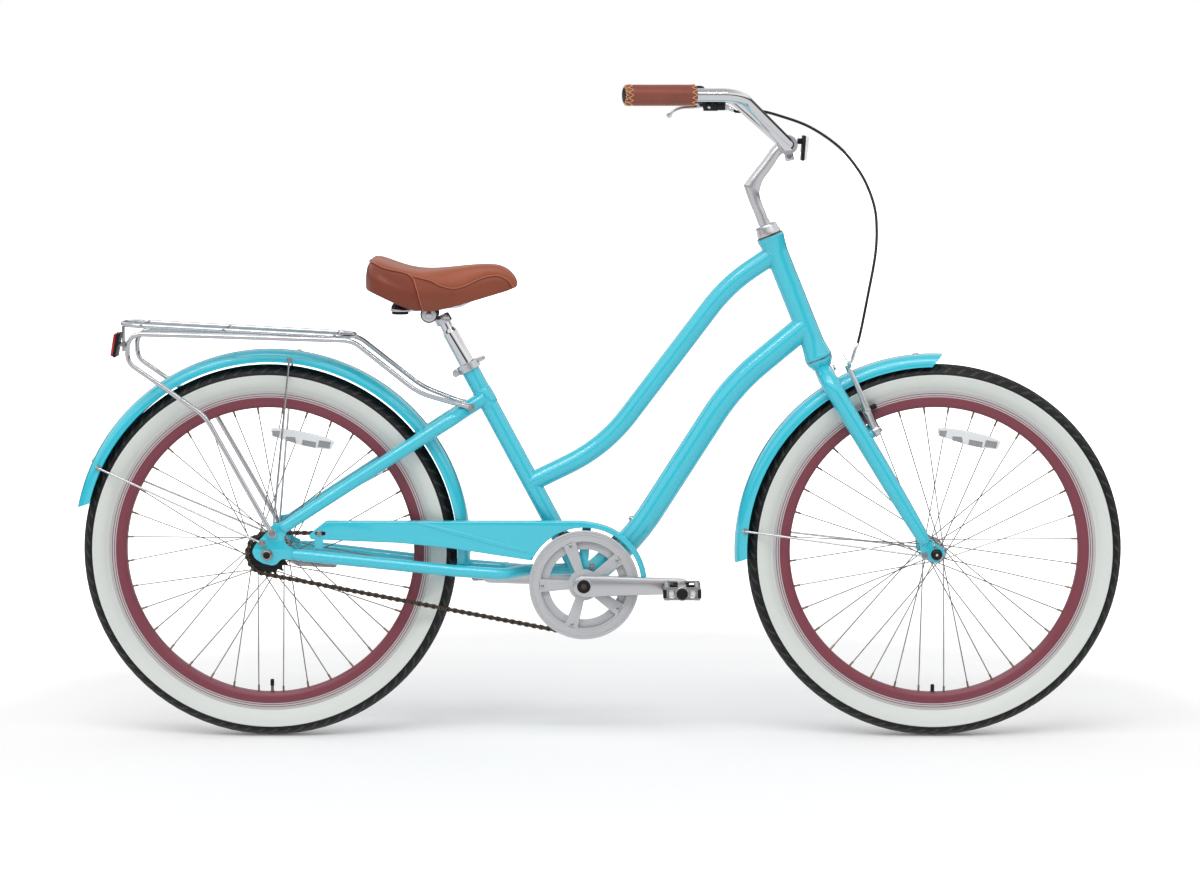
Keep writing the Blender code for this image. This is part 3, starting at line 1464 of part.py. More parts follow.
def build_lever():
    """A clamp round the bar with a slotted body in front of it, and the blade on a pin across the slot."""
    half = 0.0065
    clamp = ring(
        "brake_lever_bracket",
        STEERING,
        lever_point(-LEVER_CLAMP_AT, 0),
        GRIP_WAY[LEFT],
        BAR_RADIUS + CLEARANCE,
        BAR_RADIUS + 0.0045,
        -half,
        half,
        "black_plastic",
        14,
    )
    bridge = block(
        "brake_lever_bridge",
        STEERING,
        lever_point(-LEVER_CLAMP_AT - 0.004, BAR_RADIUS + 0.0055),
        (0.014, LEVER_BODY_DEPTH * 0.98, 0.0090),
        turn=lever_frame(),
    )
    body = block(
        "brake_lever_body",
        STEERING,
        lever_point(-LEVER_CLAMP_AT - 0.0215, LEVER_BODY_OUT),
        (0.046, LEVER_BODY_DEPTH, 0.016),
        turn=lever_frame(),
    )
    slot = block(
        "brake_lever_slot",
        STEERING,
        lever_point(-LEVER_PIVOT_AT + 0.0080, BAR_RADIUS + 0.0205),
        (0.033, LEVER_SLOT_DEPTH, 0.0300),
        turn=lever_frame(),
    )
    adjuster = rod(
        "brake_lever_adjuster", STEERING, lever_point(-0.060, 0.0265), ADJUSTER_END, 0.0045, steps=10
    )
    pin = rod(
        "brake_lever_pin",
        STEERING,
        LEVER_PIVOT - LEVER_AXIS * (LEVER_BODY_DEPTH / 2 - 0.0004),
        LEVER_PIVOT + LEVER_AXIS * (LEVER_BODY_DEPTH / 2 - 0.0004),
        0.0025,
        steps=10,
    )
    join(clamp, bridge, body, adjuster)
    cut(clamp, slot)
    join(clamp, pin)
    path = [
        lever_point(-LEVER_PIVOT_AT + 0.002, LEVER_PIVOT_OUT + 0.0002),
        lever_point(-LEVER_PIVOT_AT + 0.016, LEVER_PIVOT_OUT + 0.0015),
        lever_point(0.002, LEVER_PIVOT_OUT + 0.0040),
        lever_point(0.019, LEVER_PIVOT_OUT + 0.0055),
        lever_point(0.0350, LEVER_PIVOT_OUT + 0.0120),
        lever_point(0.0470, LEVER_PIVOT_OUT + 0.0245),
    ]
    blade = tube("brake_lever", LEVER, path, [0.0034, 0.0034, 0.0034, 0.0032, 0.0030, 0.0030], "alloy", 8)
    ball = turned(
        "brake_lever_ball",
        LEVER,
        [(0, 0.0048), (0.0034, 0.0034), (0.0048, 0), (0.0034, -0.0034), (0, -0.0048)],
        path[-1],
        ACROSS,
        steps=10,
    )
    hole = rod(
        "brake_lever_hole",
        LEVER,
        LEVER_PIVOT - LEVER_AXIS * 0.01,
        LEVER_PIVOT + LEVER_AXIS * 0.01,
        0.0025 + RUNNING_CLEARANCE,
        steps=10,
    )
    knuckle = block(
        "brake_lever_knuckle",
        LEVER,
        LEVER_PIVOT,
        (0.012, LEVER_SLOT_DEPTH - 2 * RUNNING_CLEARANCE, 0.0095),
        turn=lever_frame(),
    )
    join(blade, knuckle, ball)
    cut(blade, hole)


ADJUSTER_END = lever_point(-0.0755, 0.0355)


# Rim brake: arms on bosses in front of the fork blades
BRAKE_OUT = direction(90 - BLADE_ANGLE)
BRAKE_UP = direction(180 - BLADE_ANGLE)
BRAKE_ROOT = FRONT_AXLE - BRAKE_OUT * BLADE_BEHIND_AXLE + BRAKE_UP * BRAKE_BOSS_UP
BRAKE_ARM_NEAR = 0.0215
BRAKE_ARM_DEPTH = 0.010
BRAKE_MID = BRAKE_ARM_NEAR + BRAKE_ARM_DEPTH / 2
BRAKE_PIVOT = {
    side: across(BRAKE_ROOT + BRAKE_OUT * BRAKE_MID, side * BRAKE_BOSS_OUT)
    for side in (RIGHT, LEFT)
}
BRAKE_BODY = {
    side: make_body("brake_arm_axis_" + name, BRAKE_PIVOT[side], STEERING)
    for side, name in ((RIGHT, "right"), (LEFT, "left"))
}


def brake_point(side, up, out, ahead=0.0):
    """A point above the brake's pivot, this far from the centre plane, and ahead of the arm's middle."""
    return across(BRAKE_ROOT + BRAKE_OUT * (BRAKE_MID + ahead) + BRAKE_UP * up, side * out)


def build_brake_arm(name, side):
    body = BRAKE_BODY[side]
    barrel = ring(
        name,
        body,
        brake_point(side, 0, BRAKE_BOSS_OUT),
        BRAKE_OUT,
        0.004 + RUNNING_CLEARANCE,
        0.0085,
        -BRAKE_ARM_DEPTH / 2,
        BRAKE_ARM_DEPTH / 2,
        "alloy",
        12,
    )
    path = [
        brake_point(side, 0.006, BRAKE_BOSS_OUT + 0.001),
        brake_point(side, BRAKE_ARM_LENGTH * 0.30, BRAKE_BOSS_OUT + 0.003, BRAKE_ARM_LEAN * 0.35),
        brake_point(side, BRAKE_ARM_LENGTH * 0.68, BRAKE_BOSS_OUT + 0.001, BRAKE_ARM_LEAN * 0.75),
        brake_point(side, BRAKE_ARM_LENGTH, BRAKE_BOSS_OUT - 0.003, BRAKE_ARM_LEAN),
    ]
    arm = tube(name + "_lever", body, path, [0.0050, 0.0048, 0.0040, 0.0036], None, 6)
    rim_face = RIM_WIDTH / 2 + PAD_GAP
    track = RIM_RADIUS - 0.0070
    ahead = BRAKE_MID - BLADE_BEHIND_AXLE
    pad_up = math.sqrt(track**2 - ahead**2) - BRAKE_BOSS_UP
    pad_slope = 90 - BLADE_ANGLE - math.degrees(math.asin(ahead / track))
    pad = block(
        name + "_pad",
        body,
        brake_point(side, pad_up, rim_face + 0.0055),
        (0.046, 0.011, 0.009),
        turn=Matrix.Rotation(math.radians(-pad_slope), 3, "Y"),
    )
    post = rod(
        name + "_pad_post",
        body,
        brake_point(side, pad_up, rim_face + 0.009, BRAKE_ARM_LEAN * 0.3),
        brake_point(side, pad_up, BRAKE_BOSS_OUT + 0.010, BRAKE_ARM_LEAN * 0.3),
        0.0035,
        steps=6,
    )
    join(barrel, arm, pad, post)


def build_brake_cable():
    """Casing from the lever's adjuster to the noodle, and the wire across to the far arm, all in one."""
    top = BRAKE_ARM_LENGTH
    front = BRAKE_ARM_LEAN + 0.0036 + CLEARANCE + WIRE_RADIUS
    noodle = BRAKE_ARM_LEAN + 0.0045
    leaving = (ADJUSTER_END - lever_point(-0.060, 0.0265)).normalized()
    start = ADJUSTER_END + leaving * CLEARANCE
    route = [
        ADJUSTER_END + leaving * 0.008,
        side_point(0.866, 1.0977, 0.222),
        side_point(0.904, 1.0885, 0.192),
        side_point(0.955, 1.0690, 0.152),
        side_point(1.004, 1.0346, 0.110),
        side_point(1.0365, 0.9946, 0.080),
        side_point(1.0540, 0.9600, 0.061),
        side_point(1.0640, 0.9250, 0.045),
        side_point(1.0660, 0.8900, 0.031),
        side_point(1.0638, 0.8563, 0.018),
        side_point(1.0580, 0.8219, 0.007),
        side_point(1.0506, 0.7875, -0.004),
        side_point(1.0434, 0.7530, -0.013),
        side_point(1.0360, 0.7185, -0.021),
        side_point(1.0300, 0.6950, -0.027),
        brake_point(RIGHT, top + 0.018, BRAKE_BOSS_OUT - 0.007, noodle),
        brake_point(RIGHT, top + 0.0085, BRAKE_BOSS_OUT - 0.010, noodle),
        brake_point(RIGHT, top + 0.0035, BRAKE_BOSS_OUT - 0.020, noodle),
    ]
    points = [start, *smooth_route(route, CABLE_STEP)]
    cable = tube("brake_cable", STEERING, points, CABLE_RADIUS, "black_plastic", 6)
    wire = tube(
        "brake_wire",
        STEERING,
        [
            brake_point(RIGHT, top + 0.0040, BRAKE_BOSS_OUT - 0.017, noodle),
            brake_point(LEFT, top - 0.0010, BRAKE_BOSS_OUT - 0.003, front),
            brake_point(LEFT, top + 0.0220, BRAKE_BOSS_OUT + 0.003, front),
        ],
        WIRE_RADIUS,
        None,
        6,
    )
    join(cable, wire)


# Fenders
def build_fender(name, body, centre, radius, start, end, steps):
    """A curved strip: a rounded top with a straight skirt down each side."""
    half = FENDER_WIDTH / 2
    profile = [(radius - FENDER_SKIRT, half), (radius - 0.0075, half - 0.002), (radius, half - 0.017)]
    profile += [(place_of, -height) for place_of, height in profile[::-1]]
    mesh = bpy.data.meshes.new(name)
    made = bmesh.new()
    corners = [made.verts.new((place_of, 0, height)) for place_of, height in profile]
    for pair in zip(corners, corners[1:]):
        made.edges.new(pair)
    made.to_mesh(mesh)
    made.free()
    fender = place(name, mesh, body, "paint")
    screw = fender.modifiers.new("arc", "SCREW")
    screw.steps = steps
    screw.render_steps = steps
    screw.angle = math.radians(start - end)
    solid = fender.modifiers.new("sheet", "SOLIDIFY")
    solid.thickness = FENDER_THICKNESS
    solid.offset = 1
    solid.use_even_offset = True
    fender.rotation_mode = "QUATERNION"
    upright = Vector((0, 0, 1)).rotation_difference(ACROSS)
    turn = Matrix.Rotation(-math.radians(start), 3, "Y").to_quaternion()
    fender.rotation_quaternion = turn @ upright
    fender.location += centre
    return settle(fender)


def rear_fender_centre():
    return REAR_AXLE + side_point(*REAR_FENDER_SHIFT)


def front_fender_centre():
    return FRONT_AXLE + side_point(*FRONT_FENDER_SHIFT)


def build_fenders():
    build_fender(
        "rear_fender", FRAME, rear_fender_centre(), REAR_FENDER_RADIUS, REAR_FENDER_START, REAR_FENDER_END, 19
    )
    build_fender(
        "front_fender",
        STEERING,
        front_fender_centre(),
        FRONT_FENDER_RADIUS,
        FRONT_FENDER_START,
        FRONT_FENDER_END,
        11,
    )


def stay_with_eye(name, body, eye, edge, side, eye_y, look="chrome"):
    """A wire from an eye on a dropout bolt, straight past the dropout, then in to the side of a fender."""
    side_gap = FENDER_WIDTH / 2 + CLEARANCE + STAY_RADIUS
    start = across(eye, side * eye_y)
    end = across(edge, side * side_gap)
    clear = across(eye + (across(edge, 0) - across(eye, 0)).normalized() * 0.024, side * eye_y)
    wire = tube(name, body, fillet([start, clear, end], [0, 0.05, 0], 2), STAY_RADIUS, look, 6)
    flat = rod(
        name + "_eye",
        body,
        across(eye, side * (eye_y - STAY_RADIUS * 0.9)),
        across(eye, side * (eye_y + STAY_RADIUS * 0.9)),
        0.0062,
        steps=8,
    )
    return join(wire, flat)


REAR_STAY_EYE = REAR_AXLE + side_point(-0.0075, 0.0205)
RACK_EYE = REAR_AXLE + side_point(0.0100, 0.0385)
FRONT_STAY_EYE = FRONT_AXLE + side_point(-0.0210, -0.0030)


def on_arc(centre, radius, degrees):
    return centre + direction(degrees) * radius


def build_stays():
    outer = REAR_DROPOUT_GAP / 2 + DROPOUT_THICKNESS + CLEARANCE + STAY_RADIUS
    inner = REAR_DROPOUT_GAP / 2 - CLEARANCE - STAY_RADIUS
    fork_outer = FORK_DROPOUT_GAP / 2 + DROPOUT_THICKNESS + CLEARANCE + STAY_RADIUS
    edge = REAR_FENDER_RADIUS - FENDER_SKIRT * 0.75
    rear, front = rear_fender_centre(), front_fender_centre()
    front_edge = on_arc(front, FRONT_FENDER_RADIUS - FENDER_SKIRT * 0.75, 173.6)
    for name, side in (("right", RIGHT), ("left", LEFT)):
        stay_with_eye(
            f"rear_fender_stay_{name}", FRAME, REAR_STAY_EYE, on_arc(rear, edge, 154.7), side, outer
        )
        stay_with_eye(f"rear_fender_brace_{name}", FRAME, RACK_EYE, on_arc(rear, edge, 83.8), side, inner)
        stay_with_eye(f"front_fender_stay_{name}", STEERING, FRONT_STAY_EYE, front_edge, side, fork_outer)


# Rack
RACK_TAB = BB + SEAT_UP * SEATSTAY_UP_SEAT + side_point(-0.0233, -0.0157)
RACK_TOP = REAR_AXLE.z + RACK_HEIGHT


def rack_side_path(side):
    """One tube: from its tab at the seat tube, along the platform, round the tail and down to the dropout."""
    spread = side * RACK_SPREAD
    foot = side * (REAR_DROPOUT_GAP / 2 + DROPOUT_THICKNESS + CLEARANCE + RACK_TUBE_RADIUS)
    corners = [
        across(RACK_TAB, side * 0.0290),
        across(RACK_TAB + side_point(-0.030, 0.0085), side * 0.0350),
        across(RACK_TAB + side_point(-0.090, 0.0290), side * 0.0620),
        side_point(RACK_FRONT, RACK_TOP, spread),
        side_point(-0.112, RACK_TOP + 0.0085, spread),
        side_point(RACK_TAIL, RACK_TOP + 0.0118, spread),
        side_point(RACK_TAIL, RACK_TOP - RACK_TAIL_DROP + 0.0118, spread),
        side_point(-0.1050, RACK_TOP - 0.1320, spread),
        across(RACK_EYE + side_point(-0.010, 0.016), foot),
        across(RACK_EYE, foot),
    ]
    return fillet(corners, [0, 0, 0.08, 0.05, 0, 0.028, 0.027, 0.08, 0, 0], 2)


RACK_LOOP_LIFT = 0.0085
RACK_LOOP_RISE = 0.0270


def rack_loop_path():
    """The platform loop, a closed round-cornered frame that rises a little towards the tail."""
    front = side_point(RACK_FRONT - 0.002, RACK_TOP + 0.0010 + RACK_LOOP_LIFT / 2)
    rear = side_point(RACK_TAIL - 0.0133, RACK_TOP + RACK_LOOP_RISE)
    spread = RACK_LOOP_SPREAD
    corners = [across(front, spread), across(rear, spread), across(rear, -spread), across(front, -spread)]
    return fillet(corners, [0.035] * 4, 2, closed=True)


def rack_height(x):
    """How high the side tubes run on the platform at this place."""
    share = (RACK_FRONT - x) / (RACK_FRONT - RACK_TAIL)
    return RACK_TOP + share * 0.0215


def build_rack():
    rack = tube("rear_rack", FRAME, rack_side_path(RIGHT), RACK_TUBE_RADIUS, "chrome", 6)
    other = tube("rack_side_left", FRAME, rack_side_path(LEFT), RACK_TUBE_RADIUS, None, 6)
    loop_points = rack_loop_path()
    half_way = len(loop_points) // 2
    loop_a = tube("rack_loop_rear", FRAME, [*loop_points[: half_way + 1]], RACK_TUBE_RADIUS, None, 6)
    loop_b = tube("rack_loop_front", FRAME, [*loop_points[half_way - 1 :], loop_points[0], loop_points[1]],
                  RACK_TUBE_RADIUS, None, 6)
    join(rack, other, loop_a, loop_b)
    for k, x in enumerate((0.120, -0.072, -0.215)):
        height = rack_height(x) + RACK_LOOP_LIFT / 2
        bar = rod(
            f"rack_cross_{k}",
            FRAME,
            side_point(x, height, -RACK_SPREAD),
            side_point(x, height, RACK_SPREAD),
            RACK_TUBE_RADIUS * 0.85,
            steps=6,
        )
        join(rack, bar)
    foot_near = REAR_DROPOUT_GAP / 2 + DROPOUT_THICKNESS + CLEARANCE
    for side in (RIGHT, LEFT):
        foot = rod(
            f"rack_foot_{side}",
            FRAME,
            across(RACK_EYE, side * foot_near),
            across(RACK_EYE, side * (foot_near + 0.004)),
            0.0075,
            steps=6,
        )
        tab = rod(
            f"rack_tab_{side}",
            FRAME,
            across(RACK_TAB, side * 0.017),
            across(RACK_TAB, side * 0.0315),
            0.0065,
            steps=8,
        )
        join(rack, foot, tab)
        path = seatstay_path(side)
        stay = tube(f"seatstay_for_rack_{side}", FRAME, path, seatstay_radii(path, CLEARANCE), None, 8)
        cut(rack, stay)
    return rack


REFLECTOR_AT = side_point(RACK_TAIL - 0.0280, RACK_TOP - 0.0108)


def build_rear_reflector():
    """A lens in a housing that leans forward, on a plate that hangs from the rack's rear loop."""
    tilt = Matrix.Rotation(math.radians(REFLECTOR_TILT), 3, "Y")
    housing = block(
        "rear_reflector",
        FRAME,
        REFLECTOR_AT,
        (REFLECTOR_DEPTH, REFLECTOR_WIDTH, REFLECTOR_HEIGHT),
        "red_plastic",
        turn=tilt,
        bevel=0.002,
    )
    plate_top = RACK_TOP + RACK_LOOP_RISE - RACK_TUBE_RADIUS - CLEARANCE
    plate_foot = REFLECTOR_AT.z - 0.012
    plate_at = RACK_TAIL - 0.0152
    bracket = block(
        "rear_reflector_plate",
        FRAME,
        side_point(plate_at, (plate_top + plate_foot) / 2),
        (0.0030, 0.022, plate_top - plate_foot),
    )
    link = block(
        "rear_reflector_link",
        FRAME,
        side_point((REFLECTOR_AT.x + plate_at) / 2, REFLECTOR_AT.z),
        (plate_at - REFLECTOR_AT.x, 0.012, 0.010),
    )
    join(housing, bracket, link)


# Seat clamp, seatpost and saddle
def build_seat_clamp():
    top = BB + SEAT_UP * SEAT_TUBE_LENGTH
    inner = SEAT_TUBE_RADIUS + CLEARANCE
    outer = SEAT_TUBE_RADIUS + CLAMP_WALL
    band = ring(
        "seat_clamp", FRAME, top, SEAT_UP, inner, outer, -CLAMP_BAND + 0.001, 0.001, "alloy", 18
    )
    back = -direction(90 - SEAT_TUBE_ANGLE)
    middle = top + SEAT_UP * (0.001 - CLAMP_BAND / 2)
    turn = Matrix.Rotation(math.radians(SEAT_TUBE_ANGLE - 90), 3, "Y")
    lug = block(
        "seat_clamp_lug",
        FRAME,
        middle + back * (outer + 0.004),
        (0.013, 0.018, CLAMP_BAND * 0.86),
        turn=turn,
    )
    bolt = rod(
        "seat_clamp_bolt",
        FRAME,
        across(middle + back * (outer + 0.005), -0.016),
        across(middle + back * (outer + 0.005), 0.016),
        0.0040,
        steps=8,
    )
    tail = block(
        "seat_clamp_tail",
        FRAME,
        middle - back * (outer + 0.0065) + SEAT_UP * 0.0020,
        (0.016, 0.009, 0.0095),
        turn=turn,
    )
    join(band, lug, bolt, tail)


def build_seatpost():
    bottom = SEATPOST_TOP - SEAT_UP * (SEATPOST_SHOWN + SEATPOST_INSERT)
    length = SEATPOST_SHOWN + SEATPOST_INSERT
    profile = [
        (0, length + 0.004),
        (SEATPOST_NECK_RADIUS, length + 0.004),
        (SEATPOST_NECK_RADIUS, length - SEATPOST_NECK),
        (SEATPOST_RADIUS, length - SEATPOST_NECK - 0.006),
        (SEATPOST_RADIUS, 0),
        (0, 0),
    ]
    turned("seatpost", SEAT_SLIDE, profile, bottom, SEAT_UP, "chrome", 16)


CLAMP_DISC_RADIUS = 0.0150
RAIL_AT = SEATPOST_TOP + side_point(-0.0208, 0.0065)


def build_saddle_clamp():
    """A collar round the top of the post, and behind it two jaws that hold the rails on one cross bolt."""
    gap = CLEARANCE
    collar = ring(
        "saddle_clamp",
        SEAT_SLIDE,
        SEATPOST_TOP,
        SEAT_UP,
        SEATPOST_NECK_RADIUS + gap,
        SEATPOST_NECK_RADIUS + 0.0035,
        -0.0120,
        0.003,
        "alloy",
        16,
    )
    neck = block(
        "saddle_clamp_neck",
        SEAT_SLIDE,
        (RAIL_AT + SEATPOST_TOP) / 2 + side_point(-0.0040, -0.0010),
        (0.014, 0.021, 0.013),
    )
    barrel = rod(
        "saddle_clamp_barrel", SEAT_SLIDE, across(RAIL_AT, -0.034), across(RAIL_AT, 0.034), 0.0075, steps=8
    )
    join(collar, neck, barrel)
    for side in (RIGHT, LEFT):
        jaw = rod(
            f"saddle_jaw_{side}",
            SEAT_SLIDE,
            across(RAIL_AT, side * (RAIL_SPREAD - 0.008)),
            across(RAIL_AT, side * (RAIL_SPREAD + 0.008)),
            CLAMP_DISC_RADIUS,
            steps=14,
        )
        join(collar, jaw)
        groove = tube(f"rail_groove_{side}", SEAT_SLIDE, rail_path(side), RAIL_RADIUS + CLEARANCE, None, 6)
        cut(collar, groove)
    neck_clear = rod(
        "saddle_clamp_bore",
        SEAT_SLIDE,
        SEATPOST_TOP - SEAT_UP * 0.05,
        SEATPOST_TOP + SEAT_UP * 0.05,
        SEATPOST_NECK_RADIUS + gap,
        steps=16,
    )
    cut(collar, neck_clear)


# Saddle cover, from the rear to the nose: ahead of the seatpost's top, top above it, underside above it,
# and share of the half width
SADDLE_SHAPE = (
    (-0.1303, 0.0777, 0.0542, 0.40),
    (-0.1253, 0.1052, 0.0497, 0.72),
    (-0.1093, 0.1102, 0.0439, 0.93),
    (-0.0793, 0.0975, 0.0299, 1.00),
    (-0.0443, 0.0872, 0.0135, 0.90),
    (-0.0093, 0.0862, 0.0112, 0.62),
    (0.0257, 0.0897, 0.0197, 0.42),
    (0.0657, 0.0938, 0.0307, 0.32),
    (0.1037, 0.0942, 0.0422, 0.275),
    (0.1257, 0.0785, 0.0487, 0.20),
    (0.1332, 0.0617, 0.0537, 0.10),
)
SADDLE_STATIONS = [
    (SEATPOST_TOP.x + ahead, SEATPOST_TOP.z + top, SEATPOST_TOP.z + under, share)
    for ahead, top, under, share in SADDLE_SHAPE
]


def saddle_top(x):
    for first, second in zip(SADDLE_STATIONS, SADDLE_STATIONS[1:]):
        if first[0] <= x <= second[0]:
            share = (x - first[0]) / (second[0] - first[0])
            return first[1] + (second[1] - first[1]) * share
    return SADDLE_STATIONS[-1][1]


def rail_path(side):
    """A rail: down from the rear of the base, forward past the clamp, and up under the nose."""
    y = side * RAIL_SPREAD
    rear_end, front_end = SEATPOST_TOP.x - 0.0983, SEATPOST_TOP.x + 0.0887
    corners = [
        side_point(rear_end, saddle_top(rear_end) - SADDLE_PADDING - 0.0035, side * 0.045),
        SEATPOST_TOP + side_point(-0.0685, 0.0140, side * 0.034),
        SEATPOST_TOP + side_point(-0.0423, 0.0150, y),
        SEATPOST_TOP + side_point(0.0330, 0.0215, y),
        side_point(front_end, saddle_top(front_end) - SADDLE_PADDING - 0.0035, side * 0.009),
    ]
    return fillet(corners, [0, 0.014, 0.03, 0.03, 0], 2)


BUMPER_AT = SEATPOST_TOP + side_point(-0.0685, 0.0090)


def build_saddle_rails():
    """Two rails with a bar across each end, and the two bumpers below the rear of the base."""
    rails = tube("saddle_rails", SEAT_SLIDE, rail_path(RIGHT), RAIL_RADIUS, "steel", 6)
    other = tube("saddle_rail_left", SEAT_SLIDE, rail_path(LEFT), RAIL_RADIUS, None, 6)
    nose_x = SEATPOST_TOP.x + 0.0837
    nose_z = saddle_top(nose_x) - SADDLE_PADDING - 0.0085
    nose = rod(
        "saddle_rail_nose",
        SEAT_SLIDE,
        side_point(nose_x, nose_z, -0.013),
        side_point(nose_x, nose_z, 0.013),
        0.0042,
        steps=6,
    )
    tail = rod(
        "saddle_rail_tail",
        SEAT_SLIDE,
        BUMPER_AT + side_point(0, 0.0060, -BUMPER_SPREAD),
        BUMPER_AT + side_point(0, 0.0060, BUMPER_SPREAD),
        0.0033,
        steps=6,
    )
    join(rails, other, nose, tail)
    for side in (RIGHT, LEFT):
        bumper = turned(
            f"saddle_bumper_{side}",
            SEAT_SLIDE,
            [
                (0, 0.0410),
                (0.0100, 0.0410),
                (0.0120, 0.0190),
                (BUMPER_RADIUS, 0.0160),
                (BUMPER_RADIUS, 0),
                (0, 0),
            ],
            across(BUMPER_AT, side * BUMPER_SPREAD),
            Vector((0, 0, 1)),
            steps=12,
        )
        join(rails, bumper)
    cut(rails, base_shell("base_for_rails", None, CLEARANCE))


def loft(name, body, rings, look, levels):
    """Closed rings of equal count, skinned with quads, capped, and subdivided."""
    mesh = bpy.data.meshes.new(name)
    made = bmesh.new()
    loops = [[made.verts.new(point) for point in ring_points] for ring_points in rings]
    for first, second in zip(loops, loops[1:]):
        for k in range(len(first)):
            after = (k + 1) % len(first)
            made.faces.new((first[k], first[after], second[after], second[k]))
    made.faces.new(loops[0][::-1])
    made.faces.new(loops[-1])
    bmesh.ops.recalc_face_normals(made, faces=made.faces)
    made.to_mesh(mesh)
    made.free()
    obj = place(name, mesh, body, look)
    if levels:
        subdivision = obj.modifiers.new("soften", "SUBSURF")
        subdivision.levels = levels
        subdivision.render_levels = levels
    return settle(obj)


def recess_of(x, top, under, share):
    """How wide and how high the hollow under the cover is at this station."""
    half = SADDLE_WIDTH / 2 * share
    wall = min(0.010, half * 0.3)
    return half * 0.92 - wall, max(top - SADDLE_PADDING, under + 0.001)


def cover_ring(x, top, under, share):
    """A section of the cover: a crowned top, sides drawn in below, and a hollow underneath."""
    half = SADDLE_WIDTH / 2 * share
    edge, roof = recess_of(x, top, under, share)
    height = top - under
    shape = [
        (0.00, top),
        (0.62 * half, top - 0.007 * share - 0.02 * height),
        (1.00 * half, under + 0.38 * height),
        (0.95 * half, under),
        (edge + 0.03 * half, under),
        (edge, roof),
        (edge * 0.80, roof),
    ]
    right = [Vector((x, -y, z)) for y, z in shape]
    left = [Vector((x, y, z)) for y, z in shape[::-1][:-1]]
    return [*right, *left]


def base_shell(name, look, grown=0.0):
    """The base shell under the padding, set a little way into the cover. A grown one cuts its own place."""
    rings = []
    for x, top, under, share in SADDLE_STATIONS[2:-2]:
        edge, roof = recess_of(x, top, under, share)
        side = edge - 0.003 + grown
        high = roof + 0.0015 + grown
        low = roof + 0.0015 - SADDLE_BASE_THICKNESS - grown
        along = x
        if (x, top, under, share) == SADDLE_STATIONS[2]:
            along = x + 0.004 - grown
        if (x, top, under, share) == SADDLE_STATIONS[-3]:
            along = x + 0.004 + grown
        shape = [(0.0, high), (side * 0.7, high), (side, high - 0.0015), (side, low), (0.0, low)]
        right = [Vector((along, -y, z)) for y, z in shape]
        left = [Vector((along, y, z)) for y, z in shape[::-1][1:-1]]
        rings.append([*right, *left])
    return loft(name, SEAT_SLIDE, rings, look, 0)


def build_saddle():
    cover = loft(
        "saddle_cover", SEAT_SLIDE, [cover_ring(*station) for station in SADDLE_STATIONS], "leather", 1
    )
    base_shell("saddle_base", "black_plastic")
    cut(cover, base_shell("base_for_cover", None, CLEARANCE))


# Small fittings
def build_coaster_arm():
    """The brake's reaction arm, from the axle to a strap under the left chainstay."""
    near = REAR_DROPOUT_GAP / 2 - CLEARANCE
    far = near - 0.0035
    elbow = REAR_AXLE + side_point(0.045, -0.0290)
    end = REAR_AXLE + side_point(0.106, -0.0330)
    outline = circle(REAR_AXLE, 0.0125, 11, 40, 235) + [elbow + side_point(-0.003, -0.007)]
    outline += circle(end, 0.006, 7, -95, 95) + [elbow + side_point(0.002, 0.007)]
    arm = plate("coaster_brake_arm", FRAME, outline, near, far, "steel")
    hole = rod(
        "coaster_arm_hole",
        FRAME,
        across(REAR_AXLE, far - 0.01),
        across(REAR_AXLE, near + 0.01),
        AXLE_RADIUS + CLEARANCE,
        steps=12,
    )
    cut(arm, hole)


def build_front_reflector():
    """A clear lens in a dark housing, on a bracket that clamps in front of the stem."""
    tilt = Matrix.Rotation(math.radians(4), 3, "Y")
    lens = block(
        "front_reflector",
        STEERING,
        BAR_CENTRE + side_point(0.0300, -0.0060),
        (0.010, 0.050, 0.044),
        "clear_plastic",
        turn=tilt,
        bevel=0.002,
    )
    arm = block(
        "front_reflector_arm",
        STEERING,
        BAR_CENTRE + side_point((STEM_CLAMP_RADIUS + CLEARANCE + 0.028) / 2, 0.006),
        (0.028 - STEM_CLAMP_RADIUS - CLEARANCE, 0.014, 0.010),
    )
    join(lens, arm)


build_seat_tube()
build_bottom_bracket()
build_head_tube()
build_headset()
build_top_tube()
build_down_tube()
build_dropout("dropout_right", RIGHT)
build_dropout("dropout_left", LEFT)
build_chainstays()
build_seatstays()
build_front_wheel()
build_rear_wheel()
build_axle("rear_axle", FRAME, REAR_AXLE, REAR_DROPOUT_GAP, DROPOUT_THICKNESS, AXLE_RADIUS)
build_axle("front_axle", STEERING, FRONT_AXLE, FORK_DROPOUT_GAP, DROPOUT_THICKNESS, AXLE_CAP_RADIUS)
build_chain()
build_sprocket()
build_chainring()
build_guard_disc()
build_cranks()
build_chain_guard()
build_fork()
build_headset_nut()
build_stem()
build_handlebar()
build_lever()
build_brake_arm("brake_arm_right", RIGHT)
build_brake_arm("brake_arm_left", LEFT)
build_brake_cable()
build_fenders()
build_stays()
build_rack()
build_rear_reflector()
build_seat_clamp()
build_seatpost()
build_saddle_clamp()
build_saddle_rails()
build_saddle()
build_coaster_arm()
build_front_reflector()
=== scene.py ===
"""The looks of a step-through hybrid bike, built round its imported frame. Metres, +X forward, +Y left, +Z up.

Places along X are measured from the rear axle, as at(x, z, y). The drive side faces the camera, at -Y."""

import json
import math

import bmesh
import bpy
from mathutils import Matrix, Vector
from mathutils.bvhtree import BVHTree
from mathutils.kdtree import KDTree


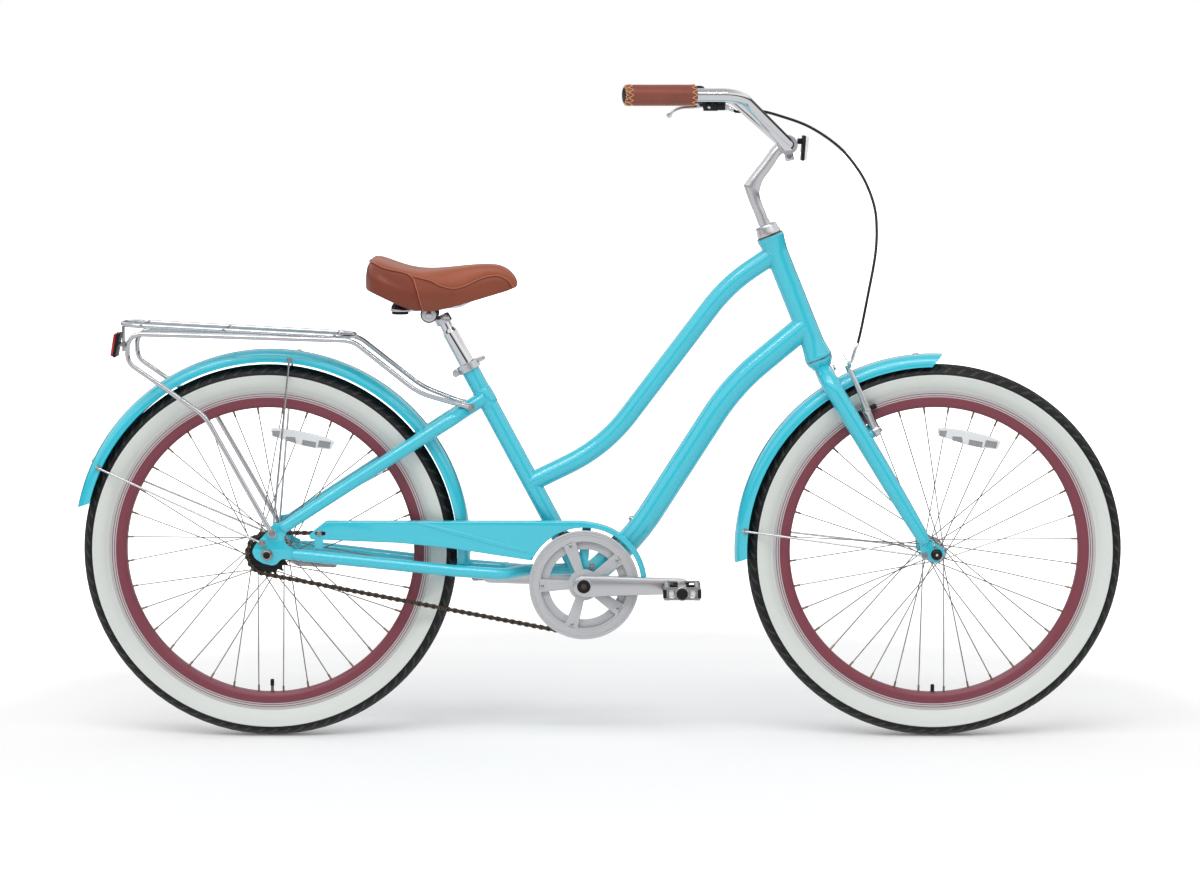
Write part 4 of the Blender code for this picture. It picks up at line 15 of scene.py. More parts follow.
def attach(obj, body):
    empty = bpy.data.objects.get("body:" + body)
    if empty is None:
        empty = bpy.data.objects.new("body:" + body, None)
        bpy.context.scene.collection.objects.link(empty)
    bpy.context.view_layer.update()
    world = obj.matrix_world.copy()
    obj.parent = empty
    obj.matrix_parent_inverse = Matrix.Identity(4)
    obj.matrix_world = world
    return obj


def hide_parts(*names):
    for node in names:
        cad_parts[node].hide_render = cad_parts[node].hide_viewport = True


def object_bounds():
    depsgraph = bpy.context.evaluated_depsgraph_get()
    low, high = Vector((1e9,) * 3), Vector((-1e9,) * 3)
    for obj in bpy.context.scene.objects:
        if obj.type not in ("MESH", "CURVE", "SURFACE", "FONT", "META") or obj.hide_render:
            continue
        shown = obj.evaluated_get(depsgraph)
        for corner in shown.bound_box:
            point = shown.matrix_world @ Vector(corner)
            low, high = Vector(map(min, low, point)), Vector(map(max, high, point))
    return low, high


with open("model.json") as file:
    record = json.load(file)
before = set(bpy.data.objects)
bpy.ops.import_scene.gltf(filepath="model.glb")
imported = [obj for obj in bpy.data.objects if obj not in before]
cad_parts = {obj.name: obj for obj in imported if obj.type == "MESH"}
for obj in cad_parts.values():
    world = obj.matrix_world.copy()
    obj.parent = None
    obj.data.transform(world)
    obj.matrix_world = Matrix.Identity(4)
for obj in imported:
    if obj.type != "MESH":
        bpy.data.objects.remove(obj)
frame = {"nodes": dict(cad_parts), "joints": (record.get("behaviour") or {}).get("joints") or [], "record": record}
CAD_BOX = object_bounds()

# Places from the frame's joints
JOINTS = {joint["name"]: joint for joint in frame["joints"]}


def joint_place(name):
    return Vector(JOINTS[name]["pos_m"])


REAR_AXLE = joint_place("rear_wheel_spin")
FRONT_AXLE = joint_place("front_wheel_spin")
BB = joint_place("crank_spin")
HEAD_UP = Vector(JOINTS["steering_turn"]["axis"]).normalized()
HEAD_BOTTOM = joint_place("steering_turn")
SEAT_UP = Vector(JOINTS["seatpost_slide"]["axis"]).normalized()
ACROSS = Vector((0, 1, 0))
UP = Vector((0, 0, 1))
AHEAD = Vector((1, 0, 0))
RIGHT, LEFT = -1, 1
SIDES = (("right", RIGHT), ("left", LEFT))
WHEELS = (("rear", "rear_wheel", REAR_AXLE), ("front", "front_wheel", FRONT_AXLE))

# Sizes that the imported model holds
WHEEL_RADIUS = REAR_AXLE.z
HEAD_TUBE_LENGTH = 0.2306
HEAD_TOP = HEAD_BOTTOM + HEAD_UP * HEAD_TUBE_LENGTH
SEAT_TUBE_LENGTH = 0.436
SEAT_TUBE_RADIUS = 0.016
HEAD_TUBE_RADIUS = 0.0202
HEAD_FLARE_RADIUS = 0.0242
TOP_TUBE_RADIUS = 0.0172
DOWN_TUBE_RADIUS = 0.0218
BB_SHELL_RADIUS = 0.020
BB_SHELL_WIDTH = 0.068
RIM_RADIUS = 0.284
RIM_INNER_RADIUS = 0.253
RIM_WIDTH = 0.027
TYRE_WIDTH = 0.050


def at(x, z, y=0.0):
    """The place ahead of the rear axle by x, at height z and y to the left."""
    return Vector((REAR_AXLE.x + x, y, z))


def across(point, y):
    """The same place in the side view, at this width."""
    return Vector((point.x, y, point.z))


def beside(point, x, z):
    """The place ahead of a point by x and above it by z."""
    return point + Vector((x, 0, z))


def direction(degrees):
    """The unit vector at this angle above +X, in the side view."""
    return Vector((math.cos(math.radians(degrees)), 0, math.sin(math.radians(degrees))))


def leaning(degrees):
    """Axes for a block that leans by this angle in the side view."""
    return direction(degrees), ACROSS, direction(degrees + 90)


# Materials
def node(tree, kind, **sockets):
    """A shader node. Each socket takes a number or colour, or the output that feeds it."""
    made = tree.nodes.new(kind)
    for name, value in sockets.items():
        socket = made.inputs[name.replace("_", " ")]
        if isinstance(value, bpy.types.NodeSocket):
            tree.links.new(value, socket)
        else:
            socket.default_value = value
    return made


def mix_shaders(tree, factor, first, second):
    """The first shader where the factor is 0, the second where it is 1."""
    mix = node(tree, "ShaderNodeMixShader", Fac=factor)
    tree.links.new(first.outputs[0], mix.inputs[1])
    tree.links.new(second.outputs[0], mix.inputs[2])
    return mix


def noise_at(tree, coordinates, scale, detail=2.0, stretch=(1, 1, 1)):
    """Noise in the piece's own metres. Stretch spreads it along an axis, as brushing does."""
    mapping = node(tree, "ShaderNodeMapping", Vector=coordinates, Scale=stretch)
    texture = node(tree, "ShaderNodeTexNoise", Vector=mapping.outputs["Vector"], Scale=scale, Detail=detail)
    return texture.outputs["Fac"]


LOOKS = {}


def make_look(
    name,
    colour,
    roughness,
    metallic=0.0,
    vary=0.08,
    patches=9.0,
    rough_vary=0.06,
    grain=900.0,
    depth=0.00004,
    stretch=(1, 1, 1),
    cells=0.0,
    **sockets,
):
    """A shader with uneven colour and gloss, and a fine surface grain."""
    material = bpy.data.materials.new(name)
    material.use_nodes = True
    tree = material.node_tree
    shader = tree.nodes["Principled BSDF"]
    for socket, value in {"Metallic": metallic, **sockets}.items():
        shader.inputs[socket.replace("_", " ")].default_value = value
    coordinates = tree.nodes.new("ShaderNodeTexCoord").outputs["Object"]

    broad = noise_at(tree, coordinates, patches, 3.0)
    mix = tree.nodes.new("ShaderNodeMix")
    mix.data_type = "RGBA"
    mix.inputs["A"].default_value = (*[c * (1 - vary) for c in colour], 1)
    mix.inputs["B"].default_value = (*[min(c * (1 + vary), 1) for c in colour], 1)
    tree.links.new(broad, mix.inputs["Factor"])
    tree.links.new(mix.outputs["Result"], shader.inputs["Base Color"])

    fine = noise_at(tree, coordinates, grain, 4.0, stretch)
    low = max(roughness - rough_vary, 0.02)
    spread = node(tree, "ShaderNodeMapRange", Value=fine, To_Min=low, To_Max=roughness + rough_vary)
    tree.links.new(spread.outputs["Result"], shader.inputs["Roughness"])

    height = fine
    if cells:
        height = node(tree, "ShaderNodeTexVoronoi", Vector=coordinates, Scale=cells).outputs["Distance"]
    bump = node(tree, "ShaderNodeBump", Strength=1.0, Distance=depth, Height=height)
    tree.links.new(bump.outputs["Normal"], shader.inputs["Normal"])
    LOOKS[name] = material


LEATHER = {
    "patches": 24,
    "grain": 700,
    "cells": 900,
    "depth": 0.00003,
    "Coat_Weight": 0.12,
    "Coat_Roughness": 0.30,
    "Specular_IOR_Level": 0.35,
}
make_look("paint", (0.038, 0.585, 0.730), 0.24, vary=0.03, grain=420, depth=0.000001, Coat_Weight=1.0,
          Coat_Roughness=0.02, Coat_IOR=1.6)
make_look("rim_paint", (0.215, 0.045, 0.066), 0.38, vary=0.06, grain=1500, depth=0.00002)
make_look("rubber", (0.006, 0.006, 0.0065), 0.50, vary=0.25, grain=1200, depth=0.00006,
          Specular_IOR_Level=0.35)
make_look("whitewall", (0.720, 0.750, 0.715), 0.55, vary=0.03, grain=1100, depth=0.00002)
make_look("leather", (0.360, 0.098, 0.048), 0.42, vary=0.12, **LEATHER)
make_look("chrome", (0.80, 0.80, 0.82), 0.06, 1.0, vary=0.02, rough_vary=0.02, grain=240, depth=0.0000003)
make_look("alloy", (0.74, 0.74, 0.76), 0.30, 1.0, vary=0.03, rough_vary=0.03, grain=260, depth=0.000001,
          stretch=(1, 1, 14))
make_look("steel", (0.42, 0.415, 0.41), 0.26, 1.0, vary=0.08, grain=500, depth=0.000003)
make_look("dark_steel", (0.105, 0.080, 0.062), 0.42, 0.9, vary=0.3, patches=90, grain=900, depth=0.00003)
make_look("black_plastic", (0.008, 0.008, 0.009), 0.42, vary=0.2, grain=1600, depth=0.00005,
          Specular_IOR_Level=0.3)
make_look("clear_plastic", (0.80, 0.82, 0.83), 0.16, vary=0.05, grain=600, depth=0.00002, Coat_Weight=0.8)
make_look("amber", (0.70, 0.20, 0.02), 0.20, vary=0.10, grain=700, depth=0.00002, Coat_Weight=0.8)
make_look("brass", (0.26, 0.185, 0.12), 0.36, 0.9, vary=0.14, patches=60, grain=700, depth=0.00001)
make_look("casing", (0.008, 0.008, 0.009), 0.34, vary=0.12, grain=900, depth=0.00001,
          Specular_IOR_Level=0.3)
make_look("thread", (0.82, 0.50, 0.24), 0.70, vary=0.15, patches=160, grain=2600, depth=0.00003)
make_look("grip_leather", (0.245, 0.062, 0.038), 0.40, vary=0.12, patches=30, grain=800, cells=1100,
          depth=0.00002, Coat_Weight=0.15, Coat_Roughness=0.32, Specular_IOR_Level=0.4)
make_look("silver_paint", (0.545, 0.553, 0.570), 0.34, 0.15, vary=0.02, grain=900, depth=0.000004,
          Coat_Weight=0.3)
make_look("track", (0.560, 0.545, 0.550), 0.36, 0.25, vary=0.03, grain=900, depth=0.000004)
make_look("spoke_steel", (0.300, 0.275, 0.260), 0.34, 1.0, vary=0.08, grain=500, depth=0.00001)
# Shaded copies of the leather: the side panel is painted darker and the rear panel darker still, as painted shade.
make_look("leather_side_painted_shade", (0.255, 0.060, 0.028), 0.44, vary=0.14, **LEATHER)
make_look("leather_rear_painted_shade", (0.215, 0.042, 0.019), 0.44, vary=0.14, **LEATHER)
# The piping is painted lighter than the cover: a painted highlight along the raised seams.
make_look("leather_edge", (0.440, 0.135, 0.072), 0.44, vary=0.14, patches=60, grain=900, depth=0.00003)
make_look("prism", (0.30, 0.305, 0.315), 0.30, vary=0.55, patches=520, grain=900, depth=0.00008,
          Coat_Weight=0.6)
make_look("satin_chrome", (0.70, 0.70, 0.72), 0.22, 1.0, vary=0.02, rough_vary=0.02, grain=240,
          depth=0.0000003)
# A lighter grey for the tread's groove faces: a painted highlight that brings out the pattern in the black rubber.
make_look("tread_painted_highlight", (0.034, 0.034, 0.036), 0.60, vary=0.2, grain=1200, depth=0.00004)
make_look("red_plastic", (0.46, 0.010, 0.008), 0.16, vary=0.12, grain=600, depth=0.00002, Coat_Weight=0.8)


# Mesh building: every helper adds to a bmesh, and piece() makes it an object of the bike
def ring_faces(made, first, second):
    """A band of faces between two loops of corners."""
    count = len(first)
    for k in range(count):
        after = (k + 1) % count
        made.faces.new((first[k], first[after], second[after], second[k]))


def loft(made, loops):
    """Faces between loops of corners, closed at both ends."""
    for first, second in zip(loops, loops[1:]):
        ring_faces(made, first, second)
    made.faces.new(loops[0][::-1])
    made.faces.new(loops[-1])


def ring_at(made, middle, first, second, count):
    """A loop of corners round a place, as far out as its two arms."""
    turns = [math.tau * k / count for k in range(count)]
    return [made.verts.new(middle + first * math.cos(turn) + second * math.sin(turn)) for turn in turns]


def sweep(made, points, radii, sides=20, up=None, flat=1.0):
    """A bar along the points. Flat squashes its section across the up direction."""
    points = [Vector(p) for p in points]
    if not isinstance(radii, (list, tuple)):
        radii = [radii] * len(points)
    closed = (points[0] - points[-1]).length < 1e-7
    loops = []
    normal = None
    for i, point in enumerate(points):
        before = points[i - 1] if i else (points[-2] if closed else points[0])
        after = points[i + 1] if i + 1 < len(points) else (points[1] if closed else points[-1])
        along = (after - before).normalized()
        if up is not None:
            normal = up - along * up.dot(along)
        elif normal is None:
            guess = ACROSS if abs(along.y) < 0.8 else UP
            normal = guess - along * guess.dot(along)
        else:
            normal = normal - along * normal.dot(along)
        normal.normalize()
        if closed and i == len(points) - 1:
            break
        side = along.cross(normal)
        loops.append(ring_at(made, point, normal * radii[i], side * (radii[i] * flat), sides))
    if closed:
        for first, second in zip(loops, loops[1:] + loops[:1]):
            ring_faces(made, first, second)
    else:
        loft(made, loops)


def axes_for(axis):
    """Three axes at right angles, the last along the one given."""
    axis = Vector(axis).normalized()
    guess = AHEAD if abs(axis.x) < 0.9 else UP
    first = (guess - axis * guess.dot(axis)).normalized()
    return first, axis.cross(first), axis


def lathe(made, profile, centre, axis, steps=48, closed=False, material=None):
    """A turned piece from a profile of (radius, height) along the axis. Material numbers each band."""
    first, second, axis = axes_for(axis)
    loops = []
    for radius, height in profile:
        middle = centre + axis * height
        if radius < 1e-7:
            loops.append([made.verts.new(middle)])
        else:
            loops.append(ring_at(made, middle, first * radius, second * radius, steps))
    pairs = list(zip(loops, loops[1:]))
    if closed:
        pairs.append((loops[-1], loops[0]))
    for band, (low, high) in enumerate(pairs):
        index = material[band] if material else 0
        for k in range(steps):
            after = (k + 1) % steps
            if len(low) == 1 and len(high) == 1:
                continue
            if len(low) == 1:
                corners = (low[0], high[after], high[k])
            elif len(high) == 1:
                corners = (low[k], low[after], high[0])
            else:
                corners = (low[k], low[after], high[after], high[k])
            made.faces.new(corners).material_index = index


def outward(made, profile, point, side, width, steps=48, closed=False):
    """A turned piece on one side of the bike that looks away from its middle."""
    lathe(made, profile, across(point, side * width), ACROSS * side, steps, closed)


def washer(made, inner, outer, low, high, centre, axis, steps):
    """A turned ring between two radii and two heights."""
    lathe(made, [(inner, low), (outer, low), (outer, high), (inner, high)], centre, axis, steps, True)


def block(made, centre, size, axes=None, bevel=0.001, segments=2):
    """A box with rounded edges, its sides along the three axes."""
    part = bmesh.new()
    bmesh.ops.create_cube(part, size=1.0)
    bmesh.ops.scale(part, vec=size, verts=part.verts)
    if bevel:
        bmesh.ops.bevel(part, geom=list(part.edges), offset=bevel, segments=segments, affect="EDGES",
                        profile=0.5)
    if axes:
        bmesh.ops.transform(part, matrix=Matrix(axes).transposed().to_4x4(), verts=part.verts)
    bmesh.ops.translate(part, vec=centre, verts=part.verts)
    take_in(made, part)


def meshes(count):
    """Empty meshes, one for each look of a group."""
    return [bmesh.new() for _ in range(count)]


def right_way_out(made):
    bmesh.ops.recalc_face_normals(made, faces=made.faces)


def take_in(made, part):
    """Adds one bmesh to another."""
    mesh = bpy.data.meshes.new("part")
    part.to_mesh(mesh)
    part.free()
    made.from_mesh(mesh)
    bpy.data.meshes.remove(mesh)


def evaluated(source):
    """The mesh that an object's curve or modifiers give. The object itself goes."""
    bpy.context.scene.collection.objects.link(source)
    bpy.context.view_layer.update()
    mesh = bpy.data.meshes.new_from_object(source.evaluated_get(bpy.context.evaluated_depsgraph_get()))
    bpy.data.objects.remove(source)
    return mesh


def plate(made, outline, near, far, bevel=0.0006, holes=()):
    """A flat piece between two places across the bike, cut to side-view outlines, with rounded edges."""
    curve = bpy.data.curves.new("plate", "CURVE")
    curve.dimensions = "2D"
    curve.fill_mode = "BOTH"
    curve.extrude = abs(far - near) / 2 - bevel
    curve.bevel_depth = bevel
    curve.bevel_resolution = 1
    curve.offset = -bevel
    for ring in (outline, *holes):
        spline = curve.splines.new("POLY")
        spline.use_cyclic_u = True
        spline.points.add(len(ring) - 1)
        for point, place in zip(spline.points, ring):
            point.co = (place.x, place.z, 0, 1)
    mesh = evaluated(bpy.data.objects.new("plate", curve))
    mesh.transform(Matrix.Translation((0, (near + far) / 2, 0)) @ Matrix.Rotation(math.pi / 2, 4, "X"))
    part = bmesh.new()
    part.from_mesh(mesh)
    bmesh.ops.remove_doubles(part, verts=part.verts, dist=1e-6)
    bpy.data.meshes.remove(mesh)
    take_in(made, part)


def piece(name, made, look, body, *nodes, slot=None, sharp=38):
    """Makes the bmesh an object that moves with a body and stands for these CAD nodes."""
    looks = look if isinstance(look, (list, tuple)) else [look]
    mesh = bpy.data.meshes.new(name)
    made.to_mesh(mesh)
    made.free()
    for one in looks:
        mesh.materials.append(LOOKS[one])
    mesh.shade_smooth()
    mesh.set_sharp_from_angle(angle=math.radians(sharp))
    obj = bpy.data.objects.new(name, mesh)
    bpy.context.scene.collection.objects.link(obj)
    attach(obj, body)
    if nodes:
        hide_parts(*nodes)
    return obj


def fillet(corners, radii, steps=10, closed=False):
    """The points of a path through these corners, each rounded as far as its neighbours leave room."""
    count = len(corners)
    if not isinstance(radii, (list, tuple)):
        radii = [radii] * count
    points = []
    for i, corner in enumerate(corners):
        corner = Vector(corner)
        if not closed and i in (0, count - 1):
            points.append(corner)
            continue
        before = Vector(corners[i - 1]) - corner
        after = Vector(corners[(i + 1) % count]) - corner
        turn = math.pi - before.angle(after)
        if radii[i] <= 0 or turn < 1e-3:
            points.append(corner)
            continue
        reach = min(radii[i] * math.tan(turn / 2), 0.49 * before.length, 0.49 * after.length)
        radius = reach / math.tan(turn / 2)
        bisector = (before.normalized() + after.normalized()).normalized()
        centre = corner + bisector * (radius / math.cos(turn / 2))
        first = corner + before.normalized() * reach - centre
        axis = first.cross(corner + after.normalized() * reach - centre)
        for step in range(steps + 1):
            points.append(centre + Matrix.Rotation(turn * step / steps, 3, axis.normalized()) @ first)
    return points


def smooth(points, spacing):
    """Points at this spacing along a smooth curve through the given ones."""
    points = [Vector(p) for p in points]
    ends = [points[0] * 2 - points[1], *points, points[-1] * 2 - points[-2]]
    fine = []
    for a, b, c, d in zip(ends, ends[1:], ends[2:], ends[3:]):
        for step in range(16):
            t = step / 16
            square, cube = 2 * a - 5 * b + 4 * c - d, 3 * b - a - 3 * c + d
            fine.append(0.5 * (2 * b + (c - a) * t + square * t**2 + cube * t**3))
    fine.append(points[-1])
    route, travelled = [fine[0]], 0.0
    for a, b in zip(fine, fine[1:]):
        travelled += (b - a).length
        if travelled >= spacing:
            route.append(b)
            travelled = 0.0
    if (route[-1] - points[-1]).length < spacing / 2:
        route.pop()
    return [*route, points[-1]]


def arc(centre, radius, start, end, count):
    """Side-view points on an arc, both ends included."""
    return [centre + direction(start + (end - start) * i / (count - 1)) * radius for i in range(count)]


# Wheels
TREAD_PITCHES = 84
TREAD_STEPS = 8
TREAD_DEPTH = 0.0013
WHITE_EDGE = 0.3105
RIM_BED = 0.0085
TRACK_RADIUS = 0.2715


def tyre_section():
    """One side of the tyre's section, as (radius, half width), from the bead to the crown."""
    half = TYRE_WIDTH / 2
    bulge = (WHEEL_RADIUS + RIM_RADIUS) / 2 + 0.002
    rise = WHEEL_RADIUS - bulge
    wall = [(RIM_RADIUS - 0.0005, 0.0132), (0.2865, 0.0150), (0.2885, 0.0172), (0.2925, 0.0200),
            (0.2980, 0.0226), (0.3035, 0.0241), (0.3085, 0.0248), (0.3096, 0.0253), (WHITE_EDGE, 0.0251)]
    shoulder = [
        (bulge + rise * math.sin(math.radians(a)), half * math.cos(math.radians(a)))
        for a in range(8, 91, 4)
    ]
    return wall, shoulder


def tread_groove(step, row, rows):
    """How deep the tread is cut here: slanted bars on the shoulder and a zigzag line towards the crown."""
    share = row / (rows - 1)
    phase = (step / TREAD_STEPS + share * 1.3) % 1
    if share < 0.16:
        return 0.0
    if share < 0.22:
        return 1.0
    if share < 0.62:
        return 1.0 if phase < 0.22 else 0.0
    zigzag = abs((step / TREAD_STEPS) % 1 - 0.5)
    return 1.0 if abs(share - 0.72 - zigzag * 0.22) < 0.05 else 0.0


def build_tyre(name, body, centre):
    wall, shoulder = tyre_section()
    steps = TREAD_PITCHES * TREAD_STEPS
    rows = len(shoulder)
    section = []
    for side in (1, -1):
        half = [(radius, side * width, 0, None) for radius, width in wall]
        half += [(radius, side * width, 1, row) for row, (radius, width) in enumerate(shoulder)]
        section.append(half)
    whole = section[0] + section[1][::-1][1:]
    made = bmesh.new()
    loops = []
    for radius, height, _, row in whole:
        loop = []
        for step in range(steps):
            cut = TREAD_DEPTH * tread_groove(step if height > 0 else step + 4, row,
                                             rows) if row is not None else 0.0
            place = centre + direction(360 * step / steps) * (radius - cut)
            loop.append(made.verts.new(across(place, centre.y + height)))
        loops.append(loop)
    for i, (first, second) in enumerate(zip(loops, loops[1:])):
        black = whole[i][2] and whole[i + 1][2]
        for k in range(steps):
            after = (k + 1) % steps
            face = made.faces.new((first[k], first[after], second[after], second[k]))
            face.material_index = 1 if black else 0
            # Groove faces take the lighter grey, a painted highlight on the cut tread.
            if black and tread_groove(k if whole[i][1] > 0 else k + 4, whole[i][3] or 0, rows) > 0.3:
                face.material_index = 2
    inner = [[made.verts.new(across(centre + direction(360 * s / 96) * RIM_INNER_RADIUS * 1.06, height))
              for s in range(96)] for height in (0.012, -0.012)]
    for k in range(96):
        after = (k + 1) % 96
        made.faces.new((inner[0][k], inner[0][after], inner[1][after], inner[1][k]))
    right_way_out(made)
    return piece(name + "_rubber", made, ["whitewall", "rubber", "tread_painted_highlight"], body, name, slot="rubber")


def build_rim(name, body, centre):
    """A box section rim, painted, with a machined brake track on each side."""
    outer, bed, track = RIM_WIDTH / 2, RIM_BED, TRACK_RADIUS
    side = [
        (RIM_INNER_RADIUS, bed * 0.6),
        (RIM_INNER_RADIUS + 0.0004, bed),
        (RIM_INNER_RADIUS + 0.0030, bed + 0.0026),
        (RIM_INNER_RADIUS + 0.0080, outer - 0.0006),
        (track - 0.0012, outer),
        (track - 0.0004, outer - 0.0004),
        (track, outer - 0.0004),
    ]
    bands = [0] * 6
    for low, high in ((0.0018, 0.0031), (0.0058, 0.0070)):
        side += [(track + low, outer - 0.0004), (track + high, outer - 0.0004)]
        bands += [1, 0]
    side += [
        (track + 0.0102, outer - 0.0004),
        (RIM_RADIUS - 0.0010, outer),
        (RIM_RADIUS, outer - 0.0008),
        (RIM_RADIUS, outer - 0.0030),
        (RIM_RADIUS - 0.0080, outer - 0.0034),
    ]
    bands += [1] * 5
    profile = side + [(radius, -height) for radius, height in side[::-1]]
    made = bmesh.new()
    lathe(made, profile, centre, ACROSS, 180, True, bands + [0] + bands[::-1] + [0])
    right_way_out(made)
    return piece(name + "_hoop", made, ["rim_paint", "track"], body, name)


# Fenders
FENDER_WIDTH = 0.058
FENDER_SKIRT = 0.022
FENDER_SHEET = 0.0012
FENDER_SECTION = (
    (0.0000, 0.0000), (0.0060, 0.0002), (0.0110, 0.0008), (0.0155, 0.0020), (0.0195, 0.0038),
    (0.0228, 0.0060), (0.0252, 0.0082), (0.0270, 0.0108), (0.0280, 0.0140), (0.0286, 0.0180),
)
REAR_FENDER_CENTRE = beside(REAR_AXLE, 0.0033, 0.0067)
REAR_FENDER_RADIUS = 0.3496
REAR_FENDER_ENDS = (-5.0, 168.4)
FRONT_FENDER_CENTRE = beside(FRONT_AXLE, -0.0043, 0.0004)
FRONT_FENDER_RADIUS = 0.3470
FRONT_FENDER_ENDS = (87.3, 183.4)


def build_fender(name, body, centre, radius, ends, slants):
    """A rolled strip with a skirt and a beaded edge down each side. Slants draw the skirt's ends back."""
    edge = FENDER_WIDTH / 2
    half = [(y, -drop) for y, drop in FENDER_SECTION] + [(edge - 0.0004, -FENDER_SKIRT + 0.0012),
                                                         (edge, -FENDER_SKIRT)]
    inside = [(max(y - FENDER_SHEET, 0), min(z - FENDER_SHEET, z)) for y, z in half[:-2]]
    inside += [(edge - 0.0022, -FENDER_SKIRT + 0.0010), (edge - 0.0018, -FENDER_SKIRT - 0.0002)]
    outer = [(-y, z) for y, z in half[::-1][:-1]] + half
    inner = [(-y, z) for y, z in inside[::-1][:-1]] + inside
    section = outer + inner[::-1]
    steps = max(24, int((ends[1] - ends[0]) / 1.5))
    made = bmesh.new()
    loops = []
    for i in range(steps + 1):
        back = slants[0] * max(1 - i / 6, 0) - slants[1] * max(1 - (steps - i) / 6, 0)
        loop = []
        for y, z in section:
            drawn = back * min(max(-z / FENDER_SKIRT, 0), 1)
            outward = direction(ends[0] + (ends[1] - ends[0]) * i / steps + drawn)
            loop.append(made.verts.new(across(centre + outward * (radius + z), centre.y + y)))
        loops.append(loop)
    for first, second in zip(loops, loops[1:]):
        ring_faces(made, first, second)
    count = len(outer)
    for loop in (loops[0], loops[-1]):
        for k in range(count - 1):
            made.faces.new((loop[k], loop[k + 1], loop[-k - 2], loop[-k - 1]))
    right_way_out(made)
    return piece(name + "_sheet", made, "paint", body, name)


# Frame tubes
def bent_path(start, rear_angle, rear_run, rear_bend, end, front_angle, front_run, front_bend):
    rear, front = direction(rear_angle), direction(front_angle)
    corners = [start, start + rear * rear_run, end - front * front_run, end]
    return fillet(corners, [0, rear_bend, front_bend, 0], 14)


TOP_TUBE_PATH = bent_path(
    BB + SEAT_UP * 0.1981, 25.98, 0.1434, 0.331, HEAD_BOTTOM + HEAD_UP * 0.2000, 33.70, 0.1015, 0.375
)
DOWN_TUBE_PATH = bent_path(BB, 41.0, 0.1177, 0.463, HEAD_BOTTOM + HEAD_UP * 0.0625, 39.75, 0.1644, 0.400)


WELD_STEPS = 56
WELD_RIPPLES = 14


def weld(made, start, along, radius, host_at, host_along, host_radius, bead=0.0022):
    """A bead where a tube runs into the side of another: the curve where their two surfaces meet."""
    first, second, along = axes_for(along)
    host_along = host_along.normalized()
    points = []
    for k in range(WELD_STEPS):
        angle = math.tau * k / WELD_STEPS
        base = start + first * (radius * math.cos(angle)) + second * (radius * math.sin(angle))
        offset = base - host_at
        offset -= host_along * offset.dot(host_along)
        way = along - host_along * along.dot(host_along)
        a, b, c = way.dot(way), 2 * offset.dot(way), offset.dot(offset) - host_radius**2
        root = b * b - 4 * a * c
        if root < 0:
            return
        points.append(base + along * ((-b + math.sqrt(root)) / (2 * a)))
    turns = [math.tau * k * WELD_RIPPLES / WELD_STEPS for k in range(WELD_STEPS)]
    ripple = [bead * (0.88 + 0.12 * math.cos(turn)) for turn in turns]
    sweep(made, points + points[:1], ripple + ripple[:1], 10)


def weld_to_head(made, path, radius):
    """The bead where a tube's front end meets the head tube."""
    weld(made, path[-1], path[-2] - path[-1], radius, HEAD_BOTTOM, HEAD_UP, HEAD_TUBE_RADIUS)


def build_frame():
    made = bmesh.new()
    sweep(made, [BB, BB + SEAT_UP * SEAT_TUBE_LENGTH], SEAT_TUBE_RADIUS, 48)
    piece("seat_tube_paint", made, "paint", "frame", "seat_tube")

    made = bmesh.new()
    flare = HEAD_FLARE_RADIUS
    half = [(HEAD_TUBE_RADIUS, 0.034), (HEAD_TUBE_RADIUS + 0.0006, 0.026),
            (HEAD_TUBE_RADIUS + 0.0022, 0.014), (flare - 0.0004, 0.0060), (flare, 0.0045), (flare, 0.0012),
            (flare - 0.0006, 0.0002), (0.0170, 0.0)]
    profile = [(r, HEAD_TUBE_LENGTH - h) for r, h in half[::-1]] + half
    lathe(made, profile, HEAD_BOTTOM, HEAD_UP, 64)
    right_way_out(made)
    piece("head_tube_paint", made, "paint", "frame", "head_tube")

    made = bmesh.new()
    sweep(made, TOP_TUBE_PATH, TOP_TUBE_RADIUS, 48)
    top_start, top_way = TOP_TUBE_PATH[0], TOP_TUBE_PATH[1] - TOP_TUBE_PATH[0]
    weld(made, top_start, top_way, TOP_TUBE_RADIUS, BB, SEAT_UP, SEAT_TUBE_RADIUS)
    weld_to_head(made, TOP_TUBE_PATH, TOP_TUBE_RADIUS)
    piece("top_tube_paint", made, "paint", "frame", "top_tube")

    made = bmesh.new()
    sweep(made, DOWN_TUBE_PATH, DOWN_TUBE_RADIUS, 48)
    weld_to_head(made, DOWN_TUBE_PATH, DOWN_TUBE_RADIUS)
    piece("down_tube_paint", made, "paint", "frame", "down_tube")


def rod(made, start, end, radius, sides=24):
    """A straight round bar."""
    sweep(made, [start, end], radius, sides)


def crossing(made, point, near, far, radius, sides=24):
    """A rod straight across the bike between two widths."""
    rod(made, across(point, near), across(point, far), radius, sides)


def hexagon(made, centre, axis, radius, height, chamfer=0.0005):
    """A hex nut or bolt head that stands on the centre, its corners taken off."""
    lathe(made, [(0, 0), (radius, 0), (radius, height - chamfer), (radius - chamfer * 2, height),
                 (0, height)], centre, axis, 6)


def bolt_head(made, centre, axis, radius, height):
    """A domed head with a small recess, over a washer."""
    profile = [(0, 0), (radius * 1.4, 0), (radius * 1.4, height * 0.22), (radius, height * 0.24),
               (radius, height * 0.62)]
    profile += [(radius * 0.86, height * 0.88), (radius * 0.55, height), (radius * 0.42, height),
                (radius * 0.40, height * 0.4)]
    profile += [(0, height * 0.4)]
    lathe(made, profile, centre, axis, 20)


def side_bolt(made, point, side, width, radius, height):
    """A bolt's head on one side of the bike that looks away from its middle."""
    bolt_head(made, across(point, side * width), ACROSS * side, radius, height)


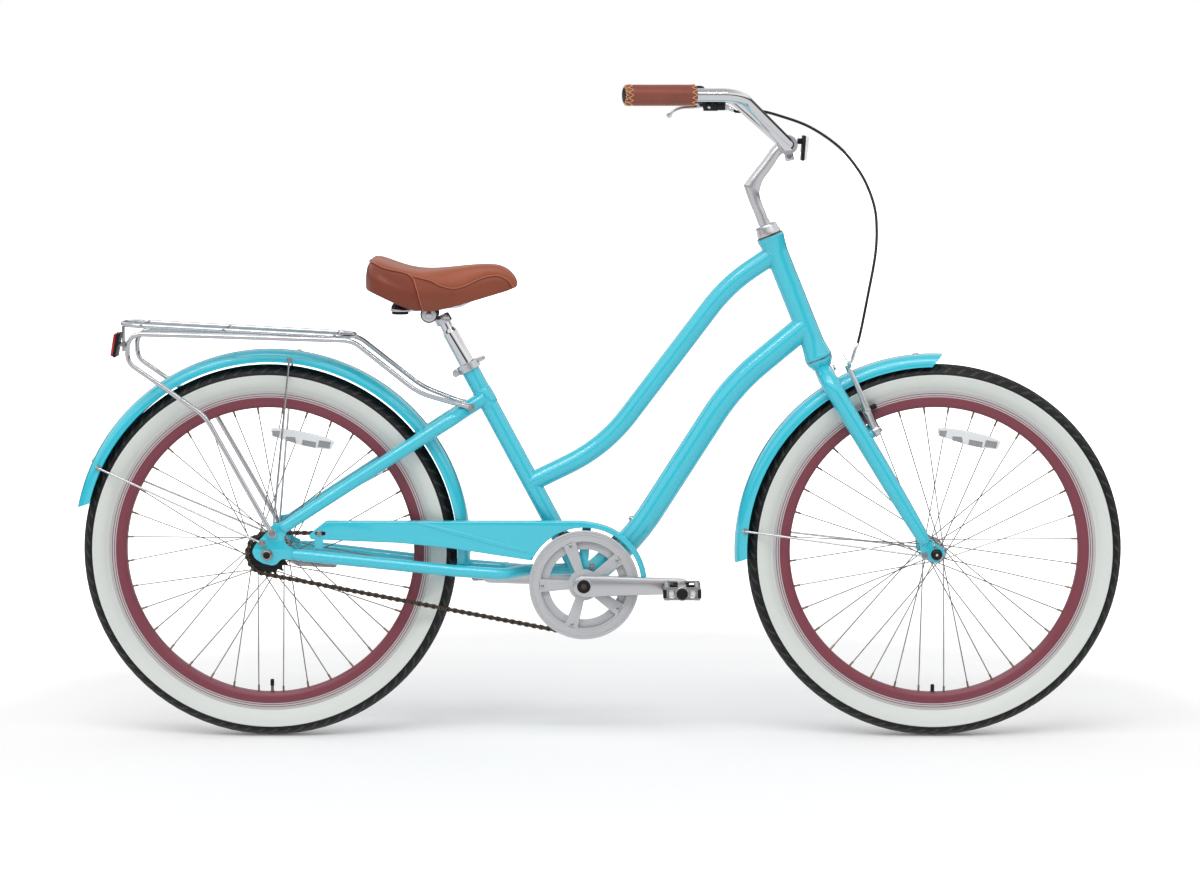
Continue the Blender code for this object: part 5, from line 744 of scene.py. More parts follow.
def socket_head(made, centre, axis, radius, height):
    """A round head with a hex recess."""
    hole = radius * 0.5
    profile = [(0, height * 0.3), (hole, height * 0.3), (hole, height), (radius * 0.9, height),
               (radius, height * 0.88)]
    lathe(made, [*profile, (radius, 0), (0, 0)], centre, axis, 24)


def slab(made, outline, near, far):
    """A flat piece with square edges, for what repeats many times."""
    low = [made.verts.new(across(point, near)) for point in outline]
    high = [made.verts.new(across(point, far)) for point in outline]
    ring_faces(made, low, high)
    for face in (made.faces.new(low[::-1]), made.faces.new(high)):
        face.smooth = False


def group(name, body, nodes, slot=None, **made):
    """Meshes that make one piece of the bike, one for each look."""
    for look, mesh in made.items():
        right_way_out(mesh)
        piece(f"{name}_{look}", mesh, look, body, *nodes, slot=slot)


# Spokes, hubs and axles
SPOKE_RADIUS = 0.0010
SPOKES_A_SIDE = 18
SPOKE_PHASE = 9.5
SPOKE_CROSSES = 3
FRONT_FLANGE = (0.0195, 0.033, 0.0125)
REAR_FLANGE = (0.032, 0.029, 0.024)
FLANGE_THICKNESS = 0.003
NIPPLE = 0.012
HUB_BORE = 0.0056
VALVES_SHOWN = (0.023, 0.014)


def build_spokes(name, body, centre, flange):
    """Three-cross lacing: each spoke has its head in a flange and its nipple in the rim."""
    flange_radius, spread, _ = flange
    step = 360 / SPOKES_A_SIDE
    steel, brass = meshes(2)
    for side in (RIGHT, LEFT):
        for k in range(SPOKES_A_SIDE):
            way = 1 if k % 2 else -1
            hub_angle = SPOKE_PHASE + step * k + step / 4 + (step / 2 if side == LEFT else 0)
            hole = across(centre + direction(hub_angle) * (flange_radius - 0.003),
                          side * (spread + way * 0.0026))
            rim_at = centre + direction(hub_angle + way * SPOKE_CROSSES * step) * (RIM_INNER_RADIUS + 0.001)
            rim = across(rim_at, side * 0.003)
            along = (rim - hole).normalized()
            nipple = rim - along * NIPPLE
            head = across(hole, side * (spread - way * 0.0016))
            sweep(steel, [head, across(hole, side * (spread + way * 0.0016)), hole + along * 0.0022,
                          nipple], SPOKE_RADIUS, 8)
            lathe(steel, [(0, 0.0013), (0.0014, 0.0010), (0.0021, 0)], head, ACROSS * (-way * side), 10)
            sweep(brass, [nipple, nipple + along * 0.001, rim - along * 0.003, rim],
                  [0.0013, 0.0018, 0.0018, 0.0024], 8)
    group(name, body, [], "steel", spoke_steel=steel, brass=brass)


def hub_profile(flange, end_radius, end):
    """A hub's outside from end to end, closed by its bore."""
    radius, spread, barrel = flange
    half = FLANGE_THICKNESS / 2
    outside = [
        (end_radius, end),
        (end_radius, spread + half + 0.0022),
        (end_radius + 0.0020, spread + half + 0.0008),
        (radius - 0.0068, spread + half - 0.0002),
        (radius - 0.0008, spread + half),
        (radius, spread + half - 0.0007),
        (radius, spread - half + 0.0007),
        (radius - 0.0008, spread - half),
        (radius - 0.0062, spread - half),
        (barrel + 0.0010, spread - half - 0.0022),
        (barrel, spread - half - 0.0060),
        (barrel - 0.0006, 0),
    ]
    mirrored = [(r, -h) for r, h in outside[::-1][1:]]
    return [(HUB_BORE, end), *outside, *mirrored, (HUB_BORE, -end)]


def build_hubs():
    made, dark = meshes(2)
    lathe(made, hub_profile(FRONT_FLANGE, 0.0088, 0.0430), FRONT_AXLE, ACROSS, 64, True)
    for side in (RIGHT, LEFT):
        lathe(dark, [(0.0053, 0.0430), (0.0084, 0.0430), (0.0078, 0.0450), (0.0053, 0.0452)], FRONT_AXLE,
              ACROSS * side, 32, True)
        hexagon(made, across(FRONT_AXLE, side * 0.0452), ACROSS * side, 0.0080, 0.0044)
    group("front_hub_shell", "front_wheel", ["front_hub"], alloy=made, black_plastic=dark)

    made, dark = meshes(2)
    lathe(made, hub_profile(REAR_FLANGE, 0.0190, 0.0335), REAR_AXLE, ACROSS, 72, True)
    neck = [(0.0175, 0.0335), (0.0165, 0.0372), (0.0110, 0.0390), (0.0100, 0.0480)]
    lathe(made, [(HUB_BORE, 0.0335), *neck, (HUB_BORE, 0.0480)],
          REAR_AXLE, ACROSS, 48, True)
    lathe(dark, [(0.0190, 0.0337), (0.0205, 0.0340), (0.0205, 0.0350), (0.0190, 0.0352)], REAR_AXLE, ACROSS,
          48, True)
    group("rear_hub_shell", "rear_wheel", ["rear_hub"], alloy=made, dark_steel=dark)
    build_spokes("front_spokes", "front_wheel", FRONT_AXLE, FRONT_FLANGE)
    build_spokes("rear_spokes", "rear_wheel", REAR_AXLE, REAR_FLANGE)


def build_axles():
    made, caps = meshes(2)
    crossing(made, FRONT_AXLE, -0.0600, 0.0600, 0.0045)
    for side in (RIGHT, LEFT):
        axis = ACROSS * side
        washer(made, 0.0045, 0.0098, 0.0553, 0.0565, FRONT_AXLE, axis, 32)
        hexagon(made, across(FRONT_AXLE, side * 0.0565), axis, 0.0088, 0.0040)
        dome = [(0.0100, 0.0580), (0.0100, 0.0608), (0.0094, 0.0630), (0.0078, 0.0648), (0.0052, 0.0660),
                (0.0024, 0.0664), (0, 0.0664)]
        lathe(caps, [(0, 0.0580), *dome], FRONT_AXLE, axis, 36)
        lathe(made, [(0.0023, 0.0655), (0.0021, 0.0672), (0.0012, 0.0677), (0, 0.0678)], FRONT_AXLE, axis,
              16)
    group("front_axle_ends", "steering", ["front_axle"], "steel", chrome=made, black_plastic=caps)

    made, dark = meshes(2)
    crossing(made, REAR_AXLE, -0.0700, 0.0700, 0.0046)
    for side in (RIGHT, LEFT):
        axis = ACROSS * side
        washer(made, 0.0046, 0.0100, 0.0613, 0.0626, REAR_AXLE, axis, 32)
        hexagon(made, across(REAR_AXLE, side * 0.0626), axis, 0.0094, 0.0060, 0.0008)
        lathe(made, [(0.0060, 0.0686), (0.0048, 0.0694), (0.0046, 0.0724), (0.0036, 0.0735), (0, 0.0738)],
              REAR_AXLE, axis, 24)
        lathe(dark, [(0.0062, 0.0684), (0.0062, 0.0690), (0.0049, 0.0696)], REAR_AXLE, axis, 24)
        lathe(dark, [(0.0047, 0.0700), (0.0047, 0.0736), (0.0036, 0.0747), (0, 0.0750)], REAR_AXLE, axis,
              24)
    group("rear_axle_ends", "frame", ["rear_axle"], "steel", steel=made, casing=dark)


def build_valves():
    """Each valve stands on the lowest place of its rim and points to the axle."""
    for (name, body, centre), shown in zip(WHEELS, VALVES_SHOWN):
        stem, cap = meshes(2)
        foot = centre - UP * (RIM_INNER_RADIUS + 0.001)
        rod(stem, foot, foot + UP * (shown - 0.004), 0.0026, 16)
        lathe(stem, [(0.0026, 0), (0.0046, 0.0003), (0.0046, 0.0022), (0.0026, 0.0026)], foot, UP, 6)
        ridged = [(0.0033 + 0.0003 * (k % 2), shown - 0.011 + 0.0010 * k) for k in range(8)]
        lathe(cap, [(0, shown - 0.011), *ridged, (0.0030, shown + 0.0005), (0, shown + 0.001)], foot, UP,
              18)
        group(name + "_valve", body, [], "steel", brass=stem, black_plastic=cap)


# Drivetrain
CHAIN_PITCH = 0.0127
RING_TEETH = 44
COG_TEETH = 18
CHAIN_LINE = 0.044
RING_RADIUS = CHAIN_PITCH / (2 * math.sin(math.pi / RING_TEETH))
COG_RADIUS = CHAIN_PITCH / (2 * math.sin(math.pi / COG_TEETH))
GUARD_DISC_FACE = 0.0490
GUARD_DISC_RADIUS = 0.096
GUARD_DISC_BAND = 0.076
GUARD_DISC_SHEET = 0.003
CRANK_LENGTH = 0.170
CRANK_INNER_FACE = 0.0590
CRANK_THICKNESS = 0.013
CRANK_BOSS_RADIUS = 0.0190
CRANK_END_RADIUS = 0.0135
PEDAL_INNER = 0.0750
PEDAL_OUTER = 0.1570
PEDAL_HALF = 0.0330


def chain_loop():
    """The chain's pitch line round both sprockets."""
    gap = BB - REAR_AXLE
    base = math.degrees(math.atan2(gap.z, gap.x))
    spread = math.degrees(math.acos((COG_RADIUS - RING_RADIUS) / gap.length))
    cog = arc(REAR_AXLE, COG_RADIUS, base + spread, base + 360 - spread, 60)
    return cog + arc(BB, RING_RADIUS, base - spread, base + spread, 160)


def spaced(loop, pitch):
    """Points one pitch apart round a closed loop. The pitch is drawn out a little so that they meet."""
    runs = [(b - a).length for a, b in zip(loop, loop[1:] + loop[:1])]
    total = sum(runs)
    count = 2 * round(total / pitch / 2)
    points, place, start = [], 0, 0.0
    for k in range(count):
        wanted = total * k / count
        while start + runs[place] < wanted:
            start += runs[place]
            place += 1
        after = loop[(place + 1) % len(loop)]
        points.append(loop[place].lerp(after, (wanted - start) / runs[place]))
    return points


def link_outline(first, second, radius, waist):
    """A chain plate's outline: round both pins and drawn in at its waist."""
    along = math.degrees(math.atan2(second.z - first.z, second.x - first.x))
    middle = (first + second) / 2
    up = direction(along + 90)
    points = [second + direction(along + a) * radius for a in (-60, -30, 0, 30, 60)]
    points.append(middle + up * waist)
    points += [first + direction(along + a) * radius for a in (120, 150, 180, 210, 240)]
    return [*points, middle - up * waist]


def build_chain():
    made, pins = meshes(2)
    places = spaced(chain_loop(), CHAIN_PITCH)
    for k, place in enumerate(places):
        after = places[(k + 1) % len(places)]
        gap = 0.0031 if k % 2 else 0.0021
        outline = link_outline(place, after, 0.0047, 0.0024)
        for side in (1, -1):
            slab(made, outline, -CHAIN_LINE + side * gap, -CHAIN_LINE + side * (gap + 0.0009))
        crossing(pins, place, -CHAIN_LINE - 0.0043, -CHAIN_LINE + 0.0043, 0.0018, 10)
        crossing(pins, place, -CHAIN_LINE - 0.0020, -CHAIN_LINE + 0.0020, 0.0038, 12)
    group("chain_links", "frame", ["chain"], "dark_steel", dark_steel=made, casing=pins)


def toothed(centre, teeth, pitch_radius):
    """Rounded gullets with a flat-topped tooth between each pair."""
    points = []
    step = 360 / teeth
    for k in range(teeth):
        for share, rise in ((0, -0.0039), (0.14, -0.0032), (0.28, -0.0012), (0.38, 0.0016), (0.46, 0.0034),
                            (0.54, 0.0034), (0.62, 0.0016), (0.72, -0.0012), (0.86, -0.0032)):
            points.append(centre + direction((k + share) * step) * (pitch_radius + rise))
    return points


def build_sprockets():
    cog, sleeve = meshes(2)
    holes = [arc(REAR_AXLE, 0.0165, 0, 345, 24)]
    plate(cog, toothed(REAR_AXLE, COG_TEETH, COG_RADIUS), -CHAIN_LINE - 0.0012, -CHAIN_LINE + 0.0012,
          0.0003, holes)
    profile = [(0.0054, 0.0358), (0.0172, 0.0358), (0.0172, 0.0425), (0.0185, 0.0430), (0.0185, 0.0455),
               (0.0168, 0.0460), (0.0160, 0.0478), (0.0118, 0.0482), (0.0112, 0.0536), (0.0054, 0.0538)]
    lathe(sleeve, profile, REAR_AXLE, -ACROSS, 48, True)
    group("rear_cog", "driver", ["rear_sprocket"], "dark_steel", casing=cog, steel=sleeve)

    ring = bmesh.new()
    plate(ring, toothed(BB, RING_TEETH, RING_RADIUS), -CHAIN_LINE - 0.0014, -CHAIN_LINE + 0.0014, 0.0003,
          [arc(BB, 0.062, 0, 355, 72)])
    group("chainring_teeth", "cranks", ["chainring"], "alloy", silver_paint=ring)


GUARD_ARMS = [-35 + 72 * k for k in range(5)]


def spider_outline():
    """The guard's inner edge: five arms that widen into the band and into the boss."""
    windows = []
    outer_cut = math.degrees(math.asin(0.0115 / GUARD_DISC_BAND))
    inner_cut = math.degrees(math.asin(0.0088 / 0.031))
    for angle in GUARD_ARMS:
        after = angle + 72
        outer = arc(BB, GUARD_DISC_BAND, angle + outer_cut, after - outer_cut, 18)
        inner = arc(BB, 0.0275, after - inner_cut, angle + inner_cut, 8)
        ring = [across(point, 0) for point in outer + inner]
        windows.append(fillet(ring, [0.007 if i in (0, 17, 18, 25) else 0 for i in range(26)], 4, True))
    return windows


def build_guard_disc():
    face, rim, sheet = -GUARD_DISC_FACE, GUARD_DISC_RADIUS, GUARD_DISC_SHEET
    front = across(BB, face - sheet)
    disc, marks = meshes(2)
    plate(disc, arc(BB, rim, 0, 357, 120), face, face - sheet, 0.0010, spider_outline())
    lip = [(rim - 0.0042, 0), (rim - 0.0034, 0.0010), (rim - 0.0012, 0.0010), (rim, 0)]
    lathe(disc, [*lip, (rim, -sheet), (rim - 0.0042, -sheet)], front, -ACROSS, 120, True)
    for radius in (GUARD_DISC_BAND + 0.0018, GUARD_DISC_BAND + 0.0128):
        bead = [(radius - 0.0013, 0), (radius - 0.0007, 0.0008), (radius + 0.0007, 0.0008),
                (radius + 0.0013, 0)]
        lathe(disc, bead, front, -ACROSS, 120)
    for angle in GUARD_ARMS:
        rivet = across(BB + direction(angle) * 0.0725, front.y)
        block(disc, rivet, (0.0120, 0.0016, 0.0120), leaning(angle), 0.0007, 2)
        rivet = rivet - ACROSS * 0.0008
        lathe(marks, [(0, 0.0010), (0.0020, 0.0009), (0.0030, 0.0003), (0.0032, 0)], rivet, -ACROSS, 24)
        crossing(marks, rivet, -CHAIN_LINE - 0.0014, face - 0.001, 0.0045, 16)
    boss = [(0.0130, 0.0006), (0.0225, 0.0006), (0.0230, 0), (0.0230, -sheet), (0.0130, -sheet)]
    lathe(disc, boss, front, -ACROSS, 64, True)
    group("guard_disc", "cranks", ["chainring_guard"], "alloy", silver_paint=disc, steel=marks)


def crank_outline(centre, eye, big, small):
    """A crank's outline: round the axle's boss and the pedal's eye, with straight flanks."""
    along = math.degrees(math.atan2(0, eye.x - centre.x))
    lean = math.degrees(math.asin((big - small) / CRANK_LENGTH))
    back = arc(centre, big, along + 90 - lean, along + 270 + lean, 30)
    return back + arc(eye, small, along - 90 + lean, along + 90 - lean, 24)


def build_cranks():
    for name, side in SIDES:
        arm, dark, steel, bolt = meshes(4)
        axis = ACROSS * side
        inner = side * CRANK_INNER_FACE
        outer = side * (CRANK_INNER_FACE + CRANK_THICKNESS)
        eye = beside(BB, -side * CRANK_LENGTH, 0)
        plate(arm, crank_outline(BB, eye, CRANK_BOSS_RADIUS, CRANK_END_RADIUS), inner, outer, 0.0044)
        washer(arm, 0.0090, 0.0128, 0, 0.0115, across(BB, side * 0.0480), axis, 48)
        lathe(arm, [(0.0118, 0), (0.0140, 0), (0.0136, 0.0012), (0.0118, 0.0014)], across(BB, outer), axis,
              48, True)
        lathe(dark, [(0, 0.0016), (0.0060, 0.0014), (0.0100, 0.0008), (0.0118, 0)], across(BB, outer), axis,
              40)
        lathe(bolt, [(0, 0.0024), (0.0050, 0.0024), (0.0056, 0.0018), (0.0056, 0)], across(BB, outer), axis,
              6)
        lathe(steel, [(0, 0.0010), (0.0050, 0.0010), (0.0064, 0.0002), (0.0064, -0.001)],
              across(eye, outer), axis, 6)
        spindle = [(0.0066, 0), (0.0066, 0.0020), (0.0050, 0.0026), (0.0050, 0.0730), (0, 0.0730)]
        lathe(steel, [(0, 0), *spindle], across(eye, outer), axis, 24)
        crank = "crank_" + name
        group(crank + "_arm", "cranks", [crank], "alloy", alloy=arm, black_plastic=dark, chrome=steel,
              dark_steel=bolt)
        build_pedal("pedal_" + name, side, eye)
    axle = bmesh.new()
    lathe(axle, [(0, -0.066), (0.0075, -0.066), (0.0085, -0.060), (0.0085, 0.060), (0.0075, 0.066),
                 (0, 0.066)], BB, ACROSS, 32)
    group("crank_spindle", "cranks", ["crank_axle"], steel=axle)


def rectangle(centre, near, far, half):
    """Four corners in the side view, between two places ahead of the centre."""
    return [beside(centre, x, z) for x, z in ((near, -half), (far, -half), (far, half), (near, half))]


def build_pedal(name, side, eye):
    """A silver cage round a black body: pierced end plates, four toothed bars and amber reflectors."""
    body, cage, amber, lens = meshes(4)
    inner, outer = PEDAL_INNER, PEDAL_OUTER
    middle, depth = (inner + outer) / 2, outer - inner
    half, high = PEDAL_HALF, 0.0112
    corners = rectangle(eye, -half, half, high)
    windows = []
    for way in (1, -1):
        windows.append(fillet(rectangle(eye, way * 0.0132, way * 0.0240, 0.0072), [0.0020] * 4, 3, True))
    for near, far in ((inner, inner + 0.003), (outer - 0.003, outer)):
        plate(cage, fillet(corners, [0.0060] * 4, 5, True), side * near, side * far, 0.0007, windows)
    crossing(body, eye, side * (inner + 0.0005), side * (outer - 0.004), 0.0100, 32)
    cap = [(0.0098, 0), (0.0118, 0), (0.0118, 0.0010), (0.0110, 0.0016), (0.0098, 0.0014)]
    outward(cage, cap, eye, side, outer - 0.0004, 40, True)
    plug = [(0.0100, -0.004), (0.0100, 0.0004), (0.0090, 0.0012), (0.0040, 0.0017), (0, 0.0018)]
    outward(body, plug, eye, side, outer, 40)
    for way in (1, -1):
        for up in (1, -1):
            bar = across(beside(eye, way * 0.0262, up * 0.0096), side * middle)
            block(cage, bar, (0.0100, depth - 0.004, 0.0024), bevel=0.0008)
            for k in range(9):
                tooth = across(beside(bar, 0, up * 0.0014), side * (inner + depth * (k + 0.7) / 9.4))
                block(cage, tooth, (0.0096, 0.0042, 0.0022), bevel=0.0006, segments=1)
        edge = beside(eye, way * (half - 0.0038), 0)
        block(body, across(beside(eye, way * (half - 0.0034), 0), side * (outer - 0.0010)),
              (0.0062, 0.0032, 0.0150), bevel=0.0008)
        block(amber, across(edge, side * middle), (0.0050, depth * 0.60, 0.0136), bevel=0.0008)
        for share in (0.10, 0.90):
            end_at = across(beside(edge, way * 0.0004, 0), side * (inner + depth * share))
            block(body, end_at, (0.0064, depth * 0.17, 0.0160), bevel=0.0012)
        block(lens, across(beside(eye, way * 0.0186, 0), side * (outer - 0.0052)), (0.0100, 0.0030, 0.0136),
              bevel=0.0008)
    for share in (0.30, 0.70):
        block(body, across(eye, side * (inner + depth * share)), (0.0500, 0.0044, 0.0150), bevel=0.0012)
    for up in (1, -1):
        block(cage, across(beside(eye, 0, up * 0.0100), side * middle), (0.0140, depth - 0.004, 0.0018),
              bevel=0.0006)
    group(name + "_body", name, [name], "black_plastic", black_plastic=body, steel=cage, amber=amber,
          clear_plastic=lens)


# Chain guard
GUARD_FACE = GUARD_DISC_FACE + GUARD_DISC_SHEET
GUARD_DEPTH = 0.0165
GUARD_TOP = 0.1120
GUARD_OUTER = 0.1100
GUARD_INNER = 0.1005
GUARD_NOSE = 0.071
GUARD_CREASE = ((0.258, 0.3850), (0.310, 0.3715), (0.390, 0.3500), (0.464, 0.3305))


def guard_outline():
    """Round the side view: the nose, the top, the front arc, the arc inside the disc and the lower edge."""
    front_end = math.degrees(math.asin(0.0125 / GUARD_OUTER))
    low = [(-0.0913, 0.0425), (-0.2340, 0.0645), (-0.3220, 0.0735)]
    ring = [at(GUARD_NOSE, WHEEL_RADIUS + 0.033), Vector((at(GUARD_NOSE + 0.031, 0).x, 0,
                                                          BB.z + GUARD_TOP))]
    ring.append(beside(BB, 0, GUARD_TOP))
    ring += arc(BB, GUARD_OUTER, 78, front_end, 26)
    ring += arc(BB, GUARD_INNER, front_end, 155, 44)
    ring += [beside(BB, x, z) for x, z in low]
    ring.append(at(GUARD_NOSE + 0.005, WHEEL_RADIUS + 0.0255))
    rounds = [0.006, 0.012, 0.4] + [0] * 70 + [0.05, 0.3, 0.3, 0.004]
    return fillet(ring, rounds, 5, True)


def inset(ring, distance):
    """The ring drawn in by a distance, in the side view."""
    area = sum(a.x * b.z - b.x * a.z for a, b in zip(ring, ring[1:] + ring[:1]))
    turn = -1 if area > 0 else 1
    moved = []
    for before, point, after in zip(ring[-1:] + ring[:-1], ring, ring[1:] + ring[:1]):
        along = (point - before).normalized() + (after - point).normalized()
        along.normalize()
        moved.append(point + Vector((along.z, 0, -along.x)) * (turn * distance))
    return moved


def build_chain_guard():
    sheet, steel, dark = meshes(3)
    ring = guard_outline()
    face = -GUARD_FACE
    steps = [(0.0030, 0), (0.0014, 0.0003), (0.0004, 0.0012), (0, 0.0028), (0, GUARD_DEPTH - 0.0004),
             (0.0006, GUARD_DEPTH), (0.0013, GUARD_DEPTH - 0.0004), (0.0015, 0.0030), (0.0036, 0.0015)]
    loops = [[sheet.verts.new(across(point, face + depth)) for point in inset(ring, draw)] for draw,
             depth in steps]
    for first, second in zip(loops, loops[1:]):
        ring_faces(sheet, first, second)
    sheet.faces.new(loops[0])
    sheet.faces.new(loops[-1][::-1])
    tab_low = WHEEL_RADIUS + 0.0085
    tab_high = WHEEL_RADIUS + 0.036
    tab_at = at(GUARD_NOSE + 0.019, (tab_low + tab_high) / 2, face + 0.0008)
    block(sheet, tab_at, (0.015, 0.0014, tab_high - tab_low), bevel=0.0005)
    crease = smooth([at(x, z, face) for x, z in GUARD_CREASE], 0.004)
    last = len(crease) - 1
    swell = [0.0004 + 0.0013 * math.sin(math.pi * k / last) ** 0.5 for k in range(last + 1)]
    sweep(sheet, crease, swell, 12, up=ACROSS, flat=2.6)
    # The slot is a thin black sheet laid on the guard's face: painted shade for the opening behind it.
    slot = [arc(at(0.0865, 0.3655), 0.0034, 90, 270, 8), arc(at(0.0985, 0.3655), 0.0034, -90, 90, 8)]
    plate(dark, slot[0] + slot[1], face, face - 0.0003, 0)
    socket_head(steel, at(0.0905, 0.3655, face - 0.0003), -ACROSS, 0.0046, 0.0026)
    near = -BB_SHELL_WIDTH / 2 - 0.0003
    foot = BB_SHELL_RADIUS - 0.0017
    reach = GUARD_OUTER - 0.0008
    corners = [(a, foot) for a in range(50, 111, 10)]
    corners += [(100, 0.050), (91, reach), (83, reach), (78, 0.036), (58, reach), (50, reach), (46, 0.050)]
    outline = [BB + direction(angle) * radius for angle, radius in corners]
    plate(sheet, outline, near, near - 0.002, 0.0004)
    bolt_head(steel, across(BB + direction(66) * 0.0335, near - 0.002), -ACROSS, 0.0046, 0.0036)
    group("guard_sheet", "frame", ["chain_guard"], "paint", paint=sheet, steel=steel, black_plastic=dark)


# Fork
BRAKE_OUT = direction(31)
BRAKE_UP = direction(121)
CROWN = HEAD_BOTTOM - HEAD_UP * 0.0015
BLADE_MEETING = CROWN - HEAD_UP * 0.024
BLADE_BEHIND = 0.006
BRAKE_RISE = 0.2382
BLADE_TIP = FRONT_AXLE - BRAKE_OUT * BLADE_BEHIND + BRAKE_UP * 0.0418
BRAKE_ROOT = FRONT_AXLE - BRAKE_OUT * BLADE_BEHIND + BRAKE_UP * BRAKE_RISE
TIP_OUT = 0.0525
FORK_STAY_EYE = beside(FRONT_AXLE, -0.0205, -0.002)
BRAKE_MID = 0.0265
BOSS_OUT = 0.040


def build_fork():
    paint, metal = meshes(2)
    lathe(paint, [(0, -0.0003), (0.0232, -0.0003), (0.0234, -0.0030), (0.0222, -0.0062), (0.0190, -0.0110),
                  (0.0165, -0.0160), (0, -0.0160)], CROWN, HEAD_UP, 64)
    shoulder = BLADE_TIP + BRAKE_UP * ((BLADE_MEETING - BLADE_TIP).dot(BRAKE_UP) - 0.014)
    low_tip = BLADE_TIP - BRAKE_UP * 0.0100
    for side in (RIGHT, LEFT):
        tip = across(low_tip, side * TIP_OUT)
        corners = [across(BLADE_MEETING, side * 0.004), across(shoulder, side * 0.0475), tip]
        path = fillet(corners, [0, 0.030, 0], 14)
        start, end = path[-2], path[-1]
        path[-1:] = [start.lerp(end, t) for t in (0.25, 0.5, 0.7, 0.85, 0.95, 1.0)]
        radii = [0.0158] * (len(path) - 6) + [0.0157, 0.0152, 0.0144, 0.0133, 0.0120, 0.0104]
        sweep(paint, path, radii, 40)
        lathe(paint, [(0.0104, 0), (0.0096, 0.0030), (0.0070, 0.0060), (0.0030, 0.0076), (0, 0.0080)], tip,
              -BRAKE_UP, 40)
        outline = arc(low_tip, 0.0092, 20, 150, 10)
        outline += arc(FORK_STAY_EYE, 0.0066, 165, 260, 8)
        outline += arc(FRONT_AXLE, 0.0150, -118, -72, 6)
        outline += [FRONT_AXLE + direction(-66) * 0.0150, FRONT_AXLE + direction(-63) * 0.004,
                    FRONT_AXLE + direction(-28) * 0.004]
        outline += arc(FRONT_AXLE, 0.0150, -20, 72, 12)
        eyelets = [arc(beside(FRONT_AXLE, -0.0105, 0.0235), 0.0022, 0, 330, 12)]
        plate(paint, outline, side * 0.050, side * 0.055, 0.0009, eyelets)
        collar = [(0.0079, -0.004), (0.0079, 0.0190), (0.0070, 0.0200), (0.0045, 0.0203), (0.0045, 0.0212)]
        lathe(paint, [(0, -0.004), *collar, (0, 0.0212)], across(BRAKE_ROOT, side * BOSS_OUT), BRAKE_OUT,
              32)
        end_at = across(BRAKE_ROOT + BRAKE_OUT * 0.0318, side * BOSS_OUT)
        lathe(metal, [(0, 0), (0.0062, 0), (0.0062, 0.0012), (0.0052, 0.0016), (0.0048, 0.0040),
                      (0.0030, 0.0046), (0, 0.0046)], end_at, BRAKE_OUT, 20)
        rivet = across(beside(FRONT_AXLE, -0.0035, 0.0140), side * 0.055)
        lathe(metal, [(0, 0.0010), (0.0022, 0.0008), (0.0032, 0)], rivet, ACROSS * side, 16)
        side_bolt(metal, FORK_STAY_EYE, side, 0.0598, 0.0040, 0.0030)
    outward = direction(22)
    crown_bolt = BLADE_MEETING + outward * 0.0172
    socket_head(metal, crown_bolt, outward, 0.0045, 0.0040)
    washer(metal, 0.0042, 0.0075, 0, 0.0010, crown_bolt, outward, 24)
    group("fork_paint", "steering", ["fork"], "paint", paint=paint, steel=metal)


def build_headset():
    cups, dark, nut = meshes(3)
    for base, up in ((HEAD_BOTTOM, -HEAD_UP), (HEAD_TOP, HEAD_UP)):
        washer(cups, 0.0176, 0.0240, 0.0002, 0.0012, base, up, 56)
    group("headset_cups", "frame", ["headset_upper_cup", "headset_lower_cup"], steel=cups)
    base = HEAD_TOP + HEAD_UP * 0.0015
    profile = [(0.0115, 0.0015), (0.0212, 0.0015), (0.0213, 0.0034), (0.0204, 0.0078), (0.0192, 0.0150),
               (0.0186, 0.0182)]
    profile += [(0.0178, 0.0192), (0.0140, 0.0196), (0.0115, 0.0196)]
    lathe(nut, profile, base, HEAD_UP, 56, True)
    washer(dark, 0.0190, 0.0211, 0.0003, 0.0015, base, HEAD_UP, 48)
    group("headset_top_nut", "steering", ["headset_nut"], "alloy", alloy=nut, black_plastic=dark)


# Stem, handlebar and grips
STEM_KNEE = HEAD_TOP + HEAD_UP * 0.0940
STEM_WAY = direction(53)
STEM_HALF_WIDTH = 0.0112
BAR_CENTRE = STEM_KNEE + STEM_WAY * 0.0959 + direction(-37) * 0.0084
BAR_TURN = beside(BAR_CENTRE, -0.0922, 0.0860)
BAR_RADIUS = 0.0111
BAR_REACH = 0.235
GRIP_LENGTH = 0.125
GRIP_RADIUS = 0.0174
SWEEP = math.radians(15)
LACE_TURNS = 24
PLUG_STITCHES = 16
UNDER_STITCHES = 24


def grip_way(side):
    """The way back along a grip, out and away from the stem."""
    return Vector((-math.cos(SWEEP), side * math.sin(SWEEP), 0))


def grip_start(side):
    return across(BAR_TURN, side * BAR_REACH) + grip_way(side) * 0.0743


# The forged stem's rear and front edges from its foot to the clamp, as x and z from the rear axle
STEM_EDGES = (
    (0.8583, 0.8983, 0.8769, 0.9040),
    (0.8504, 0.9192, 0.8699, 0.9230),
    (0.8407, 0.9423, 0.8620, 0.9423),
    (0.8337, 0.9623, 0.8593, 0.9554),
    (0.8318, 0.9693, 0.8610, 0.9659),
    (0.8356, 0.9759, 0.8657, 0.9790),
    (0.8463, 0.9906, 0.8741, 0.9906),
    (0.8617, 1.0099, 0.8849, 1.0060),
    (0.8771, 1.0303, 0.8933, 1.0194),
    (0.8868, 1.0414, 0.9003, 1.0263),
)


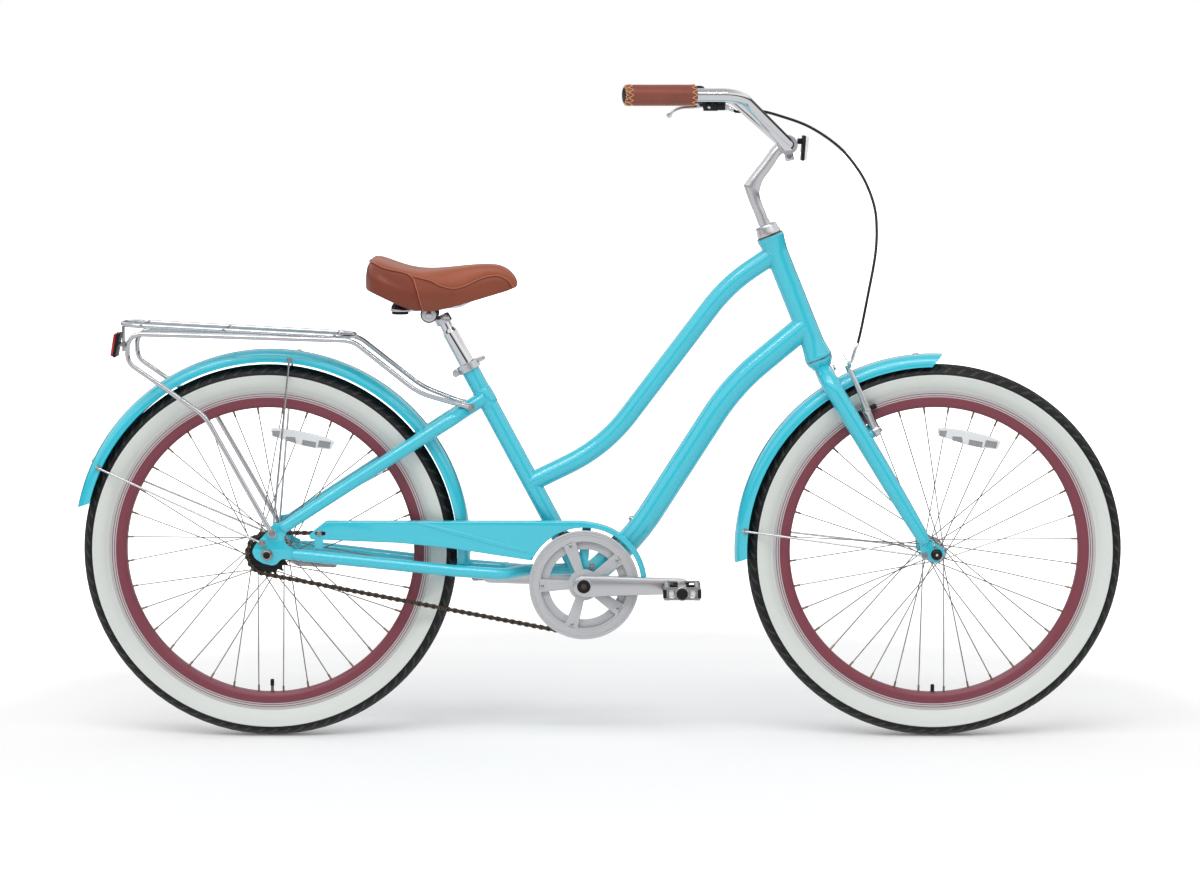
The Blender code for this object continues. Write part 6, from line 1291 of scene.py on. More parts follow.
def build_stem():
    made, dark = meshes(2)
    foot = HEAD_TOP + HEAD_UP * 0.002
    rod(made, foot, foot + HEAD_UP * 0.026, 0.0096, 40)
    behind = smooth([at(x, z) for x, z, _, _ in STEM_EDGES], 0.003)
    ahead = smooth([at(x, z) for _, _, x, z in STEM_EDGES], 0.003)
    loops = []
    count = 48
    for k in range(count):
        rear = behind[round(k * (len(behind) - 1) / (count - 1))]
        front = ahead[round(k * (len(ahead) - 1) / (count - 1))]
        loops.append(ring_at(made, (rear + front) / 2, (front - rear) / 2, ACROSS * STEM_HALF_WIDTH, 40))
    loft(made, loops)
    clamp = [(0.0169, -0.022), (0.0172, -0.0205), (0.0172, 0.0205), (0.0169, 0.022), (0.0114, 0.022),
             (0.0114, -0.022)]
    lathe(made, clamp, BAR_CENTRE, ACROSS, 56, True)
    ears_at = BAR_CENTRE + direction(-80) * 0.0205
    for side in (RIGHT, LEFT):
        block(made, across(ears_at, side * 0.0048), (0.0150, 0.0076, 0.0160), leaning(10), 0.0022, 3)
    block(dark, ears_at, (0.0130, 0.0022, 0.0150), leaning(10), 0.0003)
    socket_head(dark, across(ears_at, -0.0084), -ACROSS, 0.0044, 0.0032)
    group("stem_quill", "steering", ["stem"], "alloy", alloy=made, steel=dark)


def build_handlebar():
    made = bmesh.new()
    halves = []
    for side in (RIGHT, LEFT):
        end = grip_start(side) + grip_way(side) * (GRIP_LENGTH - 0.006)
        corners = [BAR_CENTRE, across(BAR_CENTRE, side * 0.050), across(BAR_TURN, side * BAR_REACH), end]
        halves.append(fillet(corners, [0, 0.060, 0.060, 0], 16))
    sweep(made, halves[0][::-1] + halves[1][1:], BAR_RADIUS, 36)
    group("handlebar_tube", "steering", ["handlebar"], chrome=made)


def zigzag(made, start, way, low, high):
    """A thread laced to and fro round a grip, between two places along it."""
    first, second, axis = axes_for(way)
    places = []
    for k in range(LACE_TURNS + 1):
        angle = math.tau * k / LACE_TURNS
        spot = first * math.cos(angle) + second * math.sin(angle)
        places.append(start + axis * (high if k % 2 else low) + spot * GRIP_RADIUS)
    places[-1] = places[0].copy()
    for one, other in zip(places, places[1:]):
        middle = (one + other) / 2
        lift = middle - start - axis * (middle - start).dot(axis)
        sweep(made, [one, middle + lift.normalized() * 0.0005, other], 0.00052, 6)


def build_grip(name, side):
    """Smooth leather sewn round the bar, laced in a zigzag at both ends and along its underside."""
    leather, thread, plug = meshes(3)
    start, way = grip_start(side), grip_way(side)
    profile = [(0.0116, 0.0004), (0.0150, 0.0004), (0.0164, 0.0012), (0.0171, 0.0034), (0.0172, 0.0090),
               (0.0170, 0.0100), (0.0173, 0.0116), (0.0174, 0.0400), (0.0173, 0.0760), (0.0174, 0.1060),
               (0.0173, 0.1090), (0.0170, 0.1104), (0.0173, 0.1118), (0.0173, 0.1170), (0.0166, 0.1206),
               (0.0150, 0.1226), (0.0120, 0.1230)]
    lathe(leather, profile, start, way, 72, True)
    lathe(plug, [(0, 0.1246), (0.0080, 0.1245), (0.0112, 0.1240), (0.0120, 0.1228), (0.0116, 0.1190),
                 (0, 0.1190)], start, way, 48)
    zigzag(thread, start, way, 0.0016, 0.0100)
    zigzag(thread, start, way, 0.1110, 0.1196)
    first, second, axis = axes_for(way)
    for k in range(PLUG_STITCHES):
        ends = []
        for share, radius, along in ((k, 0.0168, 0.1206), (k + 0.5, 0.0130, 0.1234),
                                     (k + 1, 0.0168, 0.1206)):
            angle = math.tau * share / PLUG_STITCHES
            ends.append(start + axis * along + (first * math.cos(angle) + second * math.sin(angle)) * radius)
        sweep(thread, ends[:2], 0.00062, 6)
        sweep(thread, ends[1:], 0.00062, 6)
    under = -UP
    sideways = way.cross(under).normalized()
    for k in range(UNDER_STITCHES):
        middle = start + way * (0.0130 + k * 0.0040)
        for lean in (1, -1):
            points = [middle + under * 0.0168 + sideways * (0.0034 * lean * s) + way * (0.0018 * s)
                      for s in (-1, 0, 1)]
            points[1] += under * 0.0010
            sweep(thread, points, 0.00050, 6)
    right_way_out(leather)
    grip = piece(name + "_leather", leather, "grip_leather", "steering", name, slot="leather", sharp=60)
    group(name + "_trim", "steering", [], "leather", thread=thread, black_plastic=plug)


# Brake lever: along the grip, out from the bar and across the blade
LEVER_WAY = grip_way(LEFT)
LEVER_DROP = math.radians(50)
LEVER_DOWN = Vector((math.sin(SWEEP), math.cos(SWEEP), -math.tan(LEVER_DROP))) * math.cos(LEVER_DROP)
LEVER_ACROSS = LEVER_DOWN.cross(LEVER_WAY).normalized()
LEVER_AXES = (LEVER_WAY, LEVER_ACROSS, LEVER_DOWN)


def lever_point(back, out, lift=0.0):
    """A place on the lever: back along the grip, out from the bar and across the blade."""
    return grip_start(LEFT) + LEVER_WAY * back + LEVER_DOWN * out + LEVER_ACROSS * lift


ADJUSTER_FOOT = lever_point(-0.060, 0.0265)
ADJUSTER_END = lever_point(-0.0755, 0.0355)


def build_lever():
    black, silver, blade = meshes(3)
    ring = [(0.0113, -0.0068), (0.0152, -0.0068), (0.0157, -0.0060), (0.0157, 0.0060), (0.0152, 0.0068),
            (0.0113, 0.0068)]
    lathe(black, ring, lever_point(-0.018, 0), LEVER_WAY, 48, True)
    block(black, lever_point(-0.018, -0.0155), (0.0125, 0.0110, 0.0050), LEVER_AXES, 0.0014)
    block(black, lever_point(-0.022, 0.0170), (0.0150, 0.0128, 0.0100), LEVER_AXES, 0.0024, 3)
    for lift in (0.0054, -0.0054):
        block(black, lever_point(-0.0345, 0.0245, lift), (0.0270, 0.0026, 0.0158), LEVER_AXES, 0.0011, 3)
    block(black, lever_point(-0.0540, 0.0255), (0.0170, 0.0132, 0.0140), LEVER_AXES, 0.0036, 3)
    out = (ADJUSTER_END - ADJUSTER_FOOT).normalized()
    length = (ADJUSTER_END - ADJUSTER_FOOT).length
    barrel = [(0, 0), (0.0044, 0), (0.0044, 0.0030), (0.0058, 0.0036), (0.0058, 0.0066), (0.0044, 0.0070),
              (0.0042, length - 0.004), (0.0036, length), (0, length)]
    lathe(silver, barrel, ADJUSTER_FOOT, out, 20)
    for lift in (1, -1):
        pin = [(0, 0.0078), (0.0016, 0.0077), (0.0028, 0.0070), (0.0028, 0.0060), (0, 0.0060)]
        lathe(silver, pin, lever_point(-0.033, 0.0235), LEVER_ACROSS * lift, 20)
    group("lever_bracket_body", "steering", ["brake_lever_bracket"], "black_plastic", black_plastic=black,
          chrome=silver)

    route = [(-0.040, 0.0225), (-0.031, 0.0237), (-0.017, 0.0250), (0.002, 0.0275), (0.019, 0.0292),
             (0.035, 0.0357), (0.0465, 0.0478)]
    points = smooth([lever_point(back, out_by) for back, out_by in route], 0.004)
    count = len(points)
    widths = [0.0044 + 0.0010 * math.sin(math.pi * min(i / (count * 0.5), 1)) for i in range(count)]
    sweep(blade, points, widths, 20, up=LEVER_ACROSS, flat=0.50)
    ball = [(0.0049 * math.cos(math.radians(a)), 0.0049 * math.sin(math.radians(a)))
            for a in range(-90, 91, 15)]
    lathe(blade, [(max(r, 0), h) for r, h in ball], lever_point(0.0470, 0.0480), LEVER_ACROSS, 28)
    group("lever_blade", "brake_lever", ["brake_lever"], "alloy", chrome=blade)


# Brake arms and their cable
ARM_LENGTH = 0.1168
ARM_LEAN = 0.0145


def brake_point(side, up, out, ahead=0.0):
    """A place on the brake: up along the blade, out to a side and ahead of the arms' plane."""
    return across(BRAKE_ROOT + BRAKE_OUT * (BRAKE_MID + ahead) + BRAKE_UP * up, side * out)


def build_brake_arm(name, side):
    metal, dark, pad = meshes(3)
    root = brake_point(side, 0, BOSS_OUT)
    lathe(metal, [(0.0046, -0.0048), (0.0086, -0.0048), (0.0088, -0.0040), (0.0088, 0.0040),
                  (0.0080, 0.0050), (0.0046, 0.0050)], root, BRAKE_OUT, 40, True)
    spots = [(0.004, 0.0006, 0), (0.020, 0.0018, 0.10), (0.040, 0.0028, 0.34), (0.060, 0.0026, 0.55),
             (0.082, 0.0010, 0.76), (0.100, -0.0010, 0.90), (ARM_LENGTH, -0.0030, 1.0)]
    points = smooth([brake_point(side, up, BOSS_OUT + out, ARM_LEAN * lean) for up, out, lean in spots],
                    0.006)
    count = len(points)
    sweep(metal, points, [0.0064 - 0.0026 * i / (count - 1) for i in range(count)], 20, up=BRAKE_OUT,
          flat=0.72)
    spring_foot = brake_point(side, 0.0, BOSS_OUT, -0.0058)
    coil = []
    for k in range(25):
        turned = BRAKE_UP * math.cos(math.tau * k / 12) + ACROSS * math.sin(math.tau * k / 12)
        coil.append(spring_foot + BRAKE_OUT * (0.0008 * k / 12) + turned * 0.0088)
    coil += [brake_point(side, up, BOSS_OUT + 0.0080 - up * 0.03, -0.0040) for up in (0.020, 0.045, 0.060)]
    sweep(dark, smooth(coil, 0.002), 0.0008, 8)
    rim_face = RIM_WIDTH / 2 + 0.0026
    track = RIM_RADIUS - 0.0070
    ahead = BRAKE_MID - BLADE_BEHIND
    pad_up = math.sqrt(track**2 - ahead**2) - BRAKE_RISE
    slope = math.degrees(math.asin(ahead / track))
    turn = Matrix.Rotation(math.radians(slope), 3, "Y")
    pad_axes = tuple(turn @ axis for axis in (BRAKE_UP.cross(ACROSS), ACROSS, BRAKE_UP))
    centre = brake_point(side, pad_up, rim_face + 0.0050)
    block(pad, centre, (0.0460, 0.0098, 0.0088), pad_axes, 0.0022, 3)
    for k in (-1, 0, 1):
        block(pad, centre - ACROSS * (side * 0.0042) + pad_axes[0] * (0.0130 * k), (0.0110, 0.0022, 0.0080),
              pad_axes, 0.0006, 1)
    post_at = brake_point(side, pad_up, rim_face + 0.0085, ARM_LEAN * 0.3)
    washers = [(0, 0), (0.0032, 0), (0.0032, 0.0015), (0.0068, 0.0018), (0.0072, 0.0034), (0.0068, 0.0050),
               (0.0050, 0.0054), (0.0050, 0.0140), (0.0064, 0.0146), (0.0066, 0.0164), (0.0054, 0.0172),
               (0.0052, 0.0218), (0.0030, 0.0226), (0, 0.0226)]
    lathe(metal, washers, post_at, ACROSS * side, 28)
    group(name + "_lever", name, [name], "alloy", alloy=metal, steel=dark, black_plastic=pad)


def build_brake_fittings():
    metal, boot = meshes(2)
    top = ARM_LENGTH
    noodle = ARM_LEAN + 0.0045
    bend = [at(*CABLE_ROUTE[-1]), at(1.0262, 0.6880, -0.030), at(1.0200, 0.6671, -0.031),
            brake_point(RIGHT, top + 0.0085, BOSS_OUT - 0.0100, noodle),
            brake_point(RIGHT, top + 0.0040, BOSS_OUT - 0.0185, noodle),
            brake_point(RIGHT, top + 0.0024, BOSS_OUT - 0.0260, noodle)]
    sweep(metal, smooth(bend, 0.0015), 0.0031, 16)
    front = ARM_LEAN + 0.0042
    sweep(boot, [brake_point(RIGHT, top + 0.0022, BOSS_OUT - 0.0270, front),
                 brake_point(RIGHT, top + 0.0012, BOSS_OUT - 0.0420, front),
                 brake_point(LEFT, top + 0.0002, BOSS_OUT - 0.0240, front)], [0.0034, 0.0030, 0.0022], 16)
    anchor = brake_point(LEFT, top - 0.0010, BOSS_OUT - 0.0030, ARM_LEAN + 0.0030)
    hexagon(metal, anchor, BRAKE_OUT, 0.0048, 0.0036)
    group("brake_noodle", "steering", [], "alloy", chrome=metal, black_plastic=boot)


CABLE_ROUTE = (
    (0.866, 1.0977, 0.222), (0.904, 1.0885, 0.192), (0.955, 1.0690, 0.152), (1.004, 1.0346, 0.110),
    (1.0365, 0.9946, 0.080), (1.0540, 0.9600, 0.061), (1.0640, 0.9250, 0.045), (1.0660, 0.8900, 0.031),
    (1.0638, 0.8563, 0.018), (1.0580, 0.8219, 0.007), (1.0506, 0.7875, -0.004), (1.0434, 0.7530, -0.013),
    (1.0360, 0.7185, -0.021), (1.0300, 0.6950, -0.027),
)


def tube_piece(name, points, radius, look, body, *nodes, sides=12, slot=None):
    made = bmesh.new()
    sweep(made, points, radius, sides)
    right_way_out(made)
    return piece(name, made, look, body, *nodes, slot=slot)


def build_cables():
    top = ARM_LENGTH
    front = ARM_LEAN + 0.0047
    leaving = (ADJUSTER_END - ADJUSTER_FOOT).normalized()
    start = ADJUSTER_END + leaving * 0.0003
    route = [start, ADJUSTER_END + leaving * 0.008, *[at(*spot) for spot in CABLE_ROUTE]]
    points = smooth(route, 0.006)
    casing = tube_piece("brake_cable_casing", points, 0.0025, "casing", "steering", "brake_cable", sides=16,
                        slot="black_plastic")
    ends = [brake_point(LEFT, top + 0.0002, BOSS_OUT - 0.0240, front),
            brake_point(LEFT, top - 0.0010, BOSS_OUT - 0.0030, front + 0.0014),
            brake_point(LEFT, top + 0.0220, BOSS_OUT + 0.0030, front)]
    wire = smooth(ends, 0.002)
    tail = tube_piece("brake_wire_tail", wire, 0.0008, "steel", "steering", sides=8, slot="steel")


# Rear frame
DROPOUT_OUTLINE = (
    (0.0250, 0.0570), (0.0140, 0.0550), (0.0020, 0.0425), (-0.0087, 0.0308), (-0.0213, 0.0165),
    (-0.0266, 0.0057), (-0.0213, -0.0068), (-0.0087, -0.0149), (0.0083, -0.0193), (0.0163, -0.0170),
    (0.0250, -0.0080), (0.0306, -0.0077), (0.0469, -0.0095), (0.0469, 0.0111), (0.0360, 0.0156),
    (0.0300, 0.0250), (0.0305, 0.0330), (0.0358, 0.0402),
)
DROPOUT_ROUNDS = (0.003, 0.003, 0.02, 0.03, 0.03, 0.010, 0.012, 0.016, 0.010, 0.005, 0.006, 0.006, 0, 0,
                  0.006, 0.006, 0.006, 0.006)
SLOT_ANGLE = -37.6
YOKE_START = beside(BB, -0.112, 0.019)
YOKE_END = beside(BB, -0.012, 0.0215)
STAY_EYE = beside(REAR_AXLE, -0.0075, 0.0205)
RACK_EYE = beside(REAR_AXLE, 0.0100, 0.0385)
BRIDGE = at(0.302, WHEEL_RADIUS + 0.2260)
SEATSTAY_TOP = BB + SEAT_UP * 0.3687
SEATSTAY_FOOT = beside(REAR_AXLE, 0.0315, 0.0492)
DROPOUT_MID = 0.0585


def build_dropouts():
    for name, side in SIDES:
        paint, metal = meshes(2)
        axis = ACROSS * side
        corners = [beside(REAR_AXLE, x, z) for x, z in DROPOUT_OUTLINE]
        outline = fillet(corners, list(DROPOUT_ROUNDS), 5, True)
        along = direction(SLOT_ANGLE)
        holes = [arc(REAR_AXLE - along * 0.001, 0.0052, 0, 350, 24)]
        plate(paint, outline, side * 0.056, side * 0.061, 0.0008, holes)
        for spot in (beside(REAR_AXLE, -0.0045, 0.0230), RACK_EYE):
            lathe(paint, [(0.0074, 0.0012), (0.0066, 0.0018), (0, 0.0018)], across(spot, side * 0.0605),
                  axis, 28)
        side_bolt(metal, STAY_EYE, side, 0.0655, 0.0044, 0.0034)
        side_bolt(metal, RACK_EYE, side, 0.0700, 0.0046, 0.0036)
        group(f"dropout_{name}_plate", "frame", ["dropout_" + name], "paint", paint=paint, steel=metal)


def chainstay_path(side):
    start = across(beside(REAR_AXLE, 0.044, 0.0005), side * DROPOUT_MID)
    beside_tyre = at(WHEEL_RADIUS, WHEEL_RADIUS - 0.0310, side * 0.0425)
    bend = across(beside(BB, -0.142, 0.017), side * 0.0395)
    return fillet([start, beside_tyre, bend, across(beside(YOKE_START, 0.012, 0), 0)], [0, 0.2, 0.036, 0],
                  16)


def build_chainstays():
    for name, side in SIDES:
        made = bmesh.new()
        path = chainstay_path(side)
        first = path[0]
        inward = (path[1] - first).normalized()
        path = [first, first + inward * 0.004, first + inward * 0.012, first + inward * 0.020, *path[1:]]
        radii = [0.0074, 0.0092, 0.0103, 0.0105] + [0.0105] * (len(path) - 4)
        sweep(made, path, radii, 32)
        group(f"chainstay_{name}_tube", "frame", ["chainstay_" + name], paint=made)
    made = bmesh.new()
    path = [*[beside(YOKE_START, x, 0) for x in (-0.002, 0.003, 0.010)], YOKE_END]
    sweep(made, path, [0.0070, 0.0096, 0.0104, 0.0104], 32)
    weld(made, YOKE_START, YOKE_END - YOKE_START, 0.0104, BB, ACROSS, BB_SHELL_RADIUS, 0.0018)
    group("yoke_tube", "frame", ["chainstay_yoke"], paint=made)


def seatstay_path(side):
    corners = [across(SEATSTAY_FOOT, side * DROPOUT_MID), at(0.1362, WHEEL_RADIUS + 0.1169, side * 0.0490),
               across(beside(SEATSTAY_TOP, -0.0563, -0.0347), side * 0.0430),
               across(beside(SEATSTAY_TOP, -0.0336, -0.0215), side * 0.0100),
               across(SEATSTAY_TOP, side * 0.0080)]
    return fillet(corners, [0, 0.4, 0.025, 0.02, 0], 10)


def build_seatstays():
    paint, chrome = meshes(2)
    for side in (RIGHT, LEFT):
        path = seatstay_path(side)
        full = SEATSTAY_TOP.x - 0.0563
        radii = [0.0104 + 0.0023 * min((point.x - path[0].x) / (full - path[0].x), 1) for point in path]
        sweep(paint, path, radii, 32)
        lathe(paint, [(0.0104, 0), (0.0096, 0.0040), (0.0066, 0.0076), (0, 0.0090)], path[0],
              path[0] - path[1], 32)
        crossing(paint, BRIDGE, side * 0.016, side * 0.040, 0.0046, 20)
    crossing(chrome, BRIDGE, -0.040, 0.040, 0.0058, 28)
    collar = [(0.0160, -0.0160), (0.0168, -0.0140), (0.0174, -0.0100), (0.0174, 0.0100), (0.0168, 0.0140),
              (0.0160, 0.0160)]
    lathe(paint, collar, SEATSTAY_TOP, SEAT_UP, 48)
    group("seatstays_paint", "frame", ["seatstays"], "paint", paint=paint, chrome=chrome)


def build_bottom_bracket():
    paint, dark = meshes(2)
    half = BB_SHELL_WIDTH / 2
    profile = [(0.0185, half), (0.0196, half - 0.0003), (BB_SHELL_RADIUS, half - 0.0012)]
    whole = [(0, half), *profile, *[(r, -h) for r, h in profile[::-1]], (0, -half)]
    lathe(paint, whole, BB, ACROSS, 64)
    for side in (RIGHT, LEFT):
        lip = [(0, 0.0038), (0.0100, 0.0038), (0.0106, 0.0030), (0.0150, 0.0030), (0.0178, 0.0034),
               (0.0180, 0.0026), (0.0180, 0)]
        outward(dark, lip, BB, side, half, 48)
    group("bb_shell_paint", "frame", ["bottom_bracket_shell"], "paint", paint=paint, black_plastic=dark)


def build_seat_clamp():
    metal, dark = meshes(2)
    top = BB + SEAT_UP * SEAT_TUBE_LENGTH
    band = [(0.0163, -0.0135), (0.0194, -0.0135), (0.0202, -0.0125), (0.0202, 0.0000), (0.0194, 0.0010),
            (0.0163, 0.0010)]
    lathe(metal, band, top, SEAT_UP, 56, True)
    back = -direction(28.1)
    middle = top + SEAT_UP * (0.001 - 0.0145 / 2)
    axes = (direction(28.1), ACROSS, SEAT_UP)
    for side in (RIGHT, LEFT):
        block(metal, across(middle + back * 0.0235, side * 0.0056), (0.0120, 0.0072, 0.0122), axes, 0.0020,
              3)
        outward(metal, [(0.0030, 0), (0.0058, 0), (0.0060, 0.0010), (0.0060, 0.0050), (0.0048, 0.0066),
                        (0, 0.0068)], middle + back * 0.0245, side, 0.0092, 28)
    block(dark, middle + back * 0.0235, (0.0100, 0.0040, 0.0110), axes, 0.0003)
    block(metal, middle - back * 0.0262 + SEAT_UP * 0.0020, (0.0150, 0.0086, 0.0092), axes, 0.0024, 3)
    group("seat_clamp_band", "frame", ["seat_clamp"], "alloy", alloy=metal, dark_steel=dark)


# Fender stays, rack and reflectors
def build_stay(name, body, eye, edge, side, eye_y):
    made, dark = meshes(2)
    start = across(eye, side * eye_y)
    end = across(edge, side * 0.0313)
    toward = (across(edge, 0) - across(eye, 0)).normalized()
    path = fillet([start, across(eye + toward * 0.024, side * eye_y),
                   end + (end - start).normalized() * 0.004], [0, 0.05, 0], 12)
    sweep(made, path, 0.0020, 14)
    crossing(made, eye, side * (eye_y - 0.0016), side * (eye_y + 0.0016), 0.0060, 28)
    group(name + "_wire", body, [name], "chrome", satin_chrome=made)
    side_bolt(dark, edge, side, 0.0300, 0.0034, 0.0034)
    group(name + "_bolt", body, [], "steel", steel=dark)


def build_stays():
    """Each stay runs from its eye to the place on its fender's skirt at this angle."""
    up_skirt = FENDER_SKIRT * 0.75
    rear = (REAR_FENDER_CENTRE, REAR_FENDER_RADIUS - up_skirt)
    front = (FRONT_FENDER_CENTRE, FRONT_FENDER_RADIUS - up_skirt)
    for name, side in SIDES:
        for start, body, eye, (centre, radius), angle, eye_y in (
            ("rear_fender_stay_", "frame", STAY_EYE, rear, 154.7, 0.0633),
            ("rear_fender_brace_", "frame", RACK_EYE, rear, 83.8, 0.0537),
            ("front_fender_stay_", "steering", beside(FRONT_AXLE, -0.021, -0.003), front, 173.6, 0.0573),
        ):
            build_stay(start + name, body, eye, centre + direction(angle) * radius, side, eye_y)


RACK_RADIUS = 0.0043
RACK_TAB = beside(SEATSTAY_TOP, -0.0233, -0.0157)
RACK_TOP = WHEEL_RADIUS + 0.3745
RACK_FRONT = 0.152
RACK_TAIL = -0.2387
RACK_WIRES = (0.120, -0.072, -0.215)


def rack_side_path(side):
    spread, foot = side * 0.058, side * 0.0656
    corners = [
        across(RACK_TAB, side * 0.0290), across(beside(RACK_TAB, -0.030, 0.0085), side * 0.0350),
        across(beside(RACK_TAB, -0.090, 0.0290), side * 0.0620), at(RACK_FRONT, RACK_TOP, spread),
        at(-0.112, RACK_TOP + 0.0085, spread), at(RACK_TAIL, RACK_TOP + 0.0118, spread),
        at(RACK_TAIL, RACK_TOP - 0.0382, spread), at(-0.1050, RACK_TOP - 0.1320, spread),
        across(beside(RACK_EYE, -0.010, 0.016), foot), across(RACK_EYE, foot),
    ]
    return fillet(corners, [0, 0.03, 0.08, 0.05, 0, 0.028, 0.027, 0.08, 0.02, 0], 10)


def rack_height(x):
    """The height of the rack's tubes, which climb towards its tail."""
    return RACK_TOP + (RACK_FRONT - x) / (RACK_FRONT - RACK_TAIL) * 0.0215


def build_rack():
    made, steel = meshes(2)
    for side in (RIGHT, LEFT):
        sweep(made, rack_side_path(side), RACK_RADIUS, 24)
        crossing(made, RACK_EYE, side * 0.0615, side * 0.0700, 0.0074, 28)
        tab_axes = (direction(163), ACROSS, direction(73))
        block(made, across(beside(RACK_TAB, -0.006, 0.0020), side * 0.0290), (0.0240, 0.0028, 0.0110),
              tab_axes, 0.0012)
        side_bolt(steel, RACK_TAB, side, 0.0308, 0.0046, 0.0040)
        crossing(steel, RACK_TAB, side * 0.017, side * 0.0308, 0.0036, 16)
    front, rear = at(RACK_FRONT - 0.002, RACK_TOP + 0.00525), at(RACK_TAIL - 0.0133, RACK_TOP + 0.0270)
    corners = [across(front, 0.050), across(rear, 0.050), across(rear, -0.050), across(front, -0.050)]
    loop = fillet(corners, [0.035] * 4, 12, True)
    sweep(made, loop + loop[:1], RACK_RADIUS, 24)
    for x in RACK_WIRES:
        height = rack_height(x) + 0.00425
        rod(made, at(x, height, -0.0580), at(x, height, 0.0580), 0.0037, 20)
        for side in (RIGHT, LEFT):
            lathe(made, [(0.0037, 0), (0.0030, 0.0010), (0, 0.0014)], at(x, height, side * 0.0580),
                  ACROSS * side, 20)
    for y in (-0.017, 0.017):
        sweep(made, [at(x, rack_height(x) + 0.0012, y) for x in RACK_WIRES], 0.0026, 14)
    group("rack_tubes", "frame", ["rear_rack"], "chrome", satin_chrome=made, steel=steel)


def build_lens(name, body, node_name, centre, ahead, look, size):
    """A moulded lens with ribs, in a shallow dark housing."""
    lens, housing = meshes(2)
    depth, width, height = size
    up = ACROSS.cross(ahead)
    axes = (ahead, ACROSS, up)
    block(housing, centre - ahead * (depth * 0.22), (depth * 0.50, width, height), axes, 0.0018, 3)
    block(lens, centre + ahead * (depth * 0.24), (depth * 0.48, width * 0.94, height * 0.94), axes, 0.0016,
          3)
    rows = 9
    for k in range(rows):
        lift = height * 0.84 * ((k + 0.5) / rows - 0.5)
        block(lens, centre + ahead * (depth * 0.49) + up * lift, (0.0010, width * 0.84, height * 0.052),
              axes, 0.0004, 1)
    group(name, body, [node_name], look, **{look: lens, "black_plastic": housing})


def build_reflectors():
    rear_at = at(RACK_TAIL - 0.0280, RACK_TOP - 0.0108)
    build_lens("rear_reflector_lens", "frame", "rear_reflector", rear_at, direction(170), "red_plastic",
               (0.0100, 0.045, 0.043))
    steel = bmesh.new()
    top, foot = RACK_TOP + 0.0270 - 0.0046, rear_at.z - 0.012
    block(steel, at(RACK_TAIL - 0.0152, (top + foot) / 2), (0.0026, 0.0220, top - foot), None, 0.0009)
    stud = at(RACK_TAIL - 0.0152, rear_at.z)
    rod(steel, stud, beside(rear_at, 0.003, 0), 0.0040, 20)
    hexagon(steel, beside(stud, 0.0013, 0), AHEAD, 0.0052, 0.0036)
    group("rear_reflector_bracket", "frame", [], "steel", steel=steel)

    front_at = beside(BAR_CENTRE, 0.0300, -0.0060)
    build_lens("front_reflector_lens", "steering", "front_reflector", front_at, direction(-4),
               "clear_plastic", (0.0100, 0.050, 0.044))
    black = bmesh.new()
    block(black, beside(BAR_CENTRE, 0.0228, 0.0060), (0.0100, 0.0140, 0.0100), None, 0.0020)
    group("front_reflector_arm", "steering", [], "black_plastic", black_plastic=black)


# A spoke reflector's outline and its prism panels, as x and z from the axle
SPOKE_LENS = ((0.0028, 0.2180), (0.0265, 0.2162), (0.0580, 0.2118), (0.0931, 0.2030), (0.1158, 0.1933),
              (0.1086, 0.1792), (0.0806, 0.1818), (0.0543, 0.1871), (0.0263, 0.1968), (0.0053, 0.2030))
SPOKE_PRISMS = (
    ((0.0063, 0.2127), (0.0203, 0.2122), (0.0175, 0.2009), (0.0074, 0.2039)),
    ((0.0298, 0.2025), (0.0465, 0.2012), (0.0482, 0.1910), (0.0298, 0.1949)),
    ((0.0596, 0.1970), (0.0833, 0.1924), (0.0815, 0.1825), (0.0578, 0.1878)),
    ((0.0886, 0.1959), (0.1091, 0.1927), (0.1066, 0.1814), (0.0859, 0.1843)),
)


def build_spoke_reflectors():
    for name, body, centre in WHEELS:
        lens, prisms = meshes(2)
        ring = [beside(centre, x, z) for x, z in SPOKE_LENS]
        plate(lens, fillet(ring, [0.004, 0.05, 0.1, 0.05, 0.004, 0.004, 0.05, 0.1, 0.05, 0.004], 4, True),
              -0.0060, -0.0125, 0.0012)
        for panel in SPOKE_PRISMS:
            plate(prisms, [beside(centre, x, z) for x, z in panel], -0.0124, -0.0130, 0.0002)
        group(name + "_spoke_reflector", body, [], "clear_plastic", clear_plastic=lens, prism=prisms)


def build_coaster_arm():
    made = bmesh.new()
    elbow, end = beside(REAR_AXLE, 0.045, -0.029), beside(REAR_AXLE, 0.106, -0.033)
    outline = arc(REAR_AXLE, 0.0125, 40, 235, 20) + [beside(elbow, -0.003, -0.007)]
    outline += arc(end, 0.006, -95, 95, 12) + [beside(elbow, 0.002, 0.007)]
    plate(made, outline, 0.0522, 0.0557, 0.0008, [arc(REAR_AXLE, 0.0052, 0, 345, 20)])
    bolt_head(made, across(end, 0.0522), -ACROSS, 0.0040, 0.0030)
    group("coaster_arm_plate", "frame", ["coaster_brake_arm"], steel=made)


